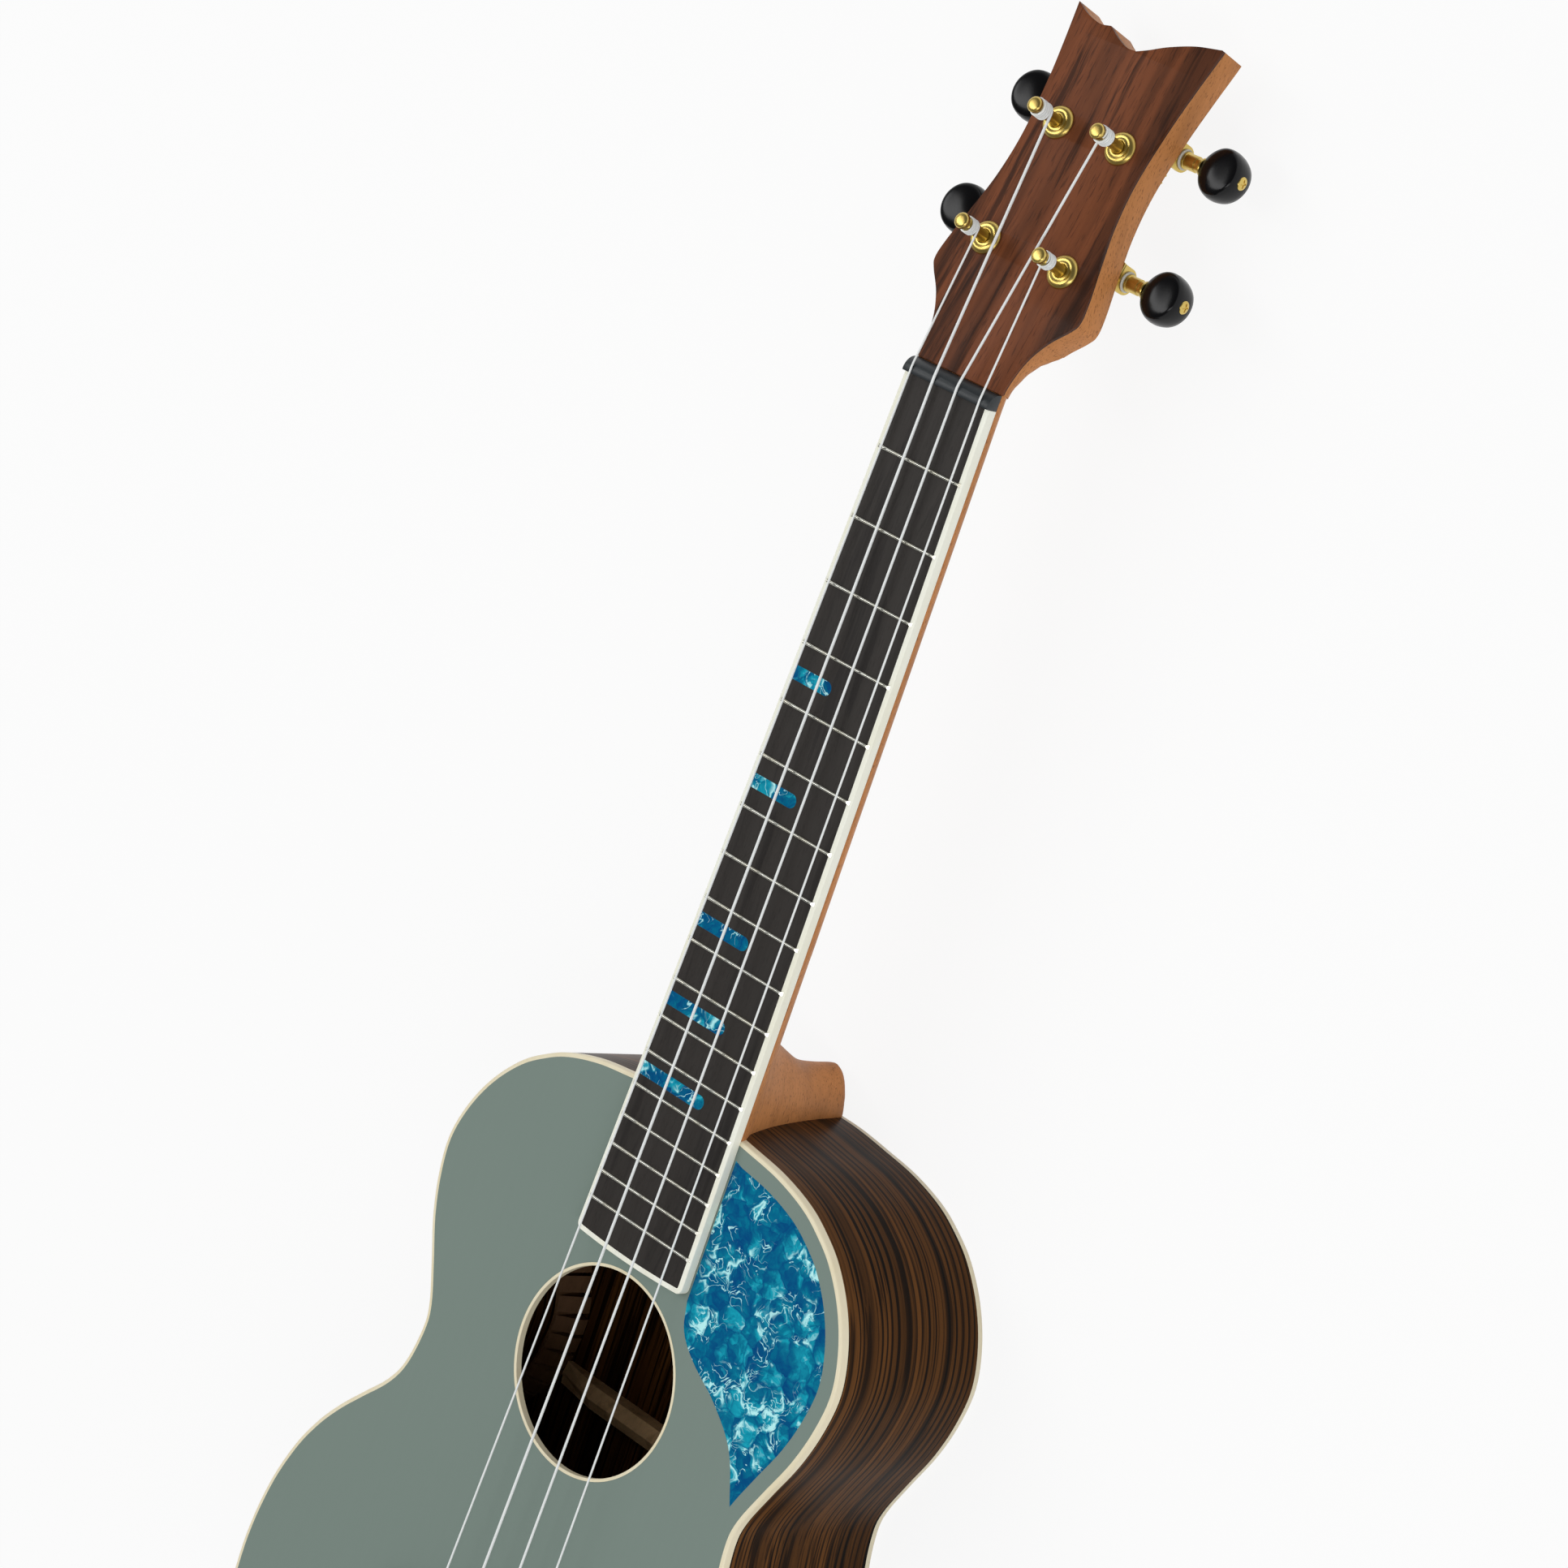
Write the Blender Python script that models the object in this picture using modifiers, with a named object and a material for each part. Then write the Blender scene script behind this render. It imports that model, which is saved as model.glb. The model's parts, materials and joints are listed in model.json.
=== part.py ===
"""Tenor ukulele, built from its separate pieces.

The pieces are laid out in the string frame: X points to the treble side, Y from the body to the
headstock with zero at the nut's playing edge, and Z out of the fretboard with zero on its face.
That frame is then tipped so that the instrument lies on its flat back, on the plane Z = 0.
"""

import math

import bmesh
import bpy
from mathutils import Matrix, Vector

MM = 0.001
GAP = 0.25 * MM

SCALE_LENGTH = 432 * MM
FRET_COUNT = 18
JOINT_FRET = 14
NUT_WIDTH = 35.6 * MM
BOARD_END_WIDTH = 48.6 * MM
BOARD_OVERHANG = 54.6 * MM
BOARD_THICKNESS = 3.25 * MM
BOARD_END_BOW = 0.8 * MM
BOARD_CORNER = 2.4 * MM
BOARD_BINDING = 1.5 * MM
FRET_WIDTH = 1.5 * MM
FRET_HEIGHT = 0.95 * MM
FRET_SEAT = 0.05 * MM
FRET_END_INSET = 0.6 * MM
NUT_LENGTH = 4.9 * MM
NUT_TOP = 1.45 * MM

JOINT_LEAD = 2.3 * MM
BODY_LENGTH = 303 * MM
UPPER_BOUT = 180.6 * MM
WAIST = 146.4 * MM
LOWER_BOUT = 232 * MM
UPPER_BOUT_PLACE = 53.8 * MM
WAIST_PLACE = 115 * MM
LOWER_BOUT_PLACE = 218 * MM
TAIL_POWER = 2.35
OUTLINE_STEPS = 2
BODY_DEPTH_NECK = 67.8 * MM
BODY_DEPTH_TAIL = 80.6 * MM
SOUNDBOARD_THICKNESS = 2.2 * MM
BACK_THICKNESS = 2.0 * MM
SIDE_THICKNESS = 2.0 * MM
BINDING_WIDTH = 1.4 * MM
TOP_BINDING_HEIGHT = 3.2 * MM
BACK_BINDING_HEIGHT = 2.6 * MM
LINING_WIDTH = 5.5 * MM
LINING_HEIGHT = 12 * MM

SOUNDHOLE_DIAMETER = 68.8 * MM
SOUNDHOLE_TO_JOINT = 92.8 * MM
SOUNDHOLE_RING_WIDTH = 1.0 * MM
PANEL_MARGIN = 6.6 * MM
PANEL_INNER_MARGIN = 0.7 * MM
PANEL_THICKNESS = 0.9 * MM
PANEL_START = 7.3 * MM
PANEL_TIP_PLACE = 103.6 * MM

NECK_BLOCK_WIDTH = 46 * MM
NECK_BLOCK_LENGTH = 20 * MM
TAIL_BLOCK_WIDTH = 56 * MM
TAIL_BLOCK_LENGTH = 14 * MM
BRACE_WIDTH = 8 * MM
BRACE_HEIGHT = 9 * MM
FAN_WIDTH = 6 * MM
FAN_HEIGHT = 7 * MM
FAN_TO_TAIL_BLOCK = 23.5 * MM
FAN_SPREAD = 34 * MM
FAN_SPLAY = math.radians(7)
BACK_BRACE_PLACES = {"upper": 48 * MM, "waist": 130 * MM, "lower": 218 * MM}
TOP_BRACE_PLACES = {"upper": 46 * MM, "lower": 141 * MM}
BRIDGE_PLATE_WIDTH = 112 * MM
BRIDGE_PLATE_LENGTH = 34 * MM
BRIDGE_PLATE_THICKNESS = 2 * MM

BRIDGE_WIDTH = 92 * MM
BRIDGE_LENGTH = 23 * MM
BRIDGE_WING_HEIGHT = 3.6 * MM
BRIDGE_HEIGHT = 6.6 * MM
BRIDGE_BLOCK_WIDTH = 60 * MM
BRIDGE_FRONT = 7 * MM
TIE_CHANNEL = 4.5 * MM
TIE_CHANNEL_OFFSET = 5.2 * MM
SADDLE_LENGTH = 54 * MM
SADDLE_THICKNESS = 2.6 * MM
SADDLE_DEPTH = 3.2 * MM
SADDLE_COMPENSATION = 2 * MM

NECK_DEPTH_NUT = 12.5 * MM
NECK_DEPTH_HEEL = 15.5 * MM
NECK_POWER = 1.6
HEEL_WIDTH_TOP = 42.6 * MM
HEEL_WIDTH_BACK = 13.8 * MM
HEEL_REACH = 16.2 * MM
HEEL_TILT = 0.24
NECK_SHOULDER = 0.8 * MM

HEADSTOCK_ANGLE = math.radians(13.8)
HEADSTOCK_DROP = 1.4 * MM
HEADSTOCK_THICKNESS = 12 * MM
VENEER_THICKNESS = 1.5 * MM
VENEER_START = 5.4 * MM
HEADSTOCK_TIP = 125.4 * MM
HEADSTOCK_TIP_BASS = 123.1 * MM
HEADSTOCK_NOTCH = 115.4 * MM
HEADSTOCK_HALF_WIDTH = 28.3 * MM
HEADSTOCK_TIP_REACH = 28.6 * MM
THROAT_START = 4 * MM
THROAT_NARROW = 9 * MM
THROAT_END = 24.5 * MM

POST_PLACES = {
    "g": (-16.0 * MM, 46.2 * MM),
    "c": (-12.8 * MM, 86.7 * MM),
    "e": (12.8 * MM, 86.7 * MM),
    "a": (16.0 * MM, 46.2 * MM),
}
POST_RADIUS = 2.0 * MM
POST_CAP_RADIUS = 2.4 * MM
POST_HEIGHT = 15 * MM
BUSHING_RADIUS = 3.0 * MM
BUSHING_FLANGE_RADIUS = 4.4 * MM
BUSHING_FLANGE_HEIGHT = 1.5 * MM
BUSHING_DEPTH = 7 * MM
RUNNING_GAP = 0.1 * MM
PLATE_THICKNESS = 1.0 * MM
PLATE_TONGUE_WIDTH = 9 * MM
PLATE_TONGUE_END = 11.2 * MM
PLATE_HEAD_END = 13.6 * MM
PLATE_SCREW_HOLE = 1.1 * MM
EAR_PLACE = 8.5 * MM
EAR_THICKNESS = 1.3 * MM
EAR_RADIUS = 4.2 * MM
GEAR_TEETH = 14
GEAR_THICKNESS = 3.0 * MM
GEAR_LEVEL = 17.2 * MM
GEAR_BORE = 1.5 * MM
WORM_OFFSET = 7.4 * MM
WORM_PITCH_RADIUS = 2.1 * MM
WORM_TURNS = 4
TOOTH_ADDENDUM = 0.62 * MM
TOOTH_DEDENDUM = 0.8 * MM
TOOTH_CLEARANCE = 0.09 * MM
SHAFT_RADIUS = 1.45 * MM
COLLAR_RADIUS = 1.95 * MM
COLLAR_LENGTH = 7.2 * MM
WASHER_ROOM = 0.7 * MM
BUTTON_LENGTH = 15.4 * MM
BUTTON_WIDTH = 16.4 * MM
BUTTON_THICKNESS = 10 * MM
BUTTON_RIM = 6 * MM
BUTTON_SEAT_RADIUS = 1.25 * MM
BUTTON_SEAT_DEPTH = 8 * MM

STRING_RADII = {"g": 0.34 * MM, "c": 0.47 * MM, "e": 0.42 * MM, "a": 0.34 * MM}
STRING_ORDER = ("g", "c", "e", "a")
NUT_STRING_SPACING = 9.63 * MM
BRIDGE_STRING_SPACING = 14.2 * MM
SADDLE_STRING_LEVEL = 5.9 * MM
WINDING_START = 7.9 * MM
WINDING_HEIGHT = 3.6 * MM

TURN_STEPS = 20
SMALL_TURN_STEPS = 16

# The body's curves, as shares of the widths and places above.
SHOULDER_CURVE = (
    (0, 0),
    (0.16, 0.004),
    (0.31, 0.032),
    (0.46, 0.068),
    (0.6, 0.136),
    (0.7, 0.222),
    (0.8, 0.346),
    (0.896, 0.537),
    (0.965, 0.76),
    (1, 1),
)
UPPER_TO_WAIST = ((0.217, 0.07), (0.436, 0.29), (0.657, 0.64), (0.86, 0.94), (1, 1))
WAIST_TO_LOWER = (
    (0.127, 0.05),
    (0.215, 0.16),
    (0.306, 0.355),
    (0.394, 0.54),
    (0.49, 0.7),
    (0.61, 0.84),
    (0.78, 0.955),
    (1, 1),
)
# The pearl leaf's hollow side, as shares of half the upper bout and of the leaf's length.
PANEL_HOLLOW = ((0.67, 0.8542), (0.5426, 0.7577), (0.3931, 0.6834), (0.3101, 0.6178))
# The headstock's side, as shares of its half width and its length, and its crown, as shares of
# its half width and its rise above the notch.
HEADSTOCK_SIDE = (
    (0.6784, 0.1422),
    (0.8127, 0.2031),
    (0.9965, 0.2535),
    (1.0565, 0.2811),
    (1.0318, 0.3331),
    (0.9399, 0.4265),
    (0.8481, 0.5321),
    (0.8163, 0.6499),
    (0.8622, 0.792),
    (0.9258, 0.8976),
    (1, 1),
)
TREBLE_WAVE = ((1, 1), (0.668, 0.81), (0.36, 0.49), (0.143, 0.18), (0, 0))
INNER_SCALLOP = ((0, 0), (-0.138, 0.013), (-0.311, 0.26), (-0.456, 0.558))
OUTER_SCALLOP = ((-0.456, 0.558), (-0.611, 0.481), (-0.823, 0.675), (-1, 1))


def fret_place(number):
    """Distance from the nut to a fret of the equal-tempered scale."""
    return SCALE_LENGTH * (1 - 2 ** (-number / 12))


BODY_JOINT = -fret_place(JOINT_FRET) + JOINT_LEAD
BOARD_END = BODY_JOINT - BOARD_OVERHANG
TOP_FACE = -(BOARD_THICKNESS + GAP)
TOP_INNER = TOP_FACE - SOUNDBOARD_THICKNESS
BODY_TAPER = (BODY_DEPTH_TAIL - BODY_DEPTH_NECK) / BODY_LENGTH
SOUNDHOLE_Y = BODY_JOINT - SOUNDHOLE_TO_JOINT
SADDLE_Y = -(SCALE_LENGTH + SADDLE_COMPENSATION)
GEAR_PITCH_RADIUS = WORM_OFFSET - WORM_PITCH_RADIUS
GEAR_MODULE = 2 * GEAR_PITCH_RADIUS / GEAR_TEETH
WORM_PITCH = math.pi * GEAR_MODULE
WORM_LEAD = math.atan(WORM_PITCH / (2 * math.pi * WORM_PITCH_RADIUS))
STRING_SEAT = 0.15 * MM


def back_plane(y, offset=0.0):
    """Height of the back's outer face in the string frame, plus an offset into the body."""
    return TOP_FACE - BODY_DEPTH_NECK - BODY_TAPER * (BODY_JOINT - y) + offset


def back_at(offset):
    return lambda y: back_plane(y, offset)


def board_half_width(y):
    """Half the fretboard's width, binding and all, at a place along it."""
    share = -y / -BOARD_END
    return (NUT_WIDTH + (BOARD_END_WIDTH - NUT_WIDTH) * share) / 2


def clear_scene():
    for obj in list(bpy.data.objects):
        bpy.data.objects.remove(obj, do_unlink=True)


def new_collection(name):
    collection = bpy.data.collections.new(name)
    bpy.context.scene.collection.children.link(collection)
    return collection


def new_material(name, colour, roughness, metallic=0.0):
    material = bpy.data.materials.new(name)
    material.use_nodes = True
    shader = material.node_tree.nodes["Principled BSDF"]
    shader.inputs["Base Color"].default_value = (*colour, 1.0)
    shader.inputs["Roughness"].default_value = roughness
    shader.inputs["Metallic"].default_value = metallic
    material.diffuse_color = (*colour, 1.0)
    return material


def new_empty(name, location, rotation=(0.0, 0.0, 0.0), parent=None):
    empty = bpy.data.objects.new(name, None)
    empty.empty_display_size = 10 * MM
    empty.location = location
    empty.rotation_euler = rotation
    empty.parent = parent
    PARTS.objects.link(empty)
    return empty


def loose_object(name, data):
    obj = bpy.data.objects.new(name, data)
    bpy.context.scene.collection.objects.link(obj)
    return obj


def as_mesh(obj, name):
    """The object's evaluated shape as a welded mesh. The object itself goes."""
    bpy.context.view_layer.update()
    graph = bpy.context.evaluated_depsgraph_get()
    mesh = bpy.data.meshes.new_from_object(obj.evaluated_get(graph))
    mesh.name = name
    bpy.data.objects.remove(obj, do_unlink=True)
    shape = bmesh.new()
    shape.from_mesh(mesh)
    bmesh.ops.remove_doubles(shape, verts=shape.verts, dist=0.001 * MM)
    bmesh.ops.recalc_face_normals(shape, faces=shape.faces)
    shape.to_mesh(mesh)
    shape.free()
    return mesh


def flat_shape(name, loops, bottom, top):
    """A flat outline with holes, filled and extruded between two heights.

    A height is a number or a function of Y, for a face that slopes along the body.
    """
    curve = bpy.data.curves.new(name, "CURVE")
    curve.dimensions = "2D"
    curve.fill_mode = "BOTH"
    curve.extrude = 1 * MM
    for loop in loops:
        spline = curve.splines.new("POLY")
        spline.points.add(len(loop) - 1)
        for point, (x, y) in zip(spline.points, loop):
            point.co = (x, y, 0, 1)
        spline.use_cyclic_u = True
    mesh = as_mesh(loose_object(name, curve), name)
    for vertex in mesh.vertices:
        height = top if vertex.co.z > 0 else bottom
        vertex.co.z = height(vertex.co.y) if callable(height) else height
    return mesh


def turned_shape(name, profile, steps=TURN_STEPS):
    """A profile of (radius, height) pairs, from top to bottom, turned round the Z axis."""
    mesh = bpy.data.meshes.new(name)
    points = [(radius, 0, height) for radius, height in profile]
    edges = [(i, i + 1) for i in range(len(points) - 1)]
    closed = profile[0][0] > 0
    if closed:
        edges.append((len(points) - 1, 0))
    mesh.from_pydata(points, edges, [])
    obj = loose_object(name, mesh)
    screw = obj.modifiers.new("turn", "SCREW")
    screw.axis = "Z"
    screw.steps = steps
    screw.render_steps = steps
    screw.use_merge_vertices = True
    screw.merge_threshold = 0.001 * MM
    return as_mesh(obj, name)


def box_shape(name, low, high):
    mesh = bpy.data.meshes.new(name)
    shape = bmesh.new()
    bmesh.ops.create_cube(shape, size=1)
    for vertex in shape.verts:
        for axis in range(3):
            vertex.co[axis] = high[axis] if vertex.co[axis] > 0 else low[axis]
    shape.to_mesh(mesh)
    shape.free()
    return mesh


def cylinder_shape(name, radius, low, high, steps=TURN_STEPS):
    return turned_shape(name, [(0, high), (radius, high), (radius, low), (0, low)], steps)


def loft_shape(name, rings):
    """A closed skin through rings of equally many points, with flat ends."""
    mesh = bpy.data.meshes.new(name)
    shape = bmesh.new()
    rows = [[shape.verts.new(point) for point in ring] for ring in rings]
    count = len(rows[0])
    for first, second in zip(rows, rows[1:]):
        for i in range(count):
            j = (i + 1) % count
            shape.faces.new((first[i], first[j], second[j], second[i]))
    shape.faces.new(rows[0])
    shape.faces.new(rows[-1])
    bmesh.ops.recalc_face_normals(shape, faces=shape.faces)
    shape.to_mesh(mesh)
    shape.free()
    return mesh


def tube_shape(name, points, radius):
    """A round string along a line of points."""
    curve = bpy.data.curves.new(name, "CURVE")
    curve.dimensions = "3D"
    curve.bevel_depth = radius
    curve.bevel_resolution = 1
    curve.use_fill_caps = True
    spline = curve.splines.new("POLY")
    spline.points.add(len(points) - 1)
    for point, place in zip(spline.points, points):
        point.co = (*place, 1)
    return as_mesh(loose_object(name, curve), name)


def combined(name, meshes, operation="UNION"):
    """The first mesh with all the others joined to it, or cut from it."""
    first = loose_object(name, meshes[0])
    others = [loose_object(f"{name}_{i}", mesh) for i, mesh in enumerate(meshes[1:])]
    for other in others:
        boolean = first.modifiers.new(other.name, "BOOLEAN")
        boolean.operation = operation
        boolean.solver = "EXACT"
        boolean.object = other
    mesh = as_mesh(first, name)
    for other in others:
        bpy.data.objects.remove(other, do_unlink=True)
    return mesh


def moved(mesh, matrix):
    copy = mesh.copy()
    copy.transform(matrix)
    if matrix.determinant() < 0:
        copy.flip_normals()
    return copy


def add_part(name, mesh, material, parent, location=(0, 0, 0), rotation=(0, 0, 0)):
    """Puts a finished piece under the frame that carries it."""
    mesh.materials.clear()
    mesh.materials.append(material)
    mesh.shade_smooth()
    mesh.set_sharp_from_angle(angle=math.radians(35))
    obj = bpy.data.objects.new(name, mesh)
    obj.parent = parent
    obj.location = location
    obj.rotation_euler = rotation
    PARTS.objects.link(obj)
    return obj


def add_cut(obj, name, mesh, parent, location=(0, 0, 0)):
    """Cuts a hidden tool's shape out of a finished piece."""
    cutter = bpy.data.objects.new(name, mesh)
    cutter.parent = parent
    cutter.location = location
    cutter.hide_render = True
    cutter.display_type = "WIRE"
    CUTTERS.objects.link(cutter)
    boolean = obj.modifiers.new(name, "BOOLEAN")
    boolean.operation = "DIFFERENCE"
    boolean.solver = "EXACT"
    boolean.object = cutter
    return cutter


def smooth_line(points, steps):
    """Catmull-Rom curve through the points, each span cut into a number of steps."""
    ends = [2 * points[0] - points[1], *points, 2 * points[-1] - points[-2]]
    line = []
    for i in range(1, len(ends) - 2):
        a, b, c, d = ends[i - 1 : i + 3]
        for step in range(steps):
            t = step / steps
            line.append(
                0.5 * (2 * b + (c - a) * t + (2 * a - 5 * b + 4 * c - d) * t**2)
                + 0.5 * (3 * b - a - 3 * c + d) * t**3
            )
    line.append(points[-1])
    return line


def body_half_outline():
    """The body's treble half from the neck joint round to the tail, as (x, distance down)."""
    upper = UPPER_BOUT / 2
    waist = WAIST / 2
    lower = LOWER_BOUT / 2
    points = [Vector((upper * x, UPPER_BOUT_PLACE * down)) for x, down in SHOULDER_CURVE]
    for share, drop in UPPER_TO_WAIST:
        x = upper + (waist - upper) * drop
        y = UPPER_BOUT_PLACE + (WAIST_PLACE - UPPER_BOUT_PLACE) * share
        points.append(Vector((x, y)))
    for share, rise in WAIST_TO_LOWER:
        x = waist + (lower - waist) * rise
        y = WAIST_PLACE + (LOWER_BOUT_PLACE - WAIST_PLACE) * share
        points.append(Vector((x, y)))
    for angle in (14, 28, 42, 56, 70, 90):
        along = math.cos(math.radians(angle)) ** (2 / TAIL_POWER) if angle < 90 else 0
        down = math.sin(math.radians(angle)) ** (2 / TAIL_POWER)
        y = LOWER_BOUT_PLACE + (BODY_LENGTH - LOWER_BOUT_PLACE) * down
        points.append(Vector((lower * along, y)))
    return smooth_line(points, OUTLINE_STEPS)


def body_outline(inset=0.0):
    """The treble half of the body's outline from neck to tail, moved inwards by an inset."""
    half = [Vector((x, BODY_JOINT - down)) for x, down in body_half_outline()]
    moved_points = []
    for i, point in enumerate(half):
        before = half[i - 1] if i > 0 else Vector((-half[1].x, half[1].y))
        after = half[i + 1] if i < len(half) - 1 else Vector((-half[-2].x, half[-2].y))
        along = (after - before).normalized()
        moved_points.append(point + inset * Vector((along.y, -along.x)))
    return moved_points


def mirrored(points):
    return [Vector((-point.x, point.y)) for point in points]


def whole_outline(inset=0.0):
    half = body_outline(inset)
    return half + mirrored(half)[-2:0:-1]


def outline_half_width(y, inset=0.0):
    """Half the body's width at a place along it."""
    half = body_outline(inset)
    widest = 0.0
    for first, second in zip(half, half[1:]):
        low, high = sorted((first.y, second.y))
        if low <= y <= high and high > low:
            share = (y - first.y) / (second.y - first.y)
            widest = max(widest, first.x + (second.x - first.x) * share)
    return widest


def half_ring(outer_inset, inner_inset, edge):
    """The band between two insets on the treble side, kept clear of the centre line by edge(y)."""
    outer = clipped_half(body_outline(outer_inset), edge)
    inner = clipped_half(body_outline(inner_inset), edge)
    return outer + inner[::-1]


def clipped_half(points, edge):
    """The part of a half outline beyond a distance from the centre line, at each end."""
    kept = []
    for i, point in enumerate(points):
        limit = edge(point.y)
        inside = point.x >= limit
        if i > 0:
            before = points[i - 1]
            if (before.x >= limit) != inside:
                share = (limit - before.x) / (point.x - before.x)
                kept.append(before + (point - before) * share)
        if inside:
            kept.append(point)
    return kept


def grown(loop, distance):
    """A closed clockwise loop with each corner moved outwards by a distance."""
    moved_loop = []
    for i, point in enumerate(loop):
        before = (point - loop[i - 1]).normalized()
        after = (loop[(i + 1) % len(loop)] - point).normalized()
        normal = (Vector((-before.y, before.x)) + Vector((-after.y, after.x))).normalized()
        reach = distance / max(normal.dot(Vector((-after.y, after.x))), 0.35)
        moved_loop.append(point + reach * normal)
    return moved_loop


def circle(radius, centre, steps):
    turn = 2 * math.pi / steps
    return [
        Vector((centre[0] + radius * math.cos(i * turn), centre[1] + radius * math.sin(i * turn)))
        for i in range(steps)
    ]


def make_frames():
    """The empties that carry the instrument, its headstock and each tuner."""
    angle = math.atan(BODY_TAPER)
    tail = Vector((BODY_JOINT - BODY_LENGTH, back_plane(BODY_JOINT - BODY_LENGTH)))
    tip = Vector(
        (
            HEADSTOCK_TIP * math.cos(HEADSTOCK_ANGLE),
            -HEADSTOCK_DROP - HEADSTOCK_TIP * math.sin(HEADSTOCK_ANGLE),
        )
    )
    tail_y = tail.x * math.cos(angle) + tail.y * math.sin(angle)
    tip_y = tip.x * math.cos(angle) + tip.y * math.sin(angle)
    rise = -(tail.y * math.cos(angle) - tail.x * math.sin(angle))
    strings = new_empty("string_frame", (0, -(tail_y + tip_y) / 2, rise), (-angle, 0, 0))
    headstock = new_empty(
        "headstock_frame", (0, 0, -HEADSTOCK_DROP), (-HEADSTOCK_ANGLE, 0, 0), strings
    )
    tuners = {}
    for name, (x, along) in POST_PLACES.items():
        tuners[name] = new_empty(f"tuner_frame_{name}", (x, along, 0), parent=headstock)
    return strings, headstock, tuners


def make_soundboard(frame):
    inset = BINDING_WIDTH + GAP
    hole = circle(SOUNDHOLE_DIAMETER / 2 + GAP, (0, SOUNDHOLE_Y), 40)
    mesh = flat_shape("soundboard", [whole_outline(inset), hole], TOP_INNER, TOP_FACE)
    board = add_part("soundboard", mesh, PAINT, frame)
    pocket = flat_shape(
        "panel_pocket",
        [grown(panel_outline(), GAP)],
        TOP_FACE - PANEL_THICKNESS - GAP,
        TOP_FACE + PANEL_THICKNESS,
    )
    add_cut(board, "panel_pocket", pocket, frame)


def panel_outline():
    """The leaf on the treble shoulder, between the fretboard and the body's edge."""
    tip_y = BODY_JOINT - PANEL_TIP_PLACE
    tip = Vector((outline_half_width(tip_y, PANEL_MARGIN), tip_y))
    start_y = BODY_JOINT - PANEL_START
    start = Vector((board_half_width(start_y) + PANEL_INNER_MARGIN, start_y))
    corner = Vector((board_half_width(BOARD_END) + PANEL_INNER_MARGIN, BOARD_END - 0.5 * MM))
    outer = [
        point
        for point in body_outline(PANEL_MARGIN)
        if point.x > start.x + 2 * MM and start_y - 0.1 * MM > point.y > tip_y + 2 * MM
    ]
    hollow = [tip]
    for across, down in PANEL_HOLLOW:
        hollow.append(Vector((UPPER_BOUT / 2 * across, BODY_JOINT - PANEL_TIP_PLACE * down)))
    return [start, *outer, *smooth_line([*hollow, corner], 2)]


def make_panel(frame):
    mesh = flat_shape("pearl_panel", [panel_outline()], TOP_FACE - PANEL_THICKNESS, TOP_FACE)
    add_part("pearl_panel", mesh, PEARL, frame)


def make_soundhole_ring(frame):
    radius = SOUNDHOLE_DIAMETER / 2
    profile = [
        (radius - SOUNDHOLE_RING_WIDTH, TOP_FACE),
        (radius, TOP_FACE),
        (radius, TOP_INNER),
        (radius - SOUNDHOLE_RING_WIDTH, TOP_INNER),
    ]
    mesh = turned_shape("soundhole_ring", profile, 40)
    mesh.transform(Matrix.Translation((0, SOUNDHOLE_Y, 0)))
    add_part("soundhole_ring", mesh, CREAM, frame)


def make_back(frame):
    inset = BINDING_WIDTH + GAP
    mesh = flat_shape("back", [whole_outline(inset)], back_at(0), back_at(BACK_THICKNESS))
    add_part("back", mesh, ROSEWOOD, frame)


def make_bindings(frame):
    loops = [whole_outline(), whole_outline(BINDING_WIDTH)]
    top = flat_shape("top_binding", loops, TOP_FACE - TOP_BINDING_HEIGHT, TOP_FACE)
    add_part("top_binding", top, CREAM, frame)
    back = flat_shape("back_binding", loops, back_at(0), back_at(BACK_BINDING_HEIGHT))
    add_part("back_binding", back, CREAM, frame)


def for_both_sides(mesh):
    """A treble piece and its mirror image, by side name."""
    mirror = moved(mesh, Matrix.Scale(-1, 4, (1, 0, 0)))
    return (("treble", mesh), ("bass", mirror))


def make_sides(frame):
    """Two bent sides that meet under the heel and at the tail."""
    loop = half_ring(0, SIDE_THICKNESS, lambda y: GAP / 2)
    mesh = flat_shape(
        "side",
        [loop],
        back_at(BACK_BINDING_HEIGHT + GAP),
        TOP_FACE - TOP_BINDING_HEIGHT - GAP,
    )
    for side, shape in for_both_sides(mesh):
        add_part(f"side_{side}", shape, ROSEWOOD, frame)


def block_edge(y):
    """Where the linings stop beside the neck block and the tail block."""
    middle = BODY_JOINT - BODY_LENGTH / 2
    width = NECK_BLOCK_WIDTH if y > middle else TAIL_BLOCK_WIDTH
    return width / 2 + GAP


def make_linings(frame):
    outer = SIDE_THICKNESS + GAP
    loop = half_ring(outer, outer + LINING_WIDTH, block_edge)
    top_level = TOP_INNER - GAP
    back_level = BACK_THICKNESS + GAP
    top = flat_shape("top_lining", [loop], top_level - LINING_HEIGHT, top_level)
    back = flat_shape(
        "back_lining", [loop], back_at(back_level), back_at(back_level + LINING_HEIGHT)
    )
    for level, mesh in (("top", top), ("back", back)):
        for side, shape in for_both_sides(mesh):
            add_part(f"{level}_lining_{side}", shape, SPRUCE, frame)


def block_loop(width, length, near_neck):
    """A block's outline: straight towards the middle, and along the sides at its end."""
    half = width / 2
    middle = BODY_JOINT - BODY_LENGTH / 2
    line = [point for point in body_outline(SIDE_THICKNESS + GAP) if (point.y > middle) == near_neck]
    if near_neck:
        line = line[::-1]
    face = line[-1].y + (-length if near_neck else length)
    loop = [Vector((half, face))]
    for first, second in zip(line, line[1:]):
        if second.x < half <= first.x:
            share = (first.x - half) / (first.x - second.x)
            loop.append(first + (second - first) * share)
    loop += [point for point in line if point.x < half]
    return loop + mirrored(loop)[-2::-1]


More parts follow.
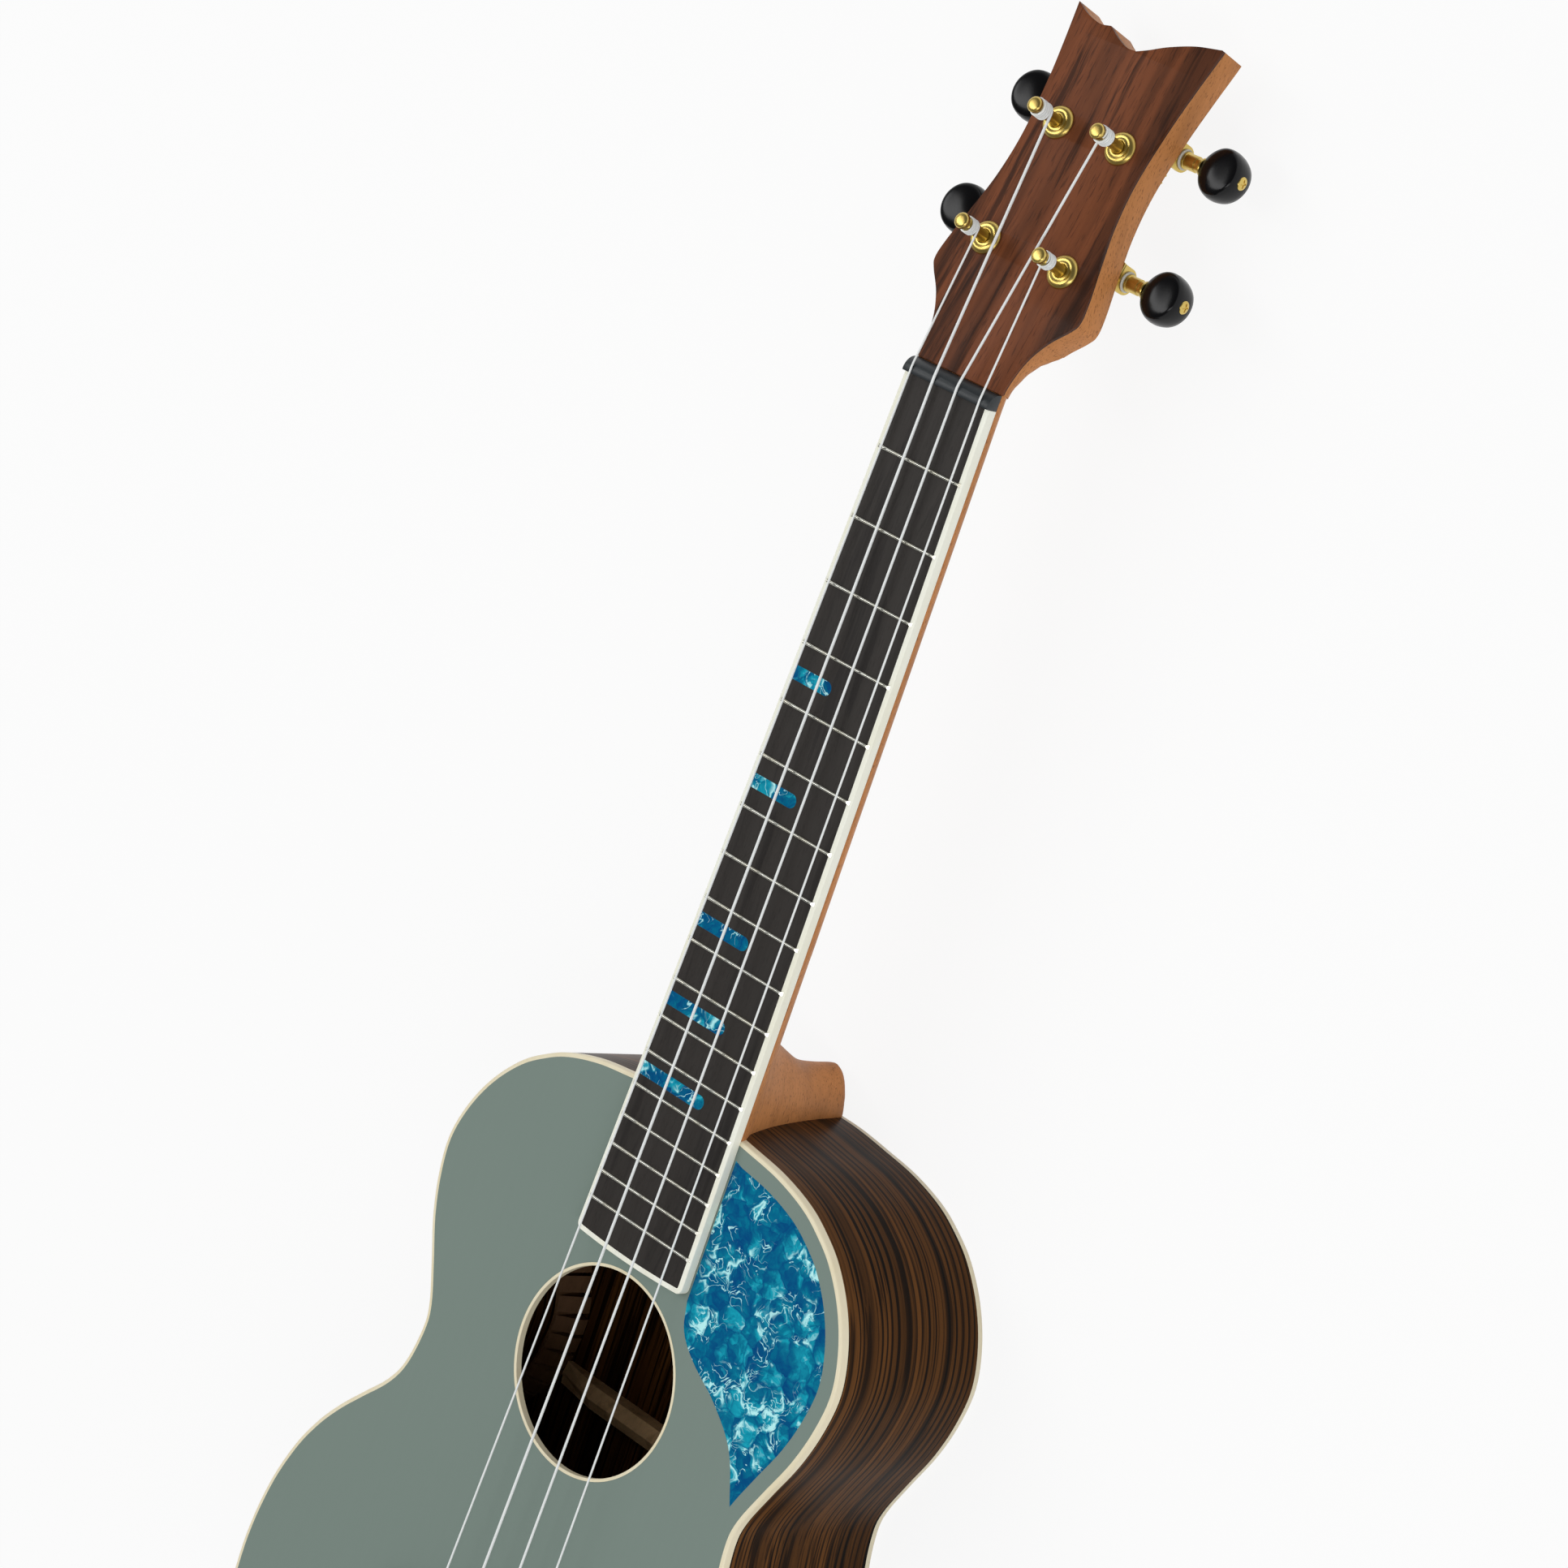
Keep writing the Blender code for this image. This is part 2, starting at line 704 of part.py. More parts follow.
def make_blocks(frame):
    bottom = back_at(BACK_THICKNESS + GAP)
    top = TOP_INNER - GAP
    neck = block_loop(NECK_BLOCK_WIDTH, NECK_BLOCK_LENGTH, True)
    add_part("neck_block", flat_shape("neck_block", [neck], bottom, top), SPRUCE, frame)
    tail = block_loop(TAIL_BLOCK_WIDTH, TAIL_BLOCK_LENGTH, False)
    add_part("tail_block", flat_shape("tail_block", [tail], bottom, top), SPRUCE, frame)


def lining_clearance(y, half_width=BRACE_WIDTH / 2):
    """How far a cross brace reaches at a place before it meets the linings."""
    inset = SIDE_THICKNESS + LINING_WIDTH + 2 * GAP
    return min(outline_half_width(y + side * half_width, inset) for side in (-1, 1)) - GAP


def brace_shape(name, y, height, base, sign):
    """A cross brace with scalloped ends. sign is -1 under the top and +1 on the back."""
    reach = lining_clearance(y)
    half = BRACE_WIDTH / 2
    rings = []
    for share, rise in ((-1, 0.35), (-0.72, 1.0), (0, 1.0), (0.72, 1.0), (1, 0.35)):
        x = reach * share
        low, high = y - half, y + half
        crown = sign * height * rise
        shoulder = crown * 0.7
        rings.append(
            [
                (x, low, base(low)),
                (x, high, base(high)),
                (x, high, base(high) + shoulder),
                (x, y, base(y) + crown),
                (x, low, base(low) + shoulder),
            ]
        )
    return loft_shape(name, rings)


def make_braces(frame):
    for place, down in TOP_BRACE_PLACES.items():
        name = f"{place}_transverse_brace"
        mesh = brace_shape(
            name, BODY_JOINT - down, BRACE_HEIGHT, lambda y: TOP_INNER - GAP, -1
        )
        add_part(name, mesh, SPRUCE, frame)
    for place, down in BACK_BRACE_PLACES.items():
        name = f"back_brace_{place}"
        base = back_at(BACK_THICKNESS + GAP)
        add_part(
            name, brace_shape(name, BODY_JOINT - down, BRACE_HEIGHT, base, 1), SPRUCE, frame
        )


def make_fan_braces(frame):
    """Three braces that spread towards the tail and step over the bridge plate."""
    start = BODY_JOINT - TOP_BRACE_PLACES["lower"] - BRACE_WIDTH / 2 - GAP
    base = TOP_INNER - GAP
    plate = box_shape(
        "fan_notch",
        (-BRIDGE_PLATE_WIDTH, bridge_plate_rear() - GAP, base - BRIDGE_PLATE_THICKNESS - GAP),
        (BRIDGE_PLATE_WIDTH, bridge_plate_rear() + BRIDGE_PLATE_LENGTH + GAP, base + 1 * MM),
    )
    half = FAN_WIDTH / 2
    tail = BODY_JOINT - BODY_LENGTH + SIDE_THICKNESS + GAP + TAIL_BLOCK_LENGTH
    length = start - tail - FAN_TO_TAIL_BLOCK
    for name, turn in (("treble", 1), ("centre", 0), ("bass", -1)):
        profile = [
            Vector((0, 0)),
            Vector((-length, 0)),
            Vector((-length, -FAN_HEIGHT * 0.35)),
            Vector((-length * 0.8, -FAN_HEIGHT)),
            Vector((-length * 0.15, -FAN_HEIGHT)),
            Vector((0, -FAN_HEIGHT * 0.45)),
        ]
        bar = flat_shape("fan", [profile], -half, half)
        bar.transform(Matrix(((0, 0, 1, 0), (1, 0, 0, 0), (0, 1, 0, 0), (0, 0, 0, 1))))
        spin = Matrix.Rotation(turn * FAN_SPLAY, 4, "Z")
        shift = half * math.sin(FAN_SPLAY) * abs(turn)
        bar.transform(Matrix.Translation((turn * FAN_SPREAD, start - shift, base)) @ spin)
        mesh = combined(f"fan_brace_{name}", [bar, plate.copy()], "DIFFERENCE")
        add_part(f"fan_brace_{name}", mesh, SPRUCE, frame)


def bridge_plate_rear():
    centre = SADDLE_Y + BRIDGE_FRONT - BRIDGE_LENGTH / 2
    return centre - BRIDGE_PLATE_LENGTH / 2


def make_bridge_plate(frame):
    half = BRIDGE_PLATE_WIDTH / 2
    rear = bridge_plate_rear()
    top = TOP_INNER - GAP
    low = (-half, rear, top - BRIDGE_PLATE_THICKNESS)
    high = (half, rear + BRIDGE_PLATE_LENGTH, top)
    add_part("bridge_plate", box_shape("bridge_plate", low, high), ROSEWOOD, frame)


def string_x(name, spacing):
    return (STRING_ORDER.index(name) - 1.5) * spacing


def make_bridge(frame):
    """A tie bridge: low wings, a raised block with the saddle slot and four string holes."""
    front = SADDLE_Y + BRIDGE_FRONT
    rear = front - BRIDGE_LENGTH
    base = TOP_FACE + GAP
    half = BRIDGE_WIDTH / 2
    corner = 5 * MM
    wing = []
    for x_sign, y, start in ((1, rear, -90), (1, front, 0), (-1, front, 90), (-1, rear, 180)):
        centre_y = y + corner if y == rear else y - corner
        for step in range(4):
            angle = math.radians(start + 30 * step)
            wing.append(
                Vector(
                    (
                        x_sign * (half - corner) + corner * math.cos(angle),
                        centre_y + corner * math.sin(angle),
                    )
                )
            )
    wings = flat_shape("bridge_wings", [wing], base, base + BRIDGE_WING_HEIGHT)
    block_half = BRIDGE_BLOCK_WIDTH / 2
    block = box_shape(
        "bridge_block",
        (-block_half, rear + 0.4 * MM, base + 0.5 * MM),
        (block_half, front - 0.4 * MM, base + BRIDGE_HEIGHT),
    )
    body = combined("bridge", [wings, block])
    slot_half = SADDLE_THICKNESS / 2 + GAP
    slot = box_shape(
        "saddle_slot",
        (-SADDLE_LENGTH / 2 - GAP, SADDLE_Y - slot_half, base + BRIDGE_HEIGHT - SADDLE_DEPTH),
        (SADDLE_LENGTH / 2 + GAP, SADDLE_Y + slot_half, base + 2 * BRIDGE_HEIGHT),
    )
    channel_y = SADDLE_Y - TIE_CHANNEL_OFFSET
    channel = box_shape(
        "tie_channel",
        (-2 * block_half, channel_y - TIE_CHANNEL / 2, base + BRIDGE_WING_HEIGHT),
        (2 * block_half, channel_y + TIE_CHANNEL / 2, base + 2 * BRIDGE_HEIGHT),
    )
    tools = [slot, channel]
    for name in STRING_ORDER:
        hole = cylinder_shape("string_hole", STRING_RADII[name] + GAP, 0, BRIDGE_LENGTH, 10)
        hole.transform(Matrix.Rotation(math.radians(90), 4, "X"))
        x = string_x(name, BRIDGE_STRING_SPACING)
        hole.transform(Matrix.Translation((x, channel_y, tie_hole_level())))
        tools.append(hole)
    add_part("bridge", combined("bridge", [body, *tools], "DIFFERENCE"), EBONY, frame)


def tie_hole_level():
    return TOP_FACE + GAP + BRIDGE_WING_HEIGHT + 1.2 * MM


def make_saddle(frame):
    """A bone strip with a rounded top, standing in the bridge's slot."""
    half = SADDLE_THICKNESS / 2
    bottom = TOP_FACE + BRIDGE_HEIGHT - SADDLE_DEPTH + 2 * GAP
    top = SADDLE_STRING_LEVEL
    profile = [Vector((-half, bottom)), Vector((half, bottom))]
    for step in range(7):
        angle = math.radians(30 * step)
        profile.append(Vector((half * math.cos(angle), top - half + half * math.sin(angle))))
    mesh = flat_shape("saddle", [profile], -SADDLE_LENGTH / 2, SADDLE_LENGTH / 2)
    mesh.transform(Matrix(((0, 0, 1, 0), (1, 0, 0, 0), (0, 1, 0, 0), (0, 0, 0, 1))))
    mesh.transform(Matrix.Translation((0, SADDLE_Y, 0)))
    add_part("saddle", mesh, BONE, frame)


def board_outline(inset):
    """The fretboard's treble edge and end, from the nut down and in to the centre line."""
    corner_y = BOARD_END + BOARD_END_BOW
    half = board_half_width(corner_y)
    points = [Vector((board_half_width(0) - inset, -GAP))]
    points.append(Vector((board_half_width(BODY_JOINT) - inset, BODY_JOINT)))
    radius = max(BOARD_CORNER - inset, 0.6 * MM)
    centre = Vector((half - inset - radius, corner_y + inset + radius))
    for step in range(4):
        angle = math.radians(-30 * step)
        points.append(centre + radius * Vector((math.cos(angle), math.sin(angle))))
    points.append(Vector((half * 0.5, BOARD_END + inset + BOARD_END_BOW * 0.25)))
    points.append(Vector((0, BOARD_END + inset)))
    return points


def make_fretboard(frame):
    """The board with its frets pressed in. The frets run out over the binding."""
    half = board_outline(BOARD_BINDING + GAP)
    loop = half + mirrored(half)[-2::-1]
    board = flat_shape("fretboard", [loop], -BOARD_THICKNESS, 0)
    frets = bmesh.new()
    for number in range(1, FRET_COUNT + 1):
        place = -fret_place(number)
        reach = board_half_width(place) - FRET_END_INSET
        profile = []
        for step in range(6):
            angle = math.radians(36 * step)
            profile.append(
                Vector((FRET_WIDTH / 2 * math.cos(angle), FRET_HEIGHT * math.sin(angle)))
            )
        profile[0].y = -FRET_SEAT
        profile[-1].y = -FRET_SEAT
        fret = flat_shape("fret", [profile], -reach, reach)
        fret.transform(Matrix(((0, 0, 1, 0), (1, 0, 0, 0), (0, 1, 0, 0), (0, 0, 0, 1))))
        fret.transform(Matrix.Translation((0, place, 0)))
        frets.from_mesh(fret)
    fret_mesh = bpy.data.meshes.new("frets")
    frets.to_mesh(fret_mesh)
    frets.free()
    add_part("fretboard", combined("fretboard", [board, fret_mesh]), EBONY, frame)


def make_fretboard_binding(frame):
    outer = board_outline(0)
    inner = board_outline(BOARD_BINDING)
    outer_loop = outer + mirrored(outer)[-2::-1]
    inner_loop = inner + mirrored(inner)[-2::-1]
    loop = outer_loop + inner_loop[::-1]
    mesh = flat_shape("fretboard_binding", [loop], -BOARD_THICKNESS, -GAP)
    add_part("fretboard_binding", mesh, CREAM, frame)


def make_nut(frame):
    """Upright on the fretboard side and rounded down to the headstock."""
    base = TOP_FACE + GAP
    profile = [Vector((0, base)), Vector((NUT_LENGTH, base))]
    lowest = base + 0.9 * MM
    for step in range(7):
        angle = math.radians(15 * step)
        y = 0.5 * MM + (NUT_LENGTH - 0.5 * MM) * math.cos(angle)
        profile.append(Vector((y, lowest + (NUT_TOP - lowest) * math.sin(angle))))
    profile.append(Vector((0, NUT_TOP - 0.3 * MM)))
    mesh = flat_shape("nut", [profile], -NUT_WIDTH / 2, NUT_WIDTH / 2)
    mesh.transform(Matrix(((0, 0, 1, 0), (1, 0, 0, 0), (0, 1, 0, 0), (0, 0, 0, 1))))
    add_part("nut", mesh, NUT_BLACK, frame)


def crown_line(shares, half, tip):
    """A stretch of the crown from shares of a half width and of its rise above the notch."""
    rise = tip - HEADSTOCK_NOTCH
    return [Vector((half * across, HEADSTOCK_NOTCH + rise * up)) for across, up in shares]


def headstock_outline():
    """The crowned headstock in its own plane: (across, along) from the nut.

    The treble shoulder runs up in one wave, and the bass one in two scallops with a cusp.
    """
    throat = NUT_WIDTH / 2
    side = [Vector((throat, THROAT_START)), Vector((throat * 0.99, THROAT_NARROW))]
    for across, up in HEADSTOCK_SIDE:
        side.append(Vector((HEADSTOCK_HALF_WIDTH * across, HEADSTOCK_TIP_BASS * up)))
    edge = smooth_line(side, 2)
    wave = crown_line(TREBLE_WAVE, HEADSTOCK_TIP_REACH, HEADSTOCK_TIP)
    inner_scallop = crown_line(INNER_SCALLOP, HEADSTOCK_HALF_WIDTH, HEADSTOCK_TIP_BASS)
    outer_scallop = crown_line(OUTER_SCALLOP, HEADSTOCK_HALF_WIDTH, HEADSTOCK_TIP_BASS)
    return [
        *edge,
        *smooth_line(wave, 2)[:-1],
        *smooth_line(inner_scallop, 2)[:-1],
        *smooth_line(outer_scallop, 3)[:-1],
        *mirrored(edge)[::-1],
    ]


def headstock_half_width(along):
    """Half the headstock's width at a place along its straight sides."""
    edge = headstock_outline()
    for first, second in zip(edge, edge[1:]):
        if first.y <= along < second.y:
            return first.x + (second.x - first.x) * (along - first.y) / (second.y - first.y)
    return NUT_WIDTH / 2


def neck_depth(y):
    """Thickness of the neck's wood under the fretboard."""
    share = min(max(-y / -BODY_JOINT, 0), 1)
    return NECK_DEPTH_NUT + (NECK_DEPTH_HEEL - NECK_DEPTH_NUT) * share


def rounded_section(half, top, shoulder, bottom, power):
    """A section flat above and rounded below, as (across, height) pairs."""
    section = []
    for step in range(17):
        angle = math.radians(180 * step / 16)
        across = math.copysign(abs(math.cos(angle)) ** (2 / power), math.cos(angle))
        down = math.sin(angle) ** (2 / power)
        section.append((half * across, shoulder + (bottom - shoulder) * down))
    section.append((-half, top))
    section.append((half, top))
    return section


def neck_ring(y):
    """The neck's rounded section at a place along it, flat where the board is glued."""
    shoulder = TOP_FACE - NECK_SHOULDER
    section = rounded_section(
        board_half_width(min(y, 0)), TOP_FACE, shoulder, shoulder - neck_depth(y), NECK_POWER
    )
    return [(x, y, z) for x, z in section]


def throat_shape():
    """The neck's round back turning into the flat headstock, in the headstock's plane."""
    nut_bottom = TOP_FACE - NECK_SHOULDER - NECK_DEPTH_NUT
    slope = math.sin(HEADSTOCK_ANGLE)
    rings = []
    for share, power in ((-0.06, 1.6), (0.16, 1.6), (0.38, 1.75), (0.6, 2.3), (0.82, 3.6), (1.04, 8)):
        along = THROAT_END * share
        level = (nut_bottom + HEADSTOCK_DROP + along * slope) / math.cos(HEADSTOCK_ANGLE)
        bottom = min(level, -HEADSTOCK_THICKNESS + GAP)
        top = -VENEER_THICKNESS - GAP
        half = headstock_half_width(along) - GAP
        if share < 0:
            top -= NECK_SHOULDER + 2 * GAP
            bottom += GAP
        if share > 1:
            top -= GAP
        shoulder = top - NECK_SHOULDER
        section = rounded_section(half, top, shoulder, bottom, power)
        rings.append([(x, along, height) for x, height in section])
    return loft_shape("throat", rings)


def heel_ring(share, reach, half_width):
    """The heel's section at a share of its height: a rounded nose that stands on the body."""
    top = TOP_FACE - 2 * MM
    ring = []
    for step in range(13):
        angle = math.radians(180 * step / 12)
        across = math.copysign(abs(math.cos(angle)) ** 0.8, math.cos(angle))
        forward = reach * math.sin(angle) ** 0.95
        y = BODY_JOINT + GAP + forward
        bottom = back_plane(y, HEEL_TILT * forward)
        ring.append((half_width * across, y, top + (bottom - top) * share))
    return ring


def heel_shape():
    """The heel narrows towards the back and sweeps forward into the neck."""
    sections = (
        (0.0, 3.05, 1.0),
        (0.12, 2.54, 0.873),
        (0.22, 2.06, 0.775),
        (0.34, 1.65, 0.667),
        (0.5, 1.32, 0.554),
        (0.68, 1.02, 0.446),
        (0.86, 0.97, 0.371),
        (1.0, 1.0, HEEL_WIDTH_BACK / HEEL_WIDTH_TOP),
    )
    rings = []
    for share, reach, width in sections:
        rings.append(heel_ring(share, HEEL_REACH * reach, HEEL_WIDTH_TOP / 2 * width))
    return loft_shape("heel", rings)


def headstock_loop(start):
    """The headstock's outline from a straight line across it onwards."""
    half = headstock_half_width(start)
    beyond = [point for point in headstock_outline() if point.y > start + GAP]
    return [Vector((half, start)), *beyond, Vector((-half, start))]


def headstock_matrix():
    """Turns the headstock's plane into the string frame."""
    tilt = Matrix.Rotation(-HEADSTOCK_ANGLE, 4, "X")
    return Matrix.Translation((0, 0, -HEADSTOCK_DROP)) @ tilt


def make_neck(frame, headstock, tuners):
    """Shaft, heel and headstock in one piece of wood, with four holes for the posts."""
    places = (BODY_JOINT + GAP, BODY_JOINT * 0.6, BODY_JOINT * 0.25, -4 * MM, NUT_LENGTH - 2 * GAP)
    shaft = loft_shape("shaft", [neck_ring(y) for y in places])
    wings = headstock_loop(THROAT_END)
    core = flat_shape("headstock", [wings], -HEADSTOCK_THICKNESS, -VENEER_THICKNESS - GAP)
    throat = throat_shape()
    for mesh in (core, throat):
        mesh.transform(headstock_matrix())
    wood = combined("neck", [shaft, heel_shape(), throat, core])
    neck = add_part("neck", wood, MAHOGANY, frame)
    mesh = flat_shape("headstock_veneer", [headstock_loop(VENEER_START)], -VENEER_THICKNESS, 0)
    face = add_part("headstock_veneer", mesh, VENEER, headstock)
    bore = BUSHING_RADIUS + GAP
    for name, tuner in tuners.items():
        hole = cylinder_shape("post_hole", bore, -2 * HEADSTOCK_THICKNESS, POST_HEIGHT)
        add_cut(neck, f"neck_hole_{name}", hole, tuner)
        add_cut(face, f"veneer_hole_{name}", hole.copy(), tuner)


def gear_shape():
    """The wheel on the post's lower end, with teeth slanted to follow the worm."""
    tip = GEAR_PITCH_RADIUS + TOOTH_ADDENDUM
    root = GEAR_PITCH_RADIUS - TOOTH_DEDENDUM
    pitch_angle = 2 * math.pi / GEAR_TEETH
    thin = TOOTH_CLEARANCE / GEAR_PITCH_RADIUS
    loop = []
    for tooth in range(GEAR_TEETH):
        middle = tooth * pitch_angle + math.pi / 2
        for radius, share in ((root, -0.36), (tip, -0.13), (tip, 0.13), (root, 0.36)):
            angle = middle + share * pitch_angle - math.copysign(thin, share)
            loop.append(Vector((radius * math.cos(angle), radius * math.sin(angle))))
    bore = circle(GEAR_BORE, (0, 0), SMALL_TURN_STEPS)
    half = GEAR_THICKNESS / 2
    mesh = flat_shape("gear", [loop, bore], -half, half)
    slant = half * math.tan(WORM_LEAD) / GEAR_PITCH_RADIUS
    for vertex in mesh.vertices:
        turn = Matrix.Rotation(-math.copysign(slant, vertex.co.z), 3, "Z")
        vertex.co = turn @ vertex.co
    return mesh


def worm_shape():
    """The threaded shaft with its plain journals, its collar and the button's seat.

    It lies along Z, with the button end up. Zero is opposite the post's axis. The thread is
    left-handed, so that the usual turn of the button tightens the string.
    """
    crest = WORM_PITCH_RADIUS + TOOTH_ADDENDUM
    root = WORM_PITCH_RADIUS - TOOTH_DEDENDUM
    steps = SMALL_TURN_STEPS
    length = WORM_TURNS * WORM_PITCH
    thin = TOOTH_CLEARANCE / WORM_PITCH
    profile = []
    for turn in range(WORM_TURNS - 1):
        middle = (turn + 0.5) * WORM_PITCH - length / 2
        for radius, share in ((root, -0.36), (crest, -0.13), (crest, 0.13), (root, 0.36)):
            height = middle + (share - math.copysign(thin, share)) * WORM_PITCH
            profile.append((radius, 0, height))
    start = (root, 0, -length / 2)
    end = (root, 0, length / 2 - WORM_PITCH)
    points = [start, *profile, end]
    mesh = bpy.data.meshes.new("thread")
    mesh.from_pydata(points, [(i, i + 1) for i in range(len(points) - 1)], [])
    obj = loose_object("thread", mesh)
    screw = obj.modifiers.new("thread", "SCREW")
    screw.axis = "Z"
    screw.steps = steps
    screw.render_steps = steps
    screw.screw_offset = WORM_PITCH
    thread = as_mesh(obj, "thread")
    shape = bmesh.new()
    shape.from_mesh(thread)
    bmesh.ops.remove_doubles(shape, verts=shape.verts, dist=0.002 * MM)
    bmesh.ops.holes_fill(shape, edges=[edge for edge in shape.edges if edge.is_boundary])
    bmesh.ops.scale(shape, vec=(1, -1, 1), verts=shape.verts)
    bmesh.ops.recalc_face_normals(shape, faces=shape.faces)
    shape.to_mesh(thread)
    shape.free()
    ear = EAR_PLACE + EAR_THICKNESS
    collar = ear + WASHER_ROOM
    ring = 0.35 * MM
    seat = collar + COLLAR_LENGTH
    journal = [
        (0, seat + BUTTON_SEAT_DEPTH - GAP),
        (BUTTON_SEAT_RADIUS, seat + BUTTON_SEAT_DEPTH - GAP),
        (BUTTON_SEAT_RADIUS, seat),
        (COLLAR_RADIUS + ring, seat),
        (COLLAR_RADIUS + ring, seat - 1.1 * MM),
        (COLLAR_RADIUS, seat - 1.6 * MM),
        (COLLAR_RADIUS, collar + 1.6 * MM),
        (COLLAR_RADIUS + ring, collar + 1.1 * MM),
        (COLLAR_RADIUS + ring, collar),
        (SHAFT_RADIUS, collar),
        (SHAFT_RADIUS, length / 2 - 0.2 * MM),
        (root + 0.02 * MM, length / 2 - 0.6 * MM),
        (root + 0.02 * MM, -length / 2 + 0.6 * MM),
        (SHAFT_RADIUS, -length / 2 + 0.2 * MM),
        (SHAFT_RADIUS, -ear - 0.5 * MM),
        (0, -ear - 0.5 * MM),
    ]
    shaft = turned_shape("shaft", journal, steps)
    return combined("worm", [shaft, thread])


def button_shape():
    """An oval button with domed faces and a rim, turned and then drawn out sideways."""
    radius = BUTTON_WIDTH / 2
    dome = BUTTON_THICKNESS / 2
    rim = BUTTON_RIM / 2
    profile = [
        (0, dome),
        (radius * 0.4, dome - (dome - rim) * 0.12),
        (radius * 0.72, dome - (dome - rim) * 0.46),
        (radius * 0.93, rim),
        (radius, rim * 0.3),
        (radius, -rim * 0.3),
        (radius * 0.93, -rim),
        (radius * 0.72, -dome + (dome - rim) * 0.46),
        (radius * 0.4, -dome + (dome - rim) * 0.12),
        (0, -dome),
    ]
    mesh = turned_shape("button", profile, TURN_STEPS)
    mesh.transform(Matrix.Diagonal((BUTTON_LENGTH / BUTTON_WIDTH, 1, 1, 1)))
    mesh.transform(Matrix.Rotation(math.radians(-90), 4, "Y"))
    centre = EAR_PLACE + EAR_THICKNESS + WASHER_ROOM + COLLAR_LENGTH + GAP + BUTTON_LENGTH / 2
    mesh.transform(Matrix.Translation((0, 0, centre)))
    seat_start = centre - BUTTON_LENGTH / 2
    bore = cylinder_shape(
        "button_bore",
        BUTTON_SEAT_RADIUS + GAP,
        seat_start - 1 * MM,
        seat_start + BUTTON_SEAT_DEPTH,
        SMALL_TURN_STEPS,
    )
    return combined("button", [mesh, bore], "DIFFERENCE")


def post_shape():
    """The string post: capped above, turned down to a spigot for the gear below."""
    plate_bottom = -(HEADSTOCK_THICKNESS + GAP + PLATE_THICKNESS)
    gear_top = -GEAR_LEVEL + GEAR_THICKNESS / 2
    cap = POST_CAP_RADIUS
    spigot = GEAR_BORE - GAP
    flare = POST_RADIUS * 1.1
    profile = [
        (0, POST_HEIGHT),
        (cap * 0.55, POST_HEIGHT - 0.12 * MM),
        (cap * 0.92, POST_HEIGHT - 0.55 * MM),
        (cap, POST_HEIGHT - 1.0 * MM),
        (cap, POST_HEIGHT - 2.3 * MM),
        (POST_RADIUS, POST_HEIGHT - 2.6 * MM),
        (POST_RADIUS, WINDING_START - 0.5 * MM),
        (POST_RADIUS * 0.93, BUSHING_FLANGE_HEIGHT + 3 * MM),
        (POST_RADIUS, BUSHING_FLANGE_HEIGHT),
        (POST_RADIUS, plate_bottom - GAP),
        (flare * 1.3, plate_bottom - GAP),
        (flare * 1.3, gear_top + GAP),
        (spigot, gear_top + GAP),
        (spigot, -GEAR_LEVEL - GEAR_THICKNESS / 2),
        (0, -GEAR_LEVEL - GEAR_THICKNESS / 2),
    ]
    return turned_shape("post", profile, SMALL_TURN_STEPS)


def bushing_shape():
    """The flanged bearing pressed into the headstock's face."""
    bore = POST_RADIUS + RUNNING_GAP
    flange = BUSHING_FLANGE_RADIUS
    height = BUSHING_FLANGE_HEIGHT
    profile = [
        (bore, height + 0.1 * MM),
        (bore + 0.7 * MM, height + 0.1 * MM),
        (flange * 0.82, height * 0.82),
        (flange, height * 0.42),
        (flange, GAP),
        (BUSHING_RADIUS, GAP),
        (BUSHING_RADIUS, -BUSHING_DEPTH),
        (bore, -BUSHING_DEPTH),
    ]
    return turned_shape("bushing", profile, SMALL_TURN_STEPS)


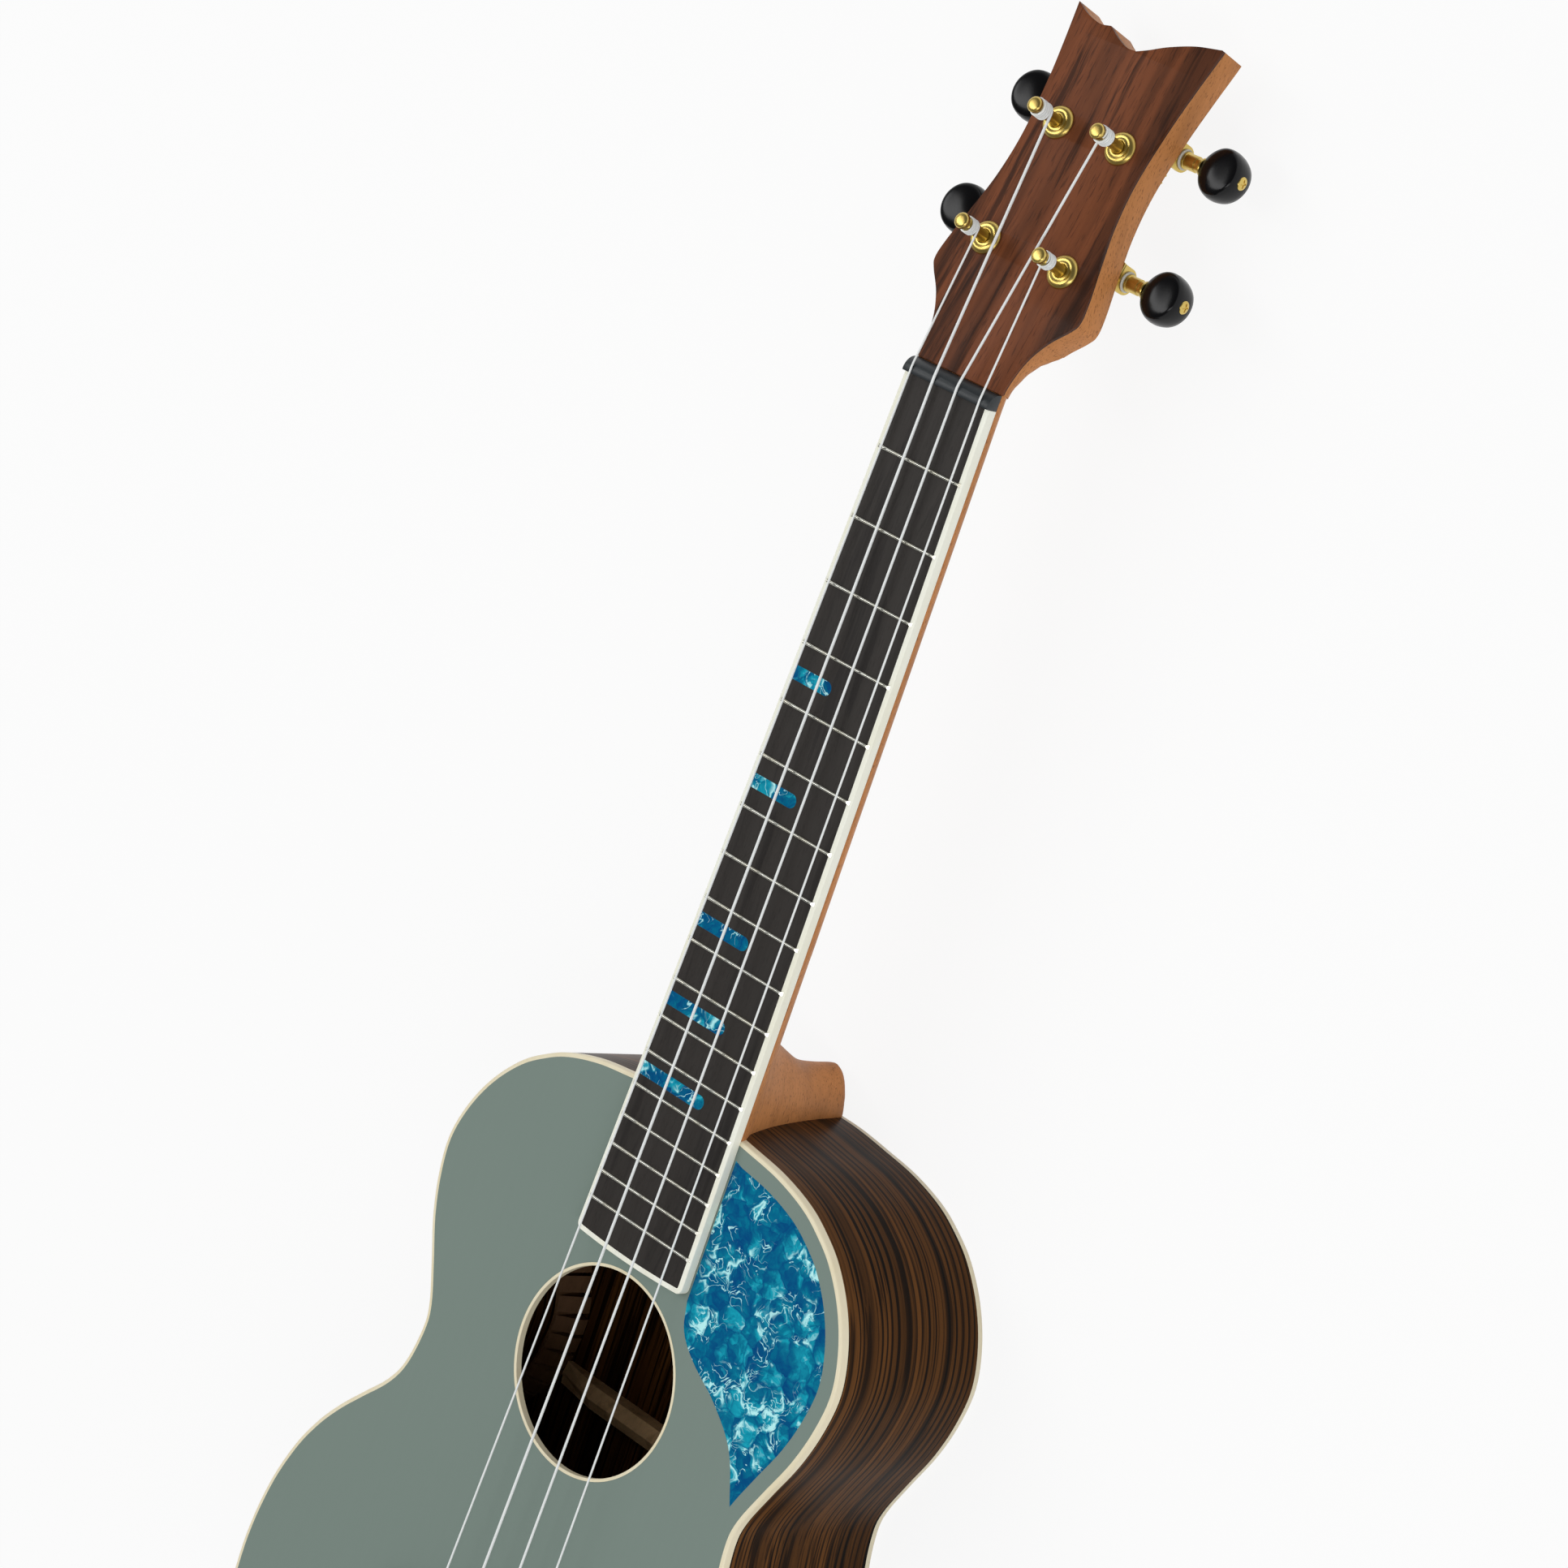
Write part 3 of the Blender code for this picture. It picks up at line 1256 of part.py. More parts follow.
def plate_shape():
    """The tuner's base plate with its two bent ears, bored for the worm's journals."""
    top = -(HEADSTOCK_THICKNESS + GAP)
    bottom = top - PLATE_THICKNESS
    outer = EAR_PLACE + EAR_THICKNESS
    tongue = PLATE_TONGUE_WIDTH / 2
    ear_low = WORM_OFFSET - EAR_RADIUS
    ear_high = WORM_OFFSET + EAR_RADIUS
    head = [
        Vector((tongue, ear_low - 2.2 * MM)),
        Vector((outer, ear_low)),
        Vector((outer, ear_high)),
        Vector((tongue, PLATE_HEAD_END)),
    ]
    tail = []
    for step in range(1, 6):
        angle = math.radians(-30 * step)
        tail.append(
            Vector(
                (
                    tongue * math.cos(angle),
                    -PLATE_TONGUE_END + tongue + tongue * math.sin(angle),
                )
            )
        )
    start = Vector((tongue, -PLATE_TONGUE_END + tongue))
    loop = [start, *head, *mirrored(head)[::-1], *mirrored([start]), *tail[::-1]]
    holes = [
        circle(POST_RADIUS + RUNNING_GAP, (0, 0), SMALL_TURN_STEPS),
        circle(PLATE_SCREW_HOLE, (0, -PLATE_TONGUE_END + 2.6 * MM), 8),
        circle(PLATE_SCREW_HOLE, (0, PLATE_HEAD_END - 2.0 * MM), 8),
    ]
    base = flat_shape("base", [loop, *holes], bottom, top)
    ear_loop = [Vector((-EAR_RADIUS, bottom + 0.5 * MM)), Vector((EAR_RADIUS, bottom + 0.5 * MM))]
    for step in range(7):
        angle = math.radians(-30 * step)
        ear_loop.append(
            Vector((EAR_RADIUS * math.cos(angle), -GEAR_LEVEL + EAR_RADIUS * math.sin(angle)))
        )
    bore = circle(SHAFT_RADIUS + RUNNING_GAP, (0, -GEAR_LEVEL), SMALL_TURN_STEPS)
    pieces = [base]
    for side in (-1, 1):
        inner, outer_face = sorted((side * EAR_PLACE, side * outer))
        ear = flat_shape("ear", [ear_loop, bore], inner, outer_face)
        ear.transform(Matrix(((0, 0, 1, 0), (1, 0, 0, 0), (0, 1, 0, 0), (0, 0, 0, 1))))
        ear.transform(Matrix.Translation((0, WORM_OFFSET, 0)))
        pieces.append(ear)
    return combined("tuner_plate", pieces)


def make_tuners(tuners):
    """Four open-gear tuners: plate, bushing, post, gear, worm and button."""
    plate = plate_shape()
    bushing = bushing_shape()
    post = post_shape()
    gear = gear_shape()
    worm = worm_shape()
    button = button_shape()
    for name, frame in tuners.items():
        add_part(f"tuner_plate_{name}", plate, GOLD, frame)
        add_part(f"bushing_{name}", bushing, GOLD, frame)
        add_part(f"post_{name}", post, GOLD, frame)
        side = math.copysign(1, POST_PLACES[name][0])
        phase = -side * math.pi / (2 * GEAR_TEETH)
        add_part(f"gear_{name}", gear, GOLD, frame, (0, 0, -GEAR_LEVEL), (0, 0, phase))
        axis = new_empty(
            f"worm_axis_{name}",
            (0, WORM_OFFSET, -GEAR_LEVEL),
            (0, side * math.pi / 2, 0),
            frame,
        )
        add_part(f"worm_{name}", worm, GOLD, axis)
        add_part(f"button_{name}", button, BUTTON_BLACK, axis)


def string_shape(name):
    """A string from its tie hole over saddle and nut to the turns on its post."""
    radius = STRING_RADII[name]
    x_nut = string_x(name, NUT_STRING_SPACING)
    x_bridge = string_x(name, BRIDGE_STRING_SPACING)
    post_x, post_along = POST_PLACES[name]
    side = math.copysign(1, post_x)
    inner = POST_RADIUS + GAP
    wrap = inner + radius + 0.05 * MM
    start_y = NUT_LENGTH * 0.45
    nut_point = Vector((x_nut, start_y, NUT_TOP + radius + STRING_SEAT))
    to_headstock = headstock_matrix()
    local_nut = to_headstock.inverted() @ nut_point
    across = Vector((post_x - local_nut.x, post_along - local_nut.y))
    distance = across.length
    swing = math.asin(wrap / distance)
    heading = math.atan2(across.y, across.x) + side * swing
    reach = math.sqrt(distance**2 - wrap**2)
    level = WINDING_START + radius
    touch = Vector(
        (
            local_nut.x + reach * math.cos(heading),
            local_nut.y + reach * math.sin(heading),
            level,
        )
    )
    saddle_point = Vector((x_bridge, SADDLE_Y, SADDLE_STRING_LEVEL + radius + STRING_SEAT))
    hole_y = SADDLE_Y - TIE_CHANNEL_OFFSET - TIE_CHANNEL / 2
    hole_level = tie_hole_level()
    end_y = SADDLE_Y + BRIDGE_FRONT - BRIDGE_LENGTH + 1 * MM
    points = [
        Vector((x_bridge, end_y, hole_level)),
        Vector((x_bridge, hole_y + 0.6 * MM, hole_level)),
        saddle_point + Vector((0, -0.7 * MM, -0.1 * MM)),
        saddle_point + Vector((0, 0.7 * MM, 0)),
        nut_point - Vector((0, 0.8 * MM, 0)),
        nut_point + Vector((0, 0.8 * MM, 0)),
        to_headstock @ touch,
    ]
    line = tube_shape(f"string_{name}", points, radius)
    outer = inner + 2 * radius + 0.1 * MM
    band = [
        (inner, WINDING_START + WINDING_HEIGHT),
        (outer, WINDING_START + WINDING_HEIGHT),
        (outer, WINDING_START),
        (inner, WINDING_START),
    ]
    turns = turned_shape("turns", band, SMALL_TURN_STEPS)
    turns.transform(to_headstock @ Matrix.Translation((post_x, post_along, 0)))
    return combined(f"string_{name}", [line, turns])


def make_strings(frame):
    for name in STRING_ORDER:
        add_part(f"string_{name}", string_shape(name), NYLON, frame)


def main():
    strings, headstock, tuners = make_frames()
    make_soundboard(strings)
    make_panel(strings)
    make_soundhole_ring(strings)
    make_back(strings)
    make_bindings(strings)
    make_sides(strings)
    make_linings(strings)
    make_blocks(strings)
    make_braces(strings)
    make_fan_braces(strings)
    make_bridge_plate(strings)
    make_bridge(strings)
    make_saddle(strings)
    make_neck(strings, headstock, tuners)
    make_fretboard(strings)
    make_fretboard_binding(strings)
    make_nut(strings)
    make_tuners(tuners)
    make_strings(strings)


clear_scene()
PARTS = new_collection("tenor_ukulele")
CUTTERS = new_collection("cutters")
PAINT = new_material("sage_paint", (0.19, 0.25, 0.22), 0.45)
ROSEWOOD = new_material("rosewood", (0.07, 0.035, 0.02), 0.35)
CREAM = new_material("cream_binding", (0.79, 0.72, 0.52), 0.35)
PEARL = new_material("blue_pearl", (0.01, 0.26, 0.42), 0.2)
SPRUCE = new_material("spruce", (0.42, 0.27, 0.13), 0.65)
MAHOGANY = new_material("mahogany", (0.4, 0.17, 0.07), 0.5)
VENEER = new_material("headstock_rosewood", (0.12, 0.04, 0.02), 0.4)
EBONY = new_material("dark_fretboard", (0.03, 0.025, 0.022), 0.55)
BONE = new_material("saddle_bone", (0.78, 0.74, 0.62), 0.4)
NUT_BLACK = new_material("nut_black", (0.012, 0.014, 0.015), 0.35)
GOLD = new_material("gold_plate", (0.75, 0.5, 0.15), 0.22, 1.0)
BUTTON_BLACK = new_material("button_black", (0.006, 0.007, 0.008), 0.12)
NYLON = new_material("nylon", (0.75, 0.8, 0.82), 0.35)
main()
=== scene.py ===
import json
import math
from contextlib import contextmanager

import bmesh
import bpy
from mathutils import Euler, Matrix, Vector


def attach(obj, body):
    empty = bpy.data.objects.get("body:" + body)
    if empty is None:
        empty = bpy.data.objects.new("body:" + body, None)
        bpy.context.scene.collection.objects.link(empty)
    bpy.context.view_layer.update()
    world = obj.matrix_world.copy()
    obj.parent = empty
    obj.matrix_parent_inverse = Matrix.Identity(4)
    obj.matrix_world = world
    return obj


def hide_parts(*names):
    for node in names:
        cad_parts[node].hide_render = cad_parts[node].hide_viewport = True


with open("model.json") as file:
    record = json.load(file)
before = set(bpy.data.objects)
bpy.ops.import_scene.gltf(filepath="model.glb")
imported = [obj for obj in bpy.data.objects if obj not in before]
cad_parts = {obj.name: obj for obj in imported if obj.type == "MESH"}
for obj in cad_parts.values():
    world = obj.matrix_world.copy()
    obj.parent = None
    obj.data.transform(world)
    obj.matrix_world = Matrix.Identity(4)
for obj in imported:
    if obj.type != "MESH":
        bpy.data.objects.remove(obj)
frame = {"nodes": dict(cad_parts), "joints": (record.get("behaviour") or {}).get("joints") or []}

bl_info = {
    "name": "Tenor Ukulele",
    "version": (1, 0, 0),
    "blender": (4, 5, 0),
    "location": "View3D > Sidebar > Ukulele",
    "description": "Builds a tenor ukulele with a painted top and a pearl shoulder panel",
    "category": "Add Mesh",
}

MM = 0.001
MERGE = 0.0005 * MM
SLIVER = 0.0001 * MM
STRIPE_PITCH = 3.4 * MM

FLOOR_REACH = 6.0
FLOOR_GLOW = 0.88
CEILING = 0.12
# The photograph's camera, in metres and degrees.
CAMERA_PLACE = (0.90069, 0.44107751, 1.1814505)
CAMERA_TURN = (1.3859266, 41.3188213, 24.21766281)
CAMERA_LENS = {
    "lens": 111.105,
    "sensor_width": 36,
    "shift_x": 0.00677,
    "shift_y": 0.0150,
    "clip_start": 0.05,
    "clip_end": 50,
}

# Each lamp's place, what it points at, and its size.
LAMPS = {
    "key": ((-0.9, 0.5, 1.9), (0, 0.1, 0), (0.5, 2.4)),
    "side": ((1.5, -0.3, 1.1), (0, 0, 0), (0.4, 1.6)),
}

# The string frame: X to the treble side, Y from body to headstock with zero at the nut's playing
# edge, Z out of the fretboard with zero on its face.
BOARD_END_WIDTH = 48.6 * MM
BOARD_OVERHANG = 54.6 * MM
BOARD_THICKNESS = 3.25 * MM
BOARD_GAP = 0.25 * MM
BOARD_END_BOW = 0.8 * MM
BOARD_CORNER = 2.4 * MM
LEAST_CORNER = 0.6 * MM
FRET_SINK = 0.1 * MM
FRET_BEVEL = 0.45
FRET_BLANK_REACH = 10 * MM
FRET_MARGIN = 0.75 * MM
MARKER_DEPTH = 0.6 * MM
MARKER_RISE = 0.02 * MM
NUT_LENGTH = 4.9 * MM
NUT_TOP = 1.55 * MM
NUT_LAND = 0.5 * MM
NUT_BACK = 0.9 * MM
NUT_ROUND = 0.18 * MM
NUT_BED = 0.12 * MM
NOTCH_ROOM = 0.08 * MM
NOTCH_DROP = 1.2 * MM
SCALE_LENGTH = 432 * MM
JOINT_FRET = 14
JOINT_LEAD = 2.3 * MM

BODY_LENGTH = 303 * MM
UPPER_BOUT = 180.6 * MM
WAIST = 146.4 * MM
LOWER_BOUT = 232 * MM
UPPER_BOUT_PLACE = 53.8 * MM
WAIST_PLACE = 115 * MM
LOWER_BOUT_PLACE = 218 * MM
TAIL_POWER = 2.35
BODY_DEPTH_NECK = 67.8 * MM
BODY_DEPTH_TAIL = 80.6 * MM
BODY_TAPER = (BODY_DEPTH_TAIL - BODY_DEPTH_NECK) / BODY_LENGTH
SOUNDBOARD_THICKNESS = 2.2 * MM
BACK_THICKNESS = 2 * MM
SIDE_THICKNESS = 2 * MM
BINDING_WIDTH = 1.4 * MM
TOP_BINDING_HEIGHT = 3.2 * MM
BACK_BINDING_HEIGHT = 2.6 * MM
BINDING_ROUND = 0.7 * MM
BOARD_ROUND = 0.35 * MM
LINING_WIDTH = 5.3 * MM
LINING_HEIGHT = 11.8 * MM
LINING_STRIP = 1 * MM
KERF = 1 * MM
NECK_BLOCK_WIDTH = 46 * MM
TAIL_BLOCK_WIDTH = 56 * MM
SOUNDHOLE_RADIUS = 34.4 * MM
SOUNDHOLE_TO_JOINT = 92.8 * MM
PANEL_MARGIN = 6.6 * MM
PANEL_INNER_MARGIN = 0.7 * MM
PANEL_THICKNESS = 0.9 * MM
PANEL_FIT = 0.02 * MM
PANEL_START = 7.3 * MM
PANEL_TIP_PLACE = 103.6 * MM

BRIDGE_WIDTH = 92 * MM
BRIDGE_LENGTH = 23 * MM
BRIDGE_WING_HEIGHT = 3.6 * MM
BRIDGE_HEIGHT = 6.6 * MM
BRIDGE_BLOCK_WIDTH = 60 * MM
BRIDGE_CORNER = 5 * MM
BRIDGE_EDGE = 0.4 * MM
BRIDGE_ROUND = 0.6 * MM
STRING_HOLE_ROOM = 0.25 * MM
BRIDGE_FRONT = 7 * MM
TIE_CHANNEL = 4.5 * MM
TIE_CHANNEL_OFFSET = 5.2 * MM
TIE_LEVEL = 1.3 * MM
SADDLE_LENGTH = 54 * MM
SADDLE_THICKNESS = 2.6 * MM
SADDLE_DEPTH = 3.2 * MM
SADDLE_LEVEL = 5.9 * MM
SADDLE_FLOOR = 0.2 * MM
SADDLE_ROUND = 0.3 * MM
SADDLE_BED = 0.02 * MM
SADDLE_COMPENSATION = 2 * MM

NECK_SHOULDER = 0.8 * MM
NECK_DEPTH_NUT = 12.5 * MM
NECK_DEPTH_HEEL = 15.5 * MM
NECK_POWER = 1.6
HEEL_WIDTH_TOP = 42.6 * MM
HEEL_REACH = 16.2 * MM
HEEL_TILT = 0.24
MELT_REACH = 60 * MM
MELT_ROUNDS = 30
MELT_END = -160 * MM
MELT_GRAIN = 0.7 * MM
MELT_OVERLAP = 4 * MM
MELT_SPARE = 2.5 * MM
MELT_TOP = 1 * MM
HEEL_OVERLAP = 2 * MM
BODY_ROOM = 6 * MM

HEADSTOCK_ANGLE = math.radians(13.8)
HEADSTOCK_DROP = 1.4 * MM
HEADSTOCK_THICKNESS = 12 * MM
VENEER_THICKNESS = 1.5 * MM
VENEER_START = 5.4 * MM
GLUE_THICKNESS = 0.25 * MM
CORE_TOP = -VENEER_THICKNESS - GLUE_THICKNESS
CORE_ROUND = 0.35 * MM
VENEER_ROUND = 0.22 * MM
HEADSTOCK_TIP = 125.4 * MM
HEADSTOCK_TIP_BASS = 123.1 * MM
HEADSTOCK_NOTCH = 115.4 * MM
HEADSTOCK_HALF_WIDTH = 28.3 * MM
HEADSTOCK_TIP_REACH = 28.6 * MM
THROAT_START = 4 * MM
THROAT_NARROW = 9 * MM
THROAT_END = 24.5 * MM
THROAT_OPENING = 0.24

POST_PLACES = {
    "g": (-16.0 * MM, 46.2 * MM),
    "c": (-12.8 * MM, 86.7 * MM),
    "e": (12.8 * MM, 86.7 * MM),
    "a": (16.0 * MM, 46.2 * MM),
}
POST_RADIUS = 2.0 * MM
POST_CAP_RADIUS = 2.52 * MM
SPIGOT_RADIUS = 1.4 * MM
SPIGOT_HEAD = 1.7 * MM
STRING_TUCK = 0.35 * MM
POST_HEIGHT = 15 * MM
BUSHING_RADIUS = 3.0 * MM
BUSHING_DEPTH = 7 * MM
FLANGE_RADIUS = 5.4 * MM
PLATE_THICKNESS = 1.0 * MM
PLATE_TONGUE_WIDTH = 9 * MM
PLATE_TONGUE_END = 11.2 * MM
PLATE_HEAD_END = 13.6 * MM
PLATE_SHOULDER = 2.2 * MM
PLATE_ROUND = 0.25 * MM
PLATE_SCREW_PLACES = (-PLATE_TONGUE_END + 2.6 * MM, PLATE_HEAD_END - 2.0 * MM)
EAR_PLACE = 8.5 * MM
EAR_THICKNESS = 1.3 * MM
EAR_RADIUS = 4.2 * MM
EAR_ROOT = 0.5 * MM
EAR_ROUND = 0.28 * MM
GEAR_TEETH = 14
GEAR_THICKNESS = 3.0 * MM
GEAR_LEVEL = 17.2 * MM
WORM_OFFSET = 7.4 * MM
WORM_PITCH_RADIUS = 2.1 * MM
WORM_TURNS = 4
TOOTH_ADDENDUM = 0.62 * MM
TOOTH_DEDENDUM = 0.8 * MM
TOOTH_CLEARANCE = 0.09 * MM
TOOTH_ROUND = 0.1 * MM
THREAD_MERGE = 0.002 * MM
THREAD_BITE = 0.02 * MM
JOURNAL_END = 0.2 * MM
CORE_END = 0.6 * MM
TOOTH_SHARES = (0.36, 0.13)
RUNNING_GAP = 0.1 * MM
SKIN_GAP = 0.05 * MM
SHAFT_RADIUS = 1.45 * MM
SLEEVE_RADIUS = 2.55 * MM
COLLAR_LENGTH = 7.2 * MM
WASHER_ROOM = 0.7 * MM
BUTTON_LENGTH = 15.4 * MM
BUTTON_WIDTH = 16.4 * MM
BUTTON_THICKNESS = 10 * MM
BUTTON_RIM = 6 * MM
BUTTON_SWELL = 0.32
BUTTON_CREASE = 0.94
BUTTON_PINCH = 0.09
SCREW_RADIUS = 2.1 * MM
SCREW_DOME = 0.55 * MM
PLATE_SCREW_DOME = 0.8 * MM
PLATE_SCREW_HOLE = 1.05 * MM

NUT_SPACING = 9.63 * MM
BRIDGE_SPACING = 14.2 * MM
WINDING_START = 7.7 * MM
WINDING_PITCH = 2.2
WINDING_GAP = 0.03 * MM
WINDING_STEPS = 28
WINDING_TUCK = 0.35

JOINT_Y = -SCALE_LENGTH * (1 - 2 ** (-JOINT_FRET / 12)) + JOINT_LEAD
BOARD_END = JOINT_Y - BOARD_OVERHANG
TOP_FACE = -(BOARD_THICKNESS + BOARD_GAP)
TOP_INNER = TOP_FACE - SOUNDBOARD_THICKNESS
SOUNDHOLE_Y = JOINT_Y - SOUNDHOLE_TO_JOINT
SADDLE_Y = -SCALE_LENGTH - SADDLE_COMPENSATION
BRIDGE_FRONT_Y = SADDLE_Y + BRIDGE_FRONT
BRIDGE_REAR_Y = BRIDGE_FRONT_Y - BRIDGE_LENGTH
CHANNEL_Y = SADDLE_Y - TIE_CHANNEL_OFFSET
HOLE_LEVEL = TOP_FACE + BRIDGE_WING_HEIGHT + TIE_LEVEL
PLATE_TOP = -(HEADSTOCK_THICKNESS + RUNNING_GAP)
PLATE_BOTTOM = PLATE_TOP - PLATE_THICKNESS
EAR_END = EAR_PLACE + EAR_THICKNESS
COLLAR_START = EAR_END + WASHER_ROOM
BUTTON_SEAT = COLLAR_START + COLLAR_LENGTH
BUTTON_END = BUTTON_SEAT + BUTTON_LENGTH
GEAR_PITCH_RADIUS = WORM_OFFSET - WORM_PITCH_RADIUS
WORM_PITCH = 2 * math.pi * GEAR_PITCH_RADIUS / GEAR_TEETH
WORM_LEAD = math.atan(WORM_PITCH / (2 * math.pi * WORM_PITCH_RADIUS))
HEADSTOCK = Matrix.Translation((0, 0, -HEADSTOCK_DROP)) @ Matrix.Rotation(-HEADSTOCK_ANGLE, 4, "X")
UPRIGHT = Matrix(((0, 0, 1, 0), (1, 0, 0, 0), (0, 1, 0, 0), (0, 0, 0, 1)))

# The body's curves, as shares of the widths and places above.
SHOULDER_CURVE = (
    (0, 0), (0.16, 0.004), (0.31, 0.032), (0.46, 0.068), (0.6, 0.136),
    (0.7, 0.222), (0.8, 0.346), (0.896, 0.537), (0.965, 0.76), (1, 1),
)
UPPER_TO_WAIST = ((0.217, 0.07), (0.436, 0.29), (0.657, 0.64), (0.86, 0.94), (1, 1))
WAIST_TO_LOWER = (
    (0.127, 0.05), (0.215, 0.16), (0.306, 0.355), (0.394, 0.54),
    (0.49, 0.7), (0.61, 0.84), (0.78, 0.955), (1, 1),
)
# The soundhole ring's section, in millimetres from the hole's edge and the top's face.
HOLE_EDGING = ((-1.0, 0.0), (-0.85, 0.12), (0.0, 0.12), (0.0, -2.3), (-1.0, -2.3))
# Where each position marker's round end lies across the board, in millimetres.
MARKER_TIPS = {5: -2.0, 7: 0.3, 10: 1.9, 12: 4.7, 14: 7.1}
# A lining block's section, as shares of its depth and height.
KERF_BLOCK = ((0, 0), (1, 0), (1, 0.22), (0.8, 0.42), (0, 1))
# The tuners' turned profiles. The ring's are (millimetres beyond the bore, height) pairs, and the
# others (share of the radius, height) pairs: the cap and its groove count from the post's top, the
# sleeve's two ends from the button and from the washer.
FLANGE_RING = ((0, 1.3), (0.3, 1.5), (0.75, 1.52), (1.15, 1.34), (1.5, 1.4))
FLANGE_DOME = ((0.76, 1.42), (0.87, 1.16), (0.95, 0.74), (0.99, 0.36), (1, 0.05))
CAP_DOME = (
    (0, 0), (0.4, -0.03), (0.7, -0.12), (0.87, -0.3), (0.96, -0.58), (1, -0.95), (1, -1.7),
    (0.95, -2.0),
)
POST_GROOVE = ((0.97, -2.3), (0.9, -2.7), (0.9, -3.1), (1, -3.3))
POST_WAIST = ((1, 7.1), (0.93, 6.3), (0.93, 2.4), (1, 1.9))
SLEEVE_SEAT = (
    (0, 0.3), (1.12, 0.3), (1.18, 0.1), (1.12, -0.4), (0.98, -0.75), (0.9, -1.0), (0.9, -2.3),
    (1, -2.45),
)
SLEEVE_FOOT = ((1, 1.3), (0.93, 1.15), (0.93, 0.95), (1.08, 0.75), (1.08, 0.15), (1, 0))
WASHER = ((1.5, 0.05), (3.2, 0.05), (3.3, 0.15), (3.3, 0.55), (3.2, 0.65), (1.5, 0.65))
# The pearl leaf's hollow side, as shares of half the upper bout and of the leaf's length.
PANEL_HOLLOW = ((0.67, 0.8542), (0.5426, 0.7577), (0.3931, 0.6834), (0.3101, 0.6178))
# The headstock's side, as shares of its half width and its length, and its crown, as shares of
# its half width and its rise above the notch.
HEADSTOCK_SIDE = (
    (0.6784, 0.1422), (0.8127, 0.2031), (0.9965, 0.2535), (1.0565, 0.2811), (1.0318, 0.3331),
    (0.9399, 0.4265), (0.8481, 0.5321), (0.8163, 0.6499), (0.8622, 0.792), (0.9258, 0.8976), (1, 1),
)
TREBLE_WAVE = ((1, 1), (0.668, 0.81), (0.36, 0.49), (0.143, 0.18), (0, 0))
INNER_SCALLOP = ((0, 0), (-0.138, 0.013), (-0.311, 0.26), (-0.456, 0.558))
OUTER_SCALLOP = ((-0.456, 0.558), (-0.611, 0.481), (-0.823, 0.675), (-1, 1))
# How square the throat's back is at a share of its length: 2 would be round.
THROAT_POWERS = (
    (-0.06, 1.6), (0.16, 1.6), (0.38, 1.8), (0.6, 2.6), (0.8, 4.6), (0.93, 12), (1, 60),
)
# The heel from top to bottom: place down it, then its reach and its width as shares.
HEEL_SECTIONS = (
    (0.0, 3.05, 1.0), (0.12, 2.54, 0.873), (0.22, 2.06, 0.775), (0.34, 1.65, 0.667),
    (0.5, 1.32, 0.554), (0.68, 1.02, 0.446), (0.86, 0.97, 0.371), (1.0, 1.0, 0.324),
)


def linear(red, green, blue):
    """A colour as the eye reads it, 0 to 255, in the linear values that Blender takes."""
    values = [value / 255 for value in (red, green, blue)]
    return tuple(v / 12.92 if v <= 0.04045 else ((v + 0.055) / 1.055) ** 2.4 for v in values)


def blended(first, second, share):
    """A colour part of the way from the first to the second."""
    return tuple(a * (1 - share) + b * share for a, b in zip(first, second))


def scaled(tone, factor, lift=0.0):
    """A colour times a factor, and no brighter than white."""
    return tuple(min(c * factor + lift, 1) for c in tone)


def length(label, note, default):
    return bpy.props.FloatProperty(
        name=label, description=note, default=default * MM, unit="LENGTH", precision=5
    )


def tint(label, note, default):
    return bpy.props.FloatVectorProperty(
        name=label, description=note, default=linear(*default), subtype="COLOR", min=0, max=1
    )


class UkuleleSizes(bpy.types.PropertyGroup):
    scale_length: length("Scale length", "Nut to the ideal saddle line", SCALE_LENGTH / MM)
    nut_width: length("Nut width", "Width of the fretboard at the nut", 35.6)
    fret_count: bpy.props.IntProperty(name="Frets", description="Number of frets", default=18)
    fret_width: length("Fret width", "Width of a fret's crown", 1.35)
    fret_height: length("Fret height", "Height of a fret's crown above the board", 0.95)
    board_binding: length("Board binding", "Width of the fretboard's binding from above", 1.75)
    marker_width: length("Marker width", "Width of a position marker along the board", 4.6)
    kerf_pitch: length("Kerf pitch", "Distance between two saw cuts in the linings", 6.5)
    string_g: length("G string", "Diameter of the first string on the bass side", 0.68)
    string_c: length("C string", "Diameter of the lowest string", 0.94)
    string_e: length("E string", "Diameter of the third string", 0.84)
    string_a: length("A string", "Diameter of the string on the treble side", 0.68)
    winding_turns: bpy.props.FloatProperty(
        name="Turns", description="Turns of each string on its post", default=4.6, min=2, max=6
    )
    screw_radius: length("Screw head", "Radius of a tuner screw's head", 1.7)


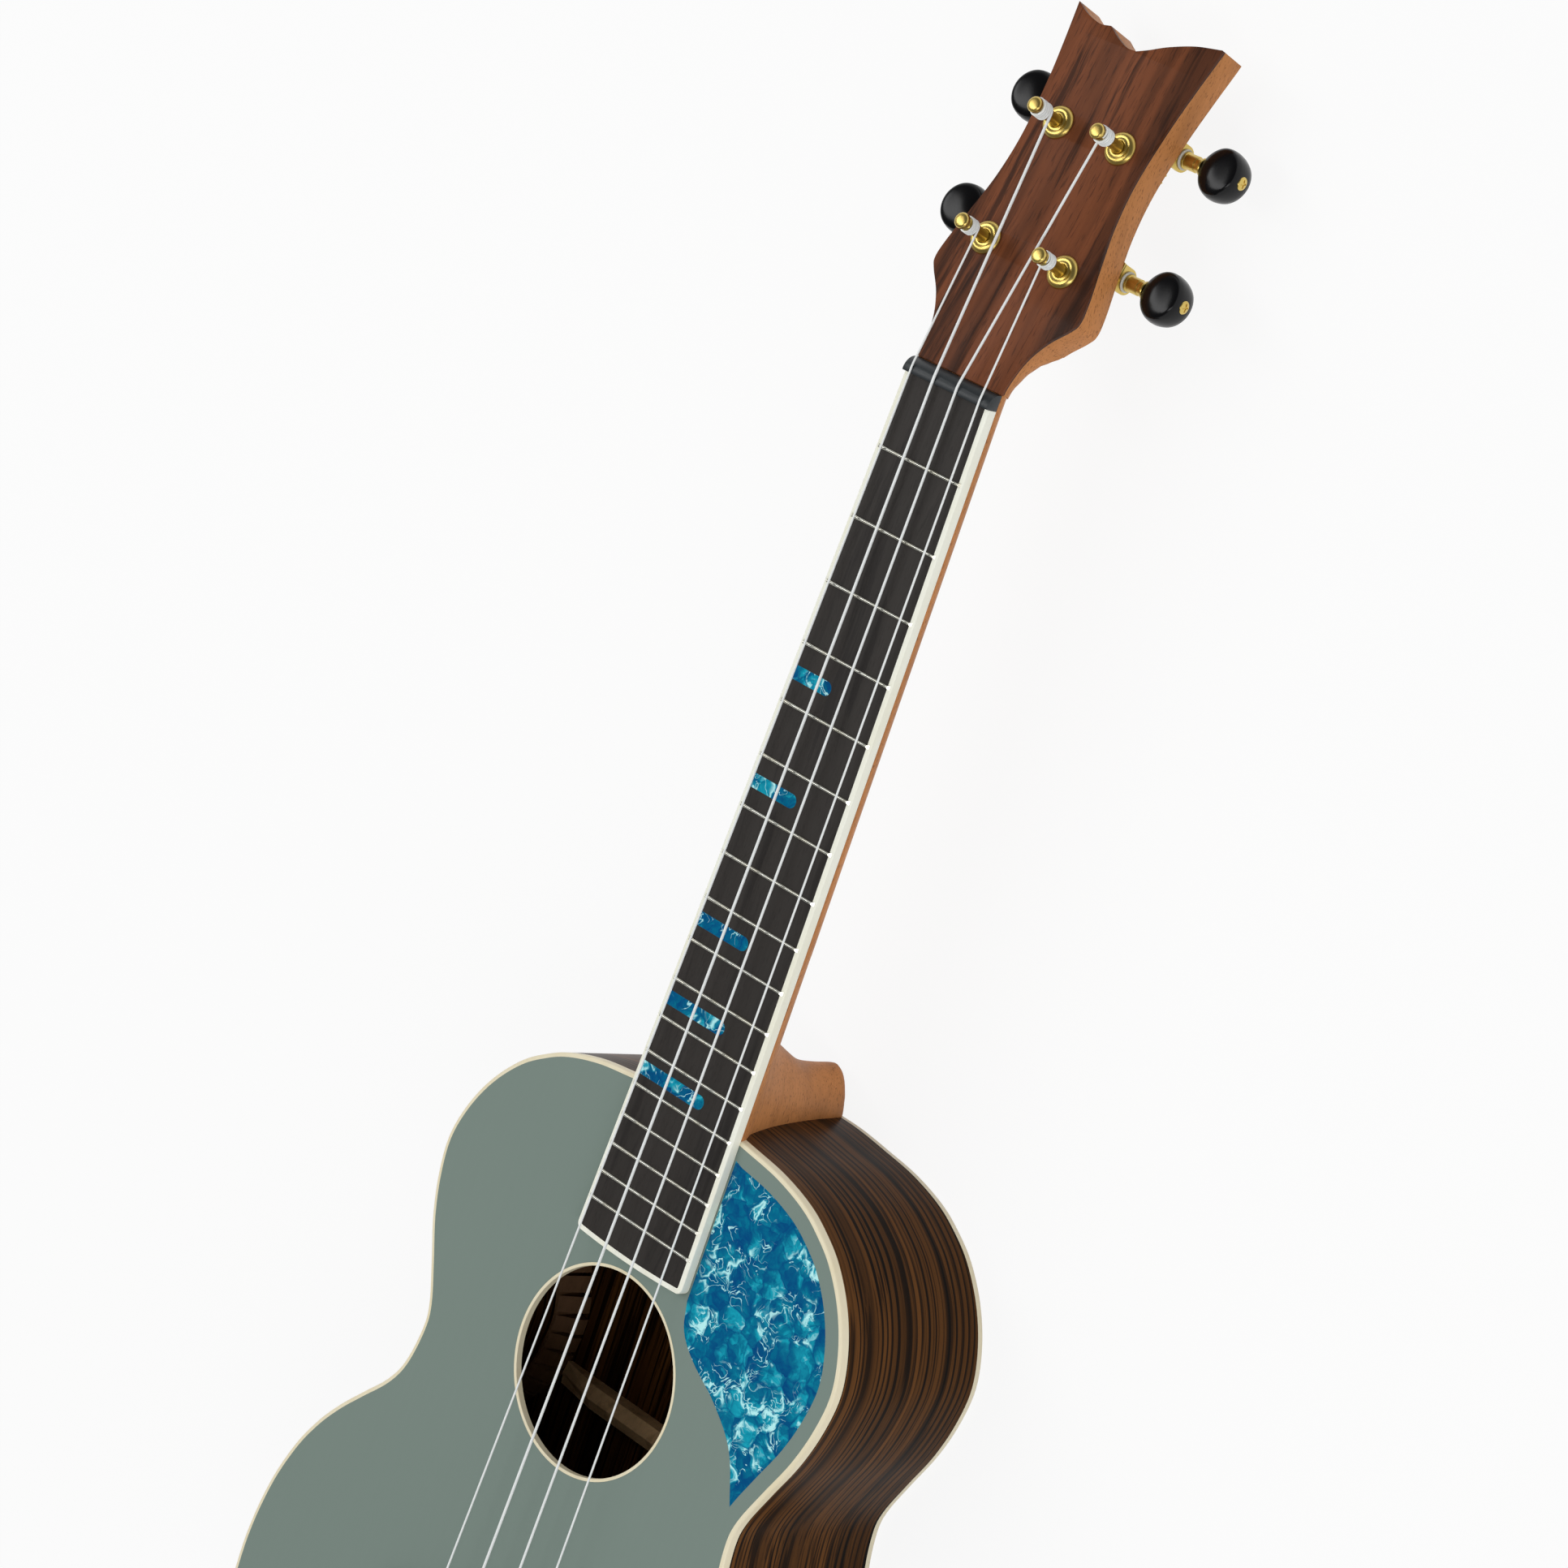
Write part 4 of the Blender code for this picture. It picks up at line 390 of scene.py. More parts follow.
class UkuleleColours(bpy.types.PropertyGroup):
    paint: tint("Top", "Satin lacquer of the soundboard", (123, 139, 131))
    cream: tint("Binding", "Cream plastic of the bindings and the soundhole ring", (238, 228, 198))
    ivory: tint("Fretboard binding", "Paler plastic along the fretboard", (250, 251, 238))
    pearl_deep: tint("Pearl, deep", "Darkest blue between the pearl flakes", (0, 72, 128))
    pearl_body: tint("Pearl, body", "Blue-green that most of the pearl shows", (0, 118, 150))
    # The last two pearl tones are painted light: the sheen of leaning flakes, and the painted
    # highlight on their edges.
    pearl_light: tint("Pearl, light", "Lighter blue-green of leaning flakes", (16, 164, 188))
    pearl_bright: tint("Pearl, bright", "Pale edge of a flake in the light", (188, 246, 248))
    side_brown: tint("Side wood", "Brown of the sides and the back", (92, 58, 27))
    side_stripe: tint("Side stripe", "Near-black stripes of the sides and the back", (9, 6, 4))
    neck_wood: tint("Neck wood", "Light reddish wood of the neck", (186, 124, 72))
    neck_pore: tint("Neck pores", "Fine dark pores of the neck", (112, 66, 36))
    face_wood: tint("Headstock face", "Red-brown veneer on the headstock", (114, 64, 38))
    face_streak: tint("Headstock streak", "Dark streaks of the veneer", (44, 26, 18))
    board_wood: tint("Fretboard", "Near-black wood of fretboard and bridge", (47, 43, 40))
    board_grain: tint("Fretboard grain", "Darkest lines of that wood", (28, 24, 23))
    brace_wood: tint("Brace wood", "Blocks and braces inside the body", (222, 184, 136))
    brace_grain: tint("Brace grain", "Darker lines of that wood", (150, 108, 66))
    # The linings' two tones are the spruce of the braces darkened: painted shade of the body's
    # inside.
    lining_wood: tint("Lining wood", "Kerfed linings inside the body", (120, 88, 60))
    lining_grain: tint("Lining grain", "Darker lines of that wood", (70, 46, 30))
    glue: tint("Glue", "Thin dark line under the headstock's veneer", (40, 27, 22))
    gold: tint("Gold", "Plating of the tuners", (214, 188, 108))
    fret_metal: tint("Frets", "Nickel silver of the frets", (206, 206, 198))
    string_white: tint("Strings", "Clear white nylon", (244, 247, 246))
    bone: tint("Saddle", "White of the saddle", (232, 226, 206))
    nut_black: tint("Nut", "Satin black of the nut", (38, 43, 46))
    washer_grey: tint("Washers", "Pale washers between ear and button", (206, 206, 200))
    button_black: tint("Buttons", "Gloss black of the buttons", (8, 8, 10))


class UkuleleStage(bpy.types.PropertyGroup):
    floor: tint("Floor", "Pale floor and backdrop", (236, 236, 236))
    key_power: bpy.props.FloatProperty(
        name="Key light", description="Power of the large soft light", default=17, unit="POWER"
    )
    side_power: bpy.props.FloatProperty(
        name="Side light", description="Power of the treble side's light", default=9, unit="POWER"
    )
    fill: bpy.props.FloatProperty(
        name="Fill", description="Strength of the even light from all round", default=0.5, min=0
    )


def both_ways(operation):
    """A Math node as two methods: one for a value on the left, one for a value on the right."""

    def left(self, other):
        return self.math(operation, self, other)

    def right(self, other):
        return self.math(operation, other, self)

    return left, right


class Value:
    """One output in a node tree. A sum written on it becomes a Math node."""

    def __init__(self, graph, socket):
        self.graph = graph
        self.socket = socket

    def other(self, name):
        """Another output of the same node."""
        return Value(self.graph, self.socket.node.outputs[name])

    def math(self, operation, first, second=0.0, clamp=False):
        settings = {"operation": operation, "use_clamp": clamp}
        return self.graph.node("ShaderNodeMath", settings, {0: first, 1: second})

    __add__, __radd__ = both_ways("ADD")
    __sub__, __rsub__ = both_ways("SUBTRACT")
    __mul__, __rmul__ = both_ways("MULTIPLY")
    __truediv__ = both_ways("DIVIDE")[0]
    __rpow__ = both_ways("POWER")[1]

    def sine(self):
        return self.math("SINE", self)

    def size(self):
        """The value without its sign."""
        return self.math("ABSOLUTE", self)

    def clamped(self):
        return self.math("ADD", self, 0.0, True)

    def between(self, low, high):
        """0 below low and 1 above high, with a smooth step from one to the other."""
        settings = {"interpolation_type": "SMOOTHSTEP"}
        inputs = {"Value": self, "From Min": low, "From Max": high}
        return self.graph.node("ShaderNodeMapRange", settings, inputs)


class Graph:
    """A node tree that is being filled."""

    def __init__(self, tree):
        self.tree = tree

    def node(self, kind, settings=None, inputs=None, output=0):
        """Adds a node: its settings first, then a value or a link for each named socket."""
        node = self.tree.nodes.new(kind)
        for name, setting in (settings or {}).items():
            if name == "stops":
                self.set_stops(node.color_ramp, setting)
            else:
                setattr(node, name, setting)
        for name, value in (inputs or {}).items():
            for item in value if isinstance(value, list) else [value]:
                if isinstance(item, Value):
                    self.tree.links.new(item.socket, node.inputs[name])
                else:
                    node.inputs[name].default_value = item
        return Value(self, node.outputs[output]) if node.outputs else node

    def set_stops(self, ramp, stops):
        ramp.elements[0].position = stops[0][0]
        ramp.elements[1].position = stops[-1][0]
        for place, _ in stops[1:-1]:
            ramp.elements.new(place)
        for element, (_, colour) in zip(ramp.elements, stops):
            element.color = (*colour, 1)


class Finish(Graph):
    """The node tree of one material, from its coordinates to its shader."""

    def __init__(self, name):
        self.material = bpy.data.materials.new(f"{name}_finish")
        self.material.use_nodes = True
        self.shader = self.material.node_tree.nodes["Principled BSDF"]
        super().__init__(self.material.node_tree)

    def place(self, scale=(1, 1, 1), turn=0.0, source="Object"):
        """Coordinates on the piece, tipped about X and then stretched."""
        spot = self.node("ShaderNodeTexCoord").other(source)
        if turn:
            settings = {"vector_type": "POINT"}
            spot = self.node("ShaderNodeMapping", settings, {0: spot, "Rotation": (turn, 0, 0)})
        return self.vector("MULTIPLY", spot, scale)

    def vector(self, operation, first, second=(0, 0, 0), output=0):
        settings = {"operation": operation}
        return self.node("ShaderNodeVectorMath", settings, {0: first, 1: second}, output)

    def noise(self, spot, scale, detail=2.0, roughness=0.5, distortion=0.0):
        inputs = {
            "Vector": spot,
            "Scale": scale,
            "Detail": detail,
            "Roughness": roughness,
            "Distortion": distortion,
        }
        return self.node("ShaderNodeTexNoise", None, inputs)

    def cells(self, spot, scale, feature="F1"):
        inputs = {"Vector": spot, "Scale": scale}
        return self.node("ShaderNodeTexVoronoi", {"feature": feature}, inputs)

    def mix(self, factor, first, second, blend="MIX"):
        settings = {"data_type": "RGBA", "blend_type": blend}
        first, second = (self.colour(item) for item in (first, second))
        return self.node("ShaderNodeMix", settings, {0: factor, 6: first, 7: second}, 2)

    def colour(self, item):
        return item if isinstance(item, Value) else (*item[:3], 1.0)

    def ramp(self, value, stops):
        return self.node("ShaderNodeValToRGB", {"stops": stops}, {0: value})

    def bump(self, height, strength, distance):
        inputs = {"Height": height, "Strength": strength, "Distance": distance}
        return self.node("ShaderNodeBump", None, inputs)

    def shade(self, **inputs):
        """Sets or links the shader's sockets. Underscores in a name stand for spaces."""
        for name, value in inputs.items():
            socket = self.shader.inputs[name.replace("_", " ")]
            if isinstance(value, Value):
                self.tree.links.new(value.socket, socket)
            elif hasattr(value, "__len__"):
                socket.default_value = (*value, 1.0)
            else:
                socket.default_value = value
        return self.material


def sizes():
    return bpy.context.scene.ukulele_sizes


def colours():
    return bpy.context.scene.ukulele_colours


def half_nut():
    return sizes().nut_width / 2


def string_frame():
    """The string frame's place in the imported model, found from the treble tuner's post."""
    joint = next(joint for joint in frame["joints"] if joint["name"] == "post_a_spin")
    tilt = math.atan2(joint["axis"][1], joint["axis"][2])
    turned = Matrix.Rotation(-tilt, 4, "X")
    x, along = POST_PLACES["a"]
    head = Matrix.Translation(joint["pos_m"]) @ turned @ Matrix.Translation((-x, -along, 0))
    return head @ HEADSTOCK.inverted()


STRING_FRAME = string_frame()
BOARD_TILT = -STRING_FRAME.to_euler().x
FACE_TILT = BOARD_TILT + HEADSTOCK_ANGLE


def loose_object(name, data):
    obj = bpy.data.objects.new(name, data)
    bpy.context.scene.collection.objects.link(obj)
    return obj


def evaluated_mesh(obj, name):
    """The object's shape with its modifiers worked in. The object itself goes."""
    bpy.context.view_layer.update()
    graph = bpy.context.evaluated_depsgraph_get()
    mesh = bpy.data.meshes.new_from_object(obj.evaluated_get(graph))
    mesh.name = name
    bpy.data.objects.remove(obj, do_unlink=True)
    return mesh


@contextmanager
def editing(mesh):
    """The mesh as a bmesh, written back at the end."""
    shape = bmesh.new()
    shape.from_mesh(mesh)
    yield shape
    shape.to_mesh(mesh)
    shape.free()


def cleaned(mesh, slivers=False):
    """The mesh with its doubles merged and its faces outwards, and without slivers if asked."""
    with editing(mesh) as shape:
        bmesh.ops.remove_doubles(shape, verts=shape.verts, dist=MERGE)
        if slivers:
            bmesh.ops.dissolve_degenerate(shape, edges=shape.edges, dist=SLIVER)
        bmesh.ops.recalc_face_normals(shape, faces=shape.faces)
    return mesh


def poly_curve(name, lines, closed=False, **settings):
    """A curve with a straight-sided spline through each line of points."""
    curve = bpy.data.curves.new(name, "CURVE")
    for key, value in settings.items():
        setattr(curve, key, value)
    for line in lines:
        spline = curve.splines.new("POLY")
        spline.points.add(len(line) - 1)
        for point, place in zip(spline.points, line):
            point.co = (*Vector(place).to_3d(), 1)
        spline.use_cyclic_u = closed
    return curve


def flat_shape(name, loops, bottom, top):
    """A flat outline with holes, filled and raised between two heights or sloping heights."""
    curve = poly_curve(name, loops, True, dimensions="2D", fill_mode="BOTH", extrude=1 * MM)
    mesh = cleaned(evaluated_mesh(loose_object(name, curve), name))
    for vertex in mesh.vertices:
        height = top if vertex.co.z > 0 else bottom
        vertex.co.z = height(vertex.co.y) if callable(height) else height
    return mesh


def quads(rows, count, closed, rings):
    """The faces between neighbouring rows of points, where each row is a ring or a line."""
    faces = []
    for i in range(rows if closed else rows - 1):
        first, second = i * count, (i + 1) % rows * count
        for j in range(count if rings else count - 1):
            k = (j + 1) % count
            faces.append((first + j, first + k, second + k, second + j))
    return faces


def swept(name, rings, closed=False):
    """A skin through rings of equally many points, in a loop or with flat ends."""
    mesh = bpy.data.meshes.new(name)
    count = len(rings[0])
    points = [tuple(point) for ring in rings for point in ring]
    faces = quads(len(rings), count, closed, True)
    if not closed:
        faces.append(tuple(range(count)))
        faces.append(tuple(range(len(points) - count, len(points))))
    mesh.from_pydata(points, [], faces)
    return cleaned(mesh)


def turned(name, profile, steps=48):
    """A profile of (radius, height) pairs turned round the Z axis."""
    lines = []
    for step in range(steps):
        angle = 2 * math.pi * step / steps
        lines.append([(r * math.cos(angle), r * math.sin(angle), z) for r, z in profile])
    if profile[0][0] > 0:
        return swept(name, lines, closed=True)
    mesh = bpy.data.meshes.new(name)
    points = [point for line in lines for point in line]
    mesh.from_pydata(points, [], quads(steps, len(profile), True, False))
    return cleaned(mesh, slivers=True)


def box_shape(name, low, high):
    corners = [(low[0], low[1]), (high[0], low[1]), (high[0], high[1]), (low[0], high[1])]
    return swept(name, [[(x, y, z) for x, y in corners] for z in (low[2], high[2])])


def tube(name, points, radius, sides=3):
    """A round string along a line of points, closed at its ends."""
    curve = poly_curve(
        name,
        [points],
        dimensions="3D",
        bevel_depth=radius,
        bevel_resolution=sides,
        use_fill_caps=True,
    )
    return cleaned(evaluated_mesh(loose_object(name, curve), name))


def modified(mesh, *changes):
    """The mesh after a row of modifiers, each a type with its settings."""
    obj = loose_object(mesh.name, mesh)
    for kind, settings in changes:
        modifier = obj.modifiers.new(kind.lower(), kind)
        for name, value in settings.items():
            setattr(modifier, name, value)
    return evaluated_mesh(obj, mesh.name)


def softened(mesh, width, segments=2, angle=32):
    """The mesh with its sharp edges rounded."""
    settings = {
        "width": width,
        "segments": segments,
        "limit_method": "ANGLE",
        "angle_limit": math.radians(angle),
        "harden_normals": False,
    }
    return modified(mesh, ("BEVEL", settings))


def boolean(name, meshes, operation="UNION"):
    """The first mesh with all the others joined to it, or cut from it."""
    others = [loose_object(f"{name}_{i}", mesh) for i, mesh in enumerate(meshes[1:])]
    changes = []
    for other in others:
        changes.append(("BOOLEAN", {"operation": operation, "solver": "EXACT", "object": other}))
    mesh = modified(meshes[0], *changes)
    for other in others:
        bpy.data.objects.remove(other, do_unlink=True)
    mesh.name = name
    return cleaned(mesh)


def gathered(name, meshes):
    """Several meshes as one, each keeping its own skin."""
    shape = bmesh.new()
    for mesh in meshes:
        shape.from_mesh(mesh)
    whole = bpy.data.meshes.new(name)
    shape.to_mesh(whole)
    shape.free()
    return whole


def moved(mesh, matrix):
    """A copy of the mesh in another place, with its faces still outwards."""
    copy = mesh.copy()
    copy.transform(matrix)
    if matrix.determinant() < 0:
        copy.flip_normals()
    return copy


def mirrored_mesh(mesh):
    return moved(mesh, Matrix.Scale(-1, 4, (1, 0, 0)))


def node_group(name, **inputs):
    """A geometry node group that takes a part, a material and the named inputs."""
    tree = bpy.data.node_groups.new(name, "GeometryNodeTree")
    sockets = {"Geometry": "Geometry", **inputs, "Part": "Object", "Material": "Material"}
    for label, kind in sockets.items():
        tree.interface.new_socket(label, in_out="INPUT", socket_type="NodeSocket" + kind)
    tree.interface.new_socket("Geometry", in_out="OUTPUT", socket_type="NodeSocketGeometry")
    graph = Graph(tree)
    return graph, graph.node("NodeGroupInput")


def close_group(graph, group, points, **place):
    """Ends a group: the part on every point, as real geometry with its material."""
    part = graph.node("GeometryNodeObjectInfo", None, {"Object": group.other("Part")})
    inputs = {"Points": points, "Instance": part.other("Geometry"), **place}
    copies = graph.node("GeometryNodeInstanceOnPoints", None, inputs)
    real = graph.node("GeometryNodeRealizeInstances", None, {"Geometry": copies})
    inputs = {"Geometry": real, "Material": group.other("Material")}
    result = graph.node("GeometryNodeSetMaterial", None, inputs)
    graph.node("NodeGroupOutput", None, {"Geometry": result})
    return graph.tree


def grown(name, tree, data, part, finish, **values):
    """What a node group makes of a curve or mesh and one part, as a plain mesh."""
    obj, blank = loose_object(name, data), loose_object(part.name, part)
    modifier = obj.modifiers.new(tree.name, "NODES")
    modifier.node_group = tree
    values.update(Part=blank, Material=finish_of(finish))
    for item in tree.interface.items_tree:
        if item.in_out == "INPUT" and item.name in values:
            modifier[item.identifier] = values[item.name]
    mesh = evaluated_mesh(obj, name)
    bpy.data.objects.remove(blank, do_unlink=True)
    return mesh


def add_piece(name, mesh, finish, node=None, body="instrument", crease=34, place=None):
    """Puts a finished piece on its body. A place other than the string frame's can be given."""
    mesh.transform(STRING_FRAME if place is None else place)
    if not any(mesh.materials):
        mesh.materials.clear()
        mesh.materials.append(finish_of(finish))
    mesh.shade_smooth()
    mesh.set_sharp_from_angle(angle=math.radians(crease))
    obj = loose_object(name, mesh)
    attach(obj, body)
    if node:
        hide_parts(node)


def smooth_line(points, steps):
    """Catmull-Rom curve through the points, each span cut into a number of steps."""
    points = [Vector(point) for point in points]
    ends = [2 * points[0] - points[1], *points, 2 * points[-1] - points[-2]]
    line = []
    for i in range(1, len(ends) - 2):
        a, b, c, d = ends[i - 1 : i + 3]
        for step in range(steps):
            t = step / steps
            line.append(
                0.5 * (2 * b + (c - a) * t + (2 * a - 5 * b + 4 * c - d) * t**2)
                + 0.5 * (3 * b - a - 3 * c + d) * t**3
            )
    line.append(points[-1])
    return line


def mirrored(points):
    return [Vector((-point.x, point.y)) for point in points]


def circle(radius, centre, steps=64):
    turn = 2 * math.pi / steps
    angles = [i * turn for i in range(steps)]
    return [
        Vector((centre[0] + radius * math.cos(a), centre[1] + radius * math.sin(a))) for a in angles
    ]


def fret_place(number):
    return sizes().scale_length * (1 - 2 ** (-number / 12))


def back_plane(y, offset=0.0):
    """Height of the back's outer face, plus an offset into the body."""
    return TOP_FACE - BODY_DEPTH_NECK - BODY_TAPER * (JOINT_Y - y) + offset


def back_at(offset):
    return lambda y: back_plane(y, offset)


def board_half_width(y):
    """Half the fretboard's width, binding and all, at a place along it."""
    share = min(y / BOARD_END, 1.0)
    return half_nut() + (BOARD_END_WIDTH / 2 - half_nut()) * share


def body_half_outline():
    upper, waist, lower = UPPER_BOUT / 2, WAIST / 2, LOWER_BOUT / 2
    points = [Vector((upper * x, UPPER_BOUT_PLACE * down)) for x, down in SHOULDER_CURVE]
    for share, drop in UPPER_TO_WAIST:
        y = UPPER_BOUT_PLACE + (WAIST_PLACE - UPPER_BOUT_PLACE) * share
        points.append(Vector((upper + (waist - upper) * drop, y)))
    for share, rise in WAIST_TO_LOWER:
        y = WAIST_PLACE + (LOWER_BOUT_PLACE - WAIST_PLACE) * share
        points.append(Vector((waist + (lower - waist) * rise, y)))
    for angle in (14, 28, 42, 56, 70, 90):
        along = math.cos(math.radians(angle)) ** (2 / TAIL_POWER) if angle < 90 else 0
        down = math.sin(math.radians(angle)) ** (2 / TAIL_POWER)
        y = LOWER_BOUT_PLACE + (BODY_LENGTH - LOWER_BOUT_PLACE) * down
        points.append(Vector((lower * along, y)))
    return smooth_line(points, 6)


BODY_HALF = [Vector((x, JOINT_Y - down)) for x, down in body_half_outline()]


def body_outline(inset=0.0):
    """The treble half of the body's outline from neck to tail, moved inwards by an inset."""
    half = BODY_HALF
    line = []
    for i, point in enumerate(half):
        before = half[i - 1] if i > 0 else Vector((-half[1].x, half[1].y))
        after = half[i + 1] if i < len(half) - 1 else Vector((-half[-2].x, half[-2].y))
        along = (after - before).normalized()
        line.append(point + inset * Vector((along.y, -along.x)))
    return line


def whole_outline(inset=0.0):
    half = body_outline(inset)
    return half + mirrored(half)[-2:0:-1]


def outline_half_width(y, inset=0.0):
    half = body_outline(inset)
    widest = 0.0
    for first, second in zip(half, half[1:]):
        low, high = sorted((first.y, second.y))
        if low <= y <= high and high > low:
            share = (y - first.y) / (second.y - first.y)
            widest = max(widest, first.x + (second.x - first.x) * share)
    return widest


def panel_outline(inset=0.0):
    """The leaf on the treble shoulder, between the fretboard and the body's edge."""
    tip_y = JOINT_Y - PANEL_TIP_PLACE
    tip = Vector((outline_half_width(tip_y, PANEL_MARGIN), tip_y))
    start_y = JOINT_Y - PANEL_START
    start = Vector((board_half_width(start_y) + PANEL_INNER_MARGIN, start_y))
    corner = Vector((board_half_width(BOARD_END) + PANEL_INNER_MARGIN, BOARD_END - 0.5 * MM))
    outer = [
        point
        for point in body_outline(PANEL_MARGIN)
        if point.x > start.x + 2 * MM and start_y - 0.1 * MM > point.y > tip_y + 2 * MM
    ]
    hollow = [tip]
    for across, down in PANEL_HOLLOW:
        hollow.append(Vector((UPPER_BOUT / 2 * across, JOINT_Y - PANEL_TIP_PLACE * down)))
    loop = [start, *outer, *smooth_line([*hollow, corner], 6)]
    return drawn_in(loop, inset) if inset else loop


def drawn_in(loop, inset):
    """A closed clockwise loop with each corner moved inwards."""
    line = []
    for i, point in enumerate(loop):
        before = (point - loop[i - 1]).normalized()
        after = (loop[(i + 1) % len(loop)] - point).normalized()
        normal = (Vector((before.y, -before.x)) + Vector((after.y, -after.x))).normalized()
        line.append(point + inset / max(normal.dot(Vector((after.y, -after.x))), 0.35) * normal)
    return line


def board_edge(inset=0.0):
    """The fretboard's edge round its end, from the treble side of the nut to the bass side."""
    corner_y = BOARD_END + BOARD_END_BOW
    half = board_half_width(corner_y)
    points = []
    for step in range(9):
        y = JOINT_Y * step / 8 - (RUNNING_GAP if step == 0 else 0)
        points.append(Vector((board_half_width(y) - inset, y)))
    radius = max(BOARD_CORNER - inset, LEAST_CORNER)
    centre = Vector((half - inset - radius, corner_y + inset + radius))
    for step in range(7):
        angle = math.radians(-15 * step)
        points.append(centre + radius * Vector((math.cos(angle), math.sin(angle))))
    start = points[-1]
    for step in range(1, 9):
        share = 1 - step / 8
        y = BOARD_END + inset + (start.y - BOARD_END - inset) * share**2
        points.append(Vector((start.x * share, y)))
    return points + mirrored(points)[-2::-1]


def rounded_edge(inset, bottom, top, radius, steps=5):
    """A band's section, from its inner foot over a rounded outer edge: (inset, height) pairs."""
    section = [(inset, bottom), (inset, top)]
    for step in range(steps + 1):
        angle = math.pi / 2 * step / steps
        section.append((radius - radius * math.sin(angle), top - radius + radius * math.cos(angle)))
    section.append((0.0, bottom))
    return section


def band(name, outline, section, closed, back=False):
    """A section carried round an outline. On the back, its heights count from the back plane."""
    lines = [outline(inset) for inset, _ in section]
    rings = []
    for i in range(len(lines[0])):
        ring = []
        for line, (_, height) in zip(lines, section):
            point = line[i]
            ring.append((point.x, point.y, back_plane(point.y, height) if back else height))
        rings.append(ring)
    return swept(name, rings, closed)


def painted_top(name):
    """Satin lacquer over a fine-grained top: an even colour with the faintest grain and haze."""
    finish = Finish(name)
    tone = colours().paint
    spot = finish.place((1, 0.08, 1))
    haze = finish.noise(finish.place(), 9)
    grain = finish.noise(spot, 520, 3, 0.6)
    shade = (haze - 0.5) * 0.1 + (grain - 0.5) * 0.07 + 0.5
    base = finish.mix(shade.clamped(), scaled(tone, 0.82), scaled(tone, 1.18))
    skin = finish.noise(finish.place(), 900)
    normal = finish.bump(skin * 0.5 + grain * 0.5, 0.06, 0.05 * MM)
    return finish.shade(
        Base_Color=base, Roughness=0.36 + haze * 0.1, Normal=normal, Specular_IOR_Level=0.35
    )


def cream_plastic(name, tone):
    """Cream celluloid with faint grain along its length and a soft shine."""
    finish = Finish(name)
    cloud = finish.noise(finish.place((1, 0.3, 1)), 120, 3, 0.55)
    fine = finish.noise(finish.place(), 1500)
    warm = (tone[0] * 0.93, tone[1] * 0.89, tone[2] * 0.78)
    base = finish.mix(cloud.between(0.35, 0.75) * 0.5, tone, warm)
    normal = finish.bump(fine, 0.05, 0.03 * MM)
    return finish.shade(Base_Color=base, Roughness=0.3 + cloud * 0.14, Normal=normal)


def crushed_pearl(name):
    """Pearl flakes set in blue: each leans its own way, and its sheen and highlights are painted
    in.
    """
    finish = Finish(name)
    tones = colours()
    deep, body = tones.pearl_deep, tones.pearl_body
    light, highlight_tone = tones.pearl_light, tones.pearl_bright
    spot = finish.place((1, 1, 0.5))
    bend = finish.noise(spot, 110, 3).other("Color")
    bend = finish.vector("SUBTRACT", bend, (0.5, 0.5, 0.5))
    spot = finish.vector("ADD", spot, finish.vector("MULTIPLY", bend, (0.0075, 0.0075, 0.0)))
    # Each flake's sheen is painted light: a band of brightness across the flake, set by the way it
    # leans.
    sheens = []
    ridges = []
    for scale, swing in ((125.0, 2.4), (270.0, 2.2)):
        flake = finish.cells(spot, scale)
        lean = finish.vector("SUBTRACT", flake.other("Color"), (0.5, 0.5, 0.5))
        across = finish.vector("SUBTRACT", spot, flake.other("Position"))
        local = finish.vector("MULTIPLY", across, (scale, scale, 0))
        slope = finish.vector("DOT_PRODUCT", local, lean, 1) * swing
        parts = finish.node("ShaderNodeSeparateColor", None, {0: flake.other("Color")})
        ripple = finish.noise(spot, scale * 1.5, 3, 0.55, 1.4)
        sheens.append((slope * 2.6 + parts * 6.0 + ripple * 4.4).sine() * 0.5 + 0.5)
        ridges.append(finish.cells(spot, scale, "DISTANCE_TO_EDGE"))
    crease = 1 - ridges[0].between(0.0, 0.07)
    small_crease = 1 - ridges[1].between(0.0, 0.06)
    # rim: a painted highlight along each flake's edge, next to the dark gap between flakes.
    rim = ridges[0].between(0.05, 0.09) * (1 - ridges[0].between(0.1, 0.2))
    patch = finish.noise(spot, 45)
    # The level mixes the painted sheen with a random patchy tone, and the ramp below turns it into
    # colour.
    level = sheens[0] * 0.6 + sheens[1] * 0.26 + (patch - 0.5) * 0.5 + 0.06
    stops = [
        (0.0, deep),
        (0.24, blended(deep, body, 0.5)),
        (0.5, body),
        (0.78, light),
        (0.93, blended(light, highlight_tone, 0.25)),
        (1.0, highlight_tone),
    ]
    base = finish.ramp(level.clamped(), stops)
    base = finish.mix((crease * 0.5 + small_crease * 0.18).clamped(), base, deep)
    fold = finish.noise(spot, 150, 2, 0.5, 1.6)
    # Thin painted highlights along curved crinkles.
    crinkle_highlight = 1 - (fold - 0.5).size().between(0.004, 0.02)
    groove = 1 - (fold - 0.42).size().between(0.004, 0.018)
    base = finish.mix(groove * 0.35, base, deep)
    # lit: the patches where the painted highlights show.
    lit = finish.noise(spot, 95).between(0.48, 0.56)
    highlight_stroke = (rim * sheens[0].between(0.4, 0.9) + crinkle_highlight) * lit
    glint = sheens[0].between(0.9, 1.0) * sheens[1].between(0.5, 0.9) * patch.between(0.42, 0.6)
    # The painted highlights and glints go into the base colour as the pale highlight tone.
    base = finish.mix((highlight_stroke * 0.9 + glint * 0.95).clamped(), base, highlight_tone)
    normal = finish.bump(sheens[0], 0.04, 0.1 * MM)
    return finish.shade(
        Base_Color=base,
        Roughness=0.2 + sheens[0] * 0.12,
        Normal=normal,
        Specular_IOR_Level=0.12,
    )


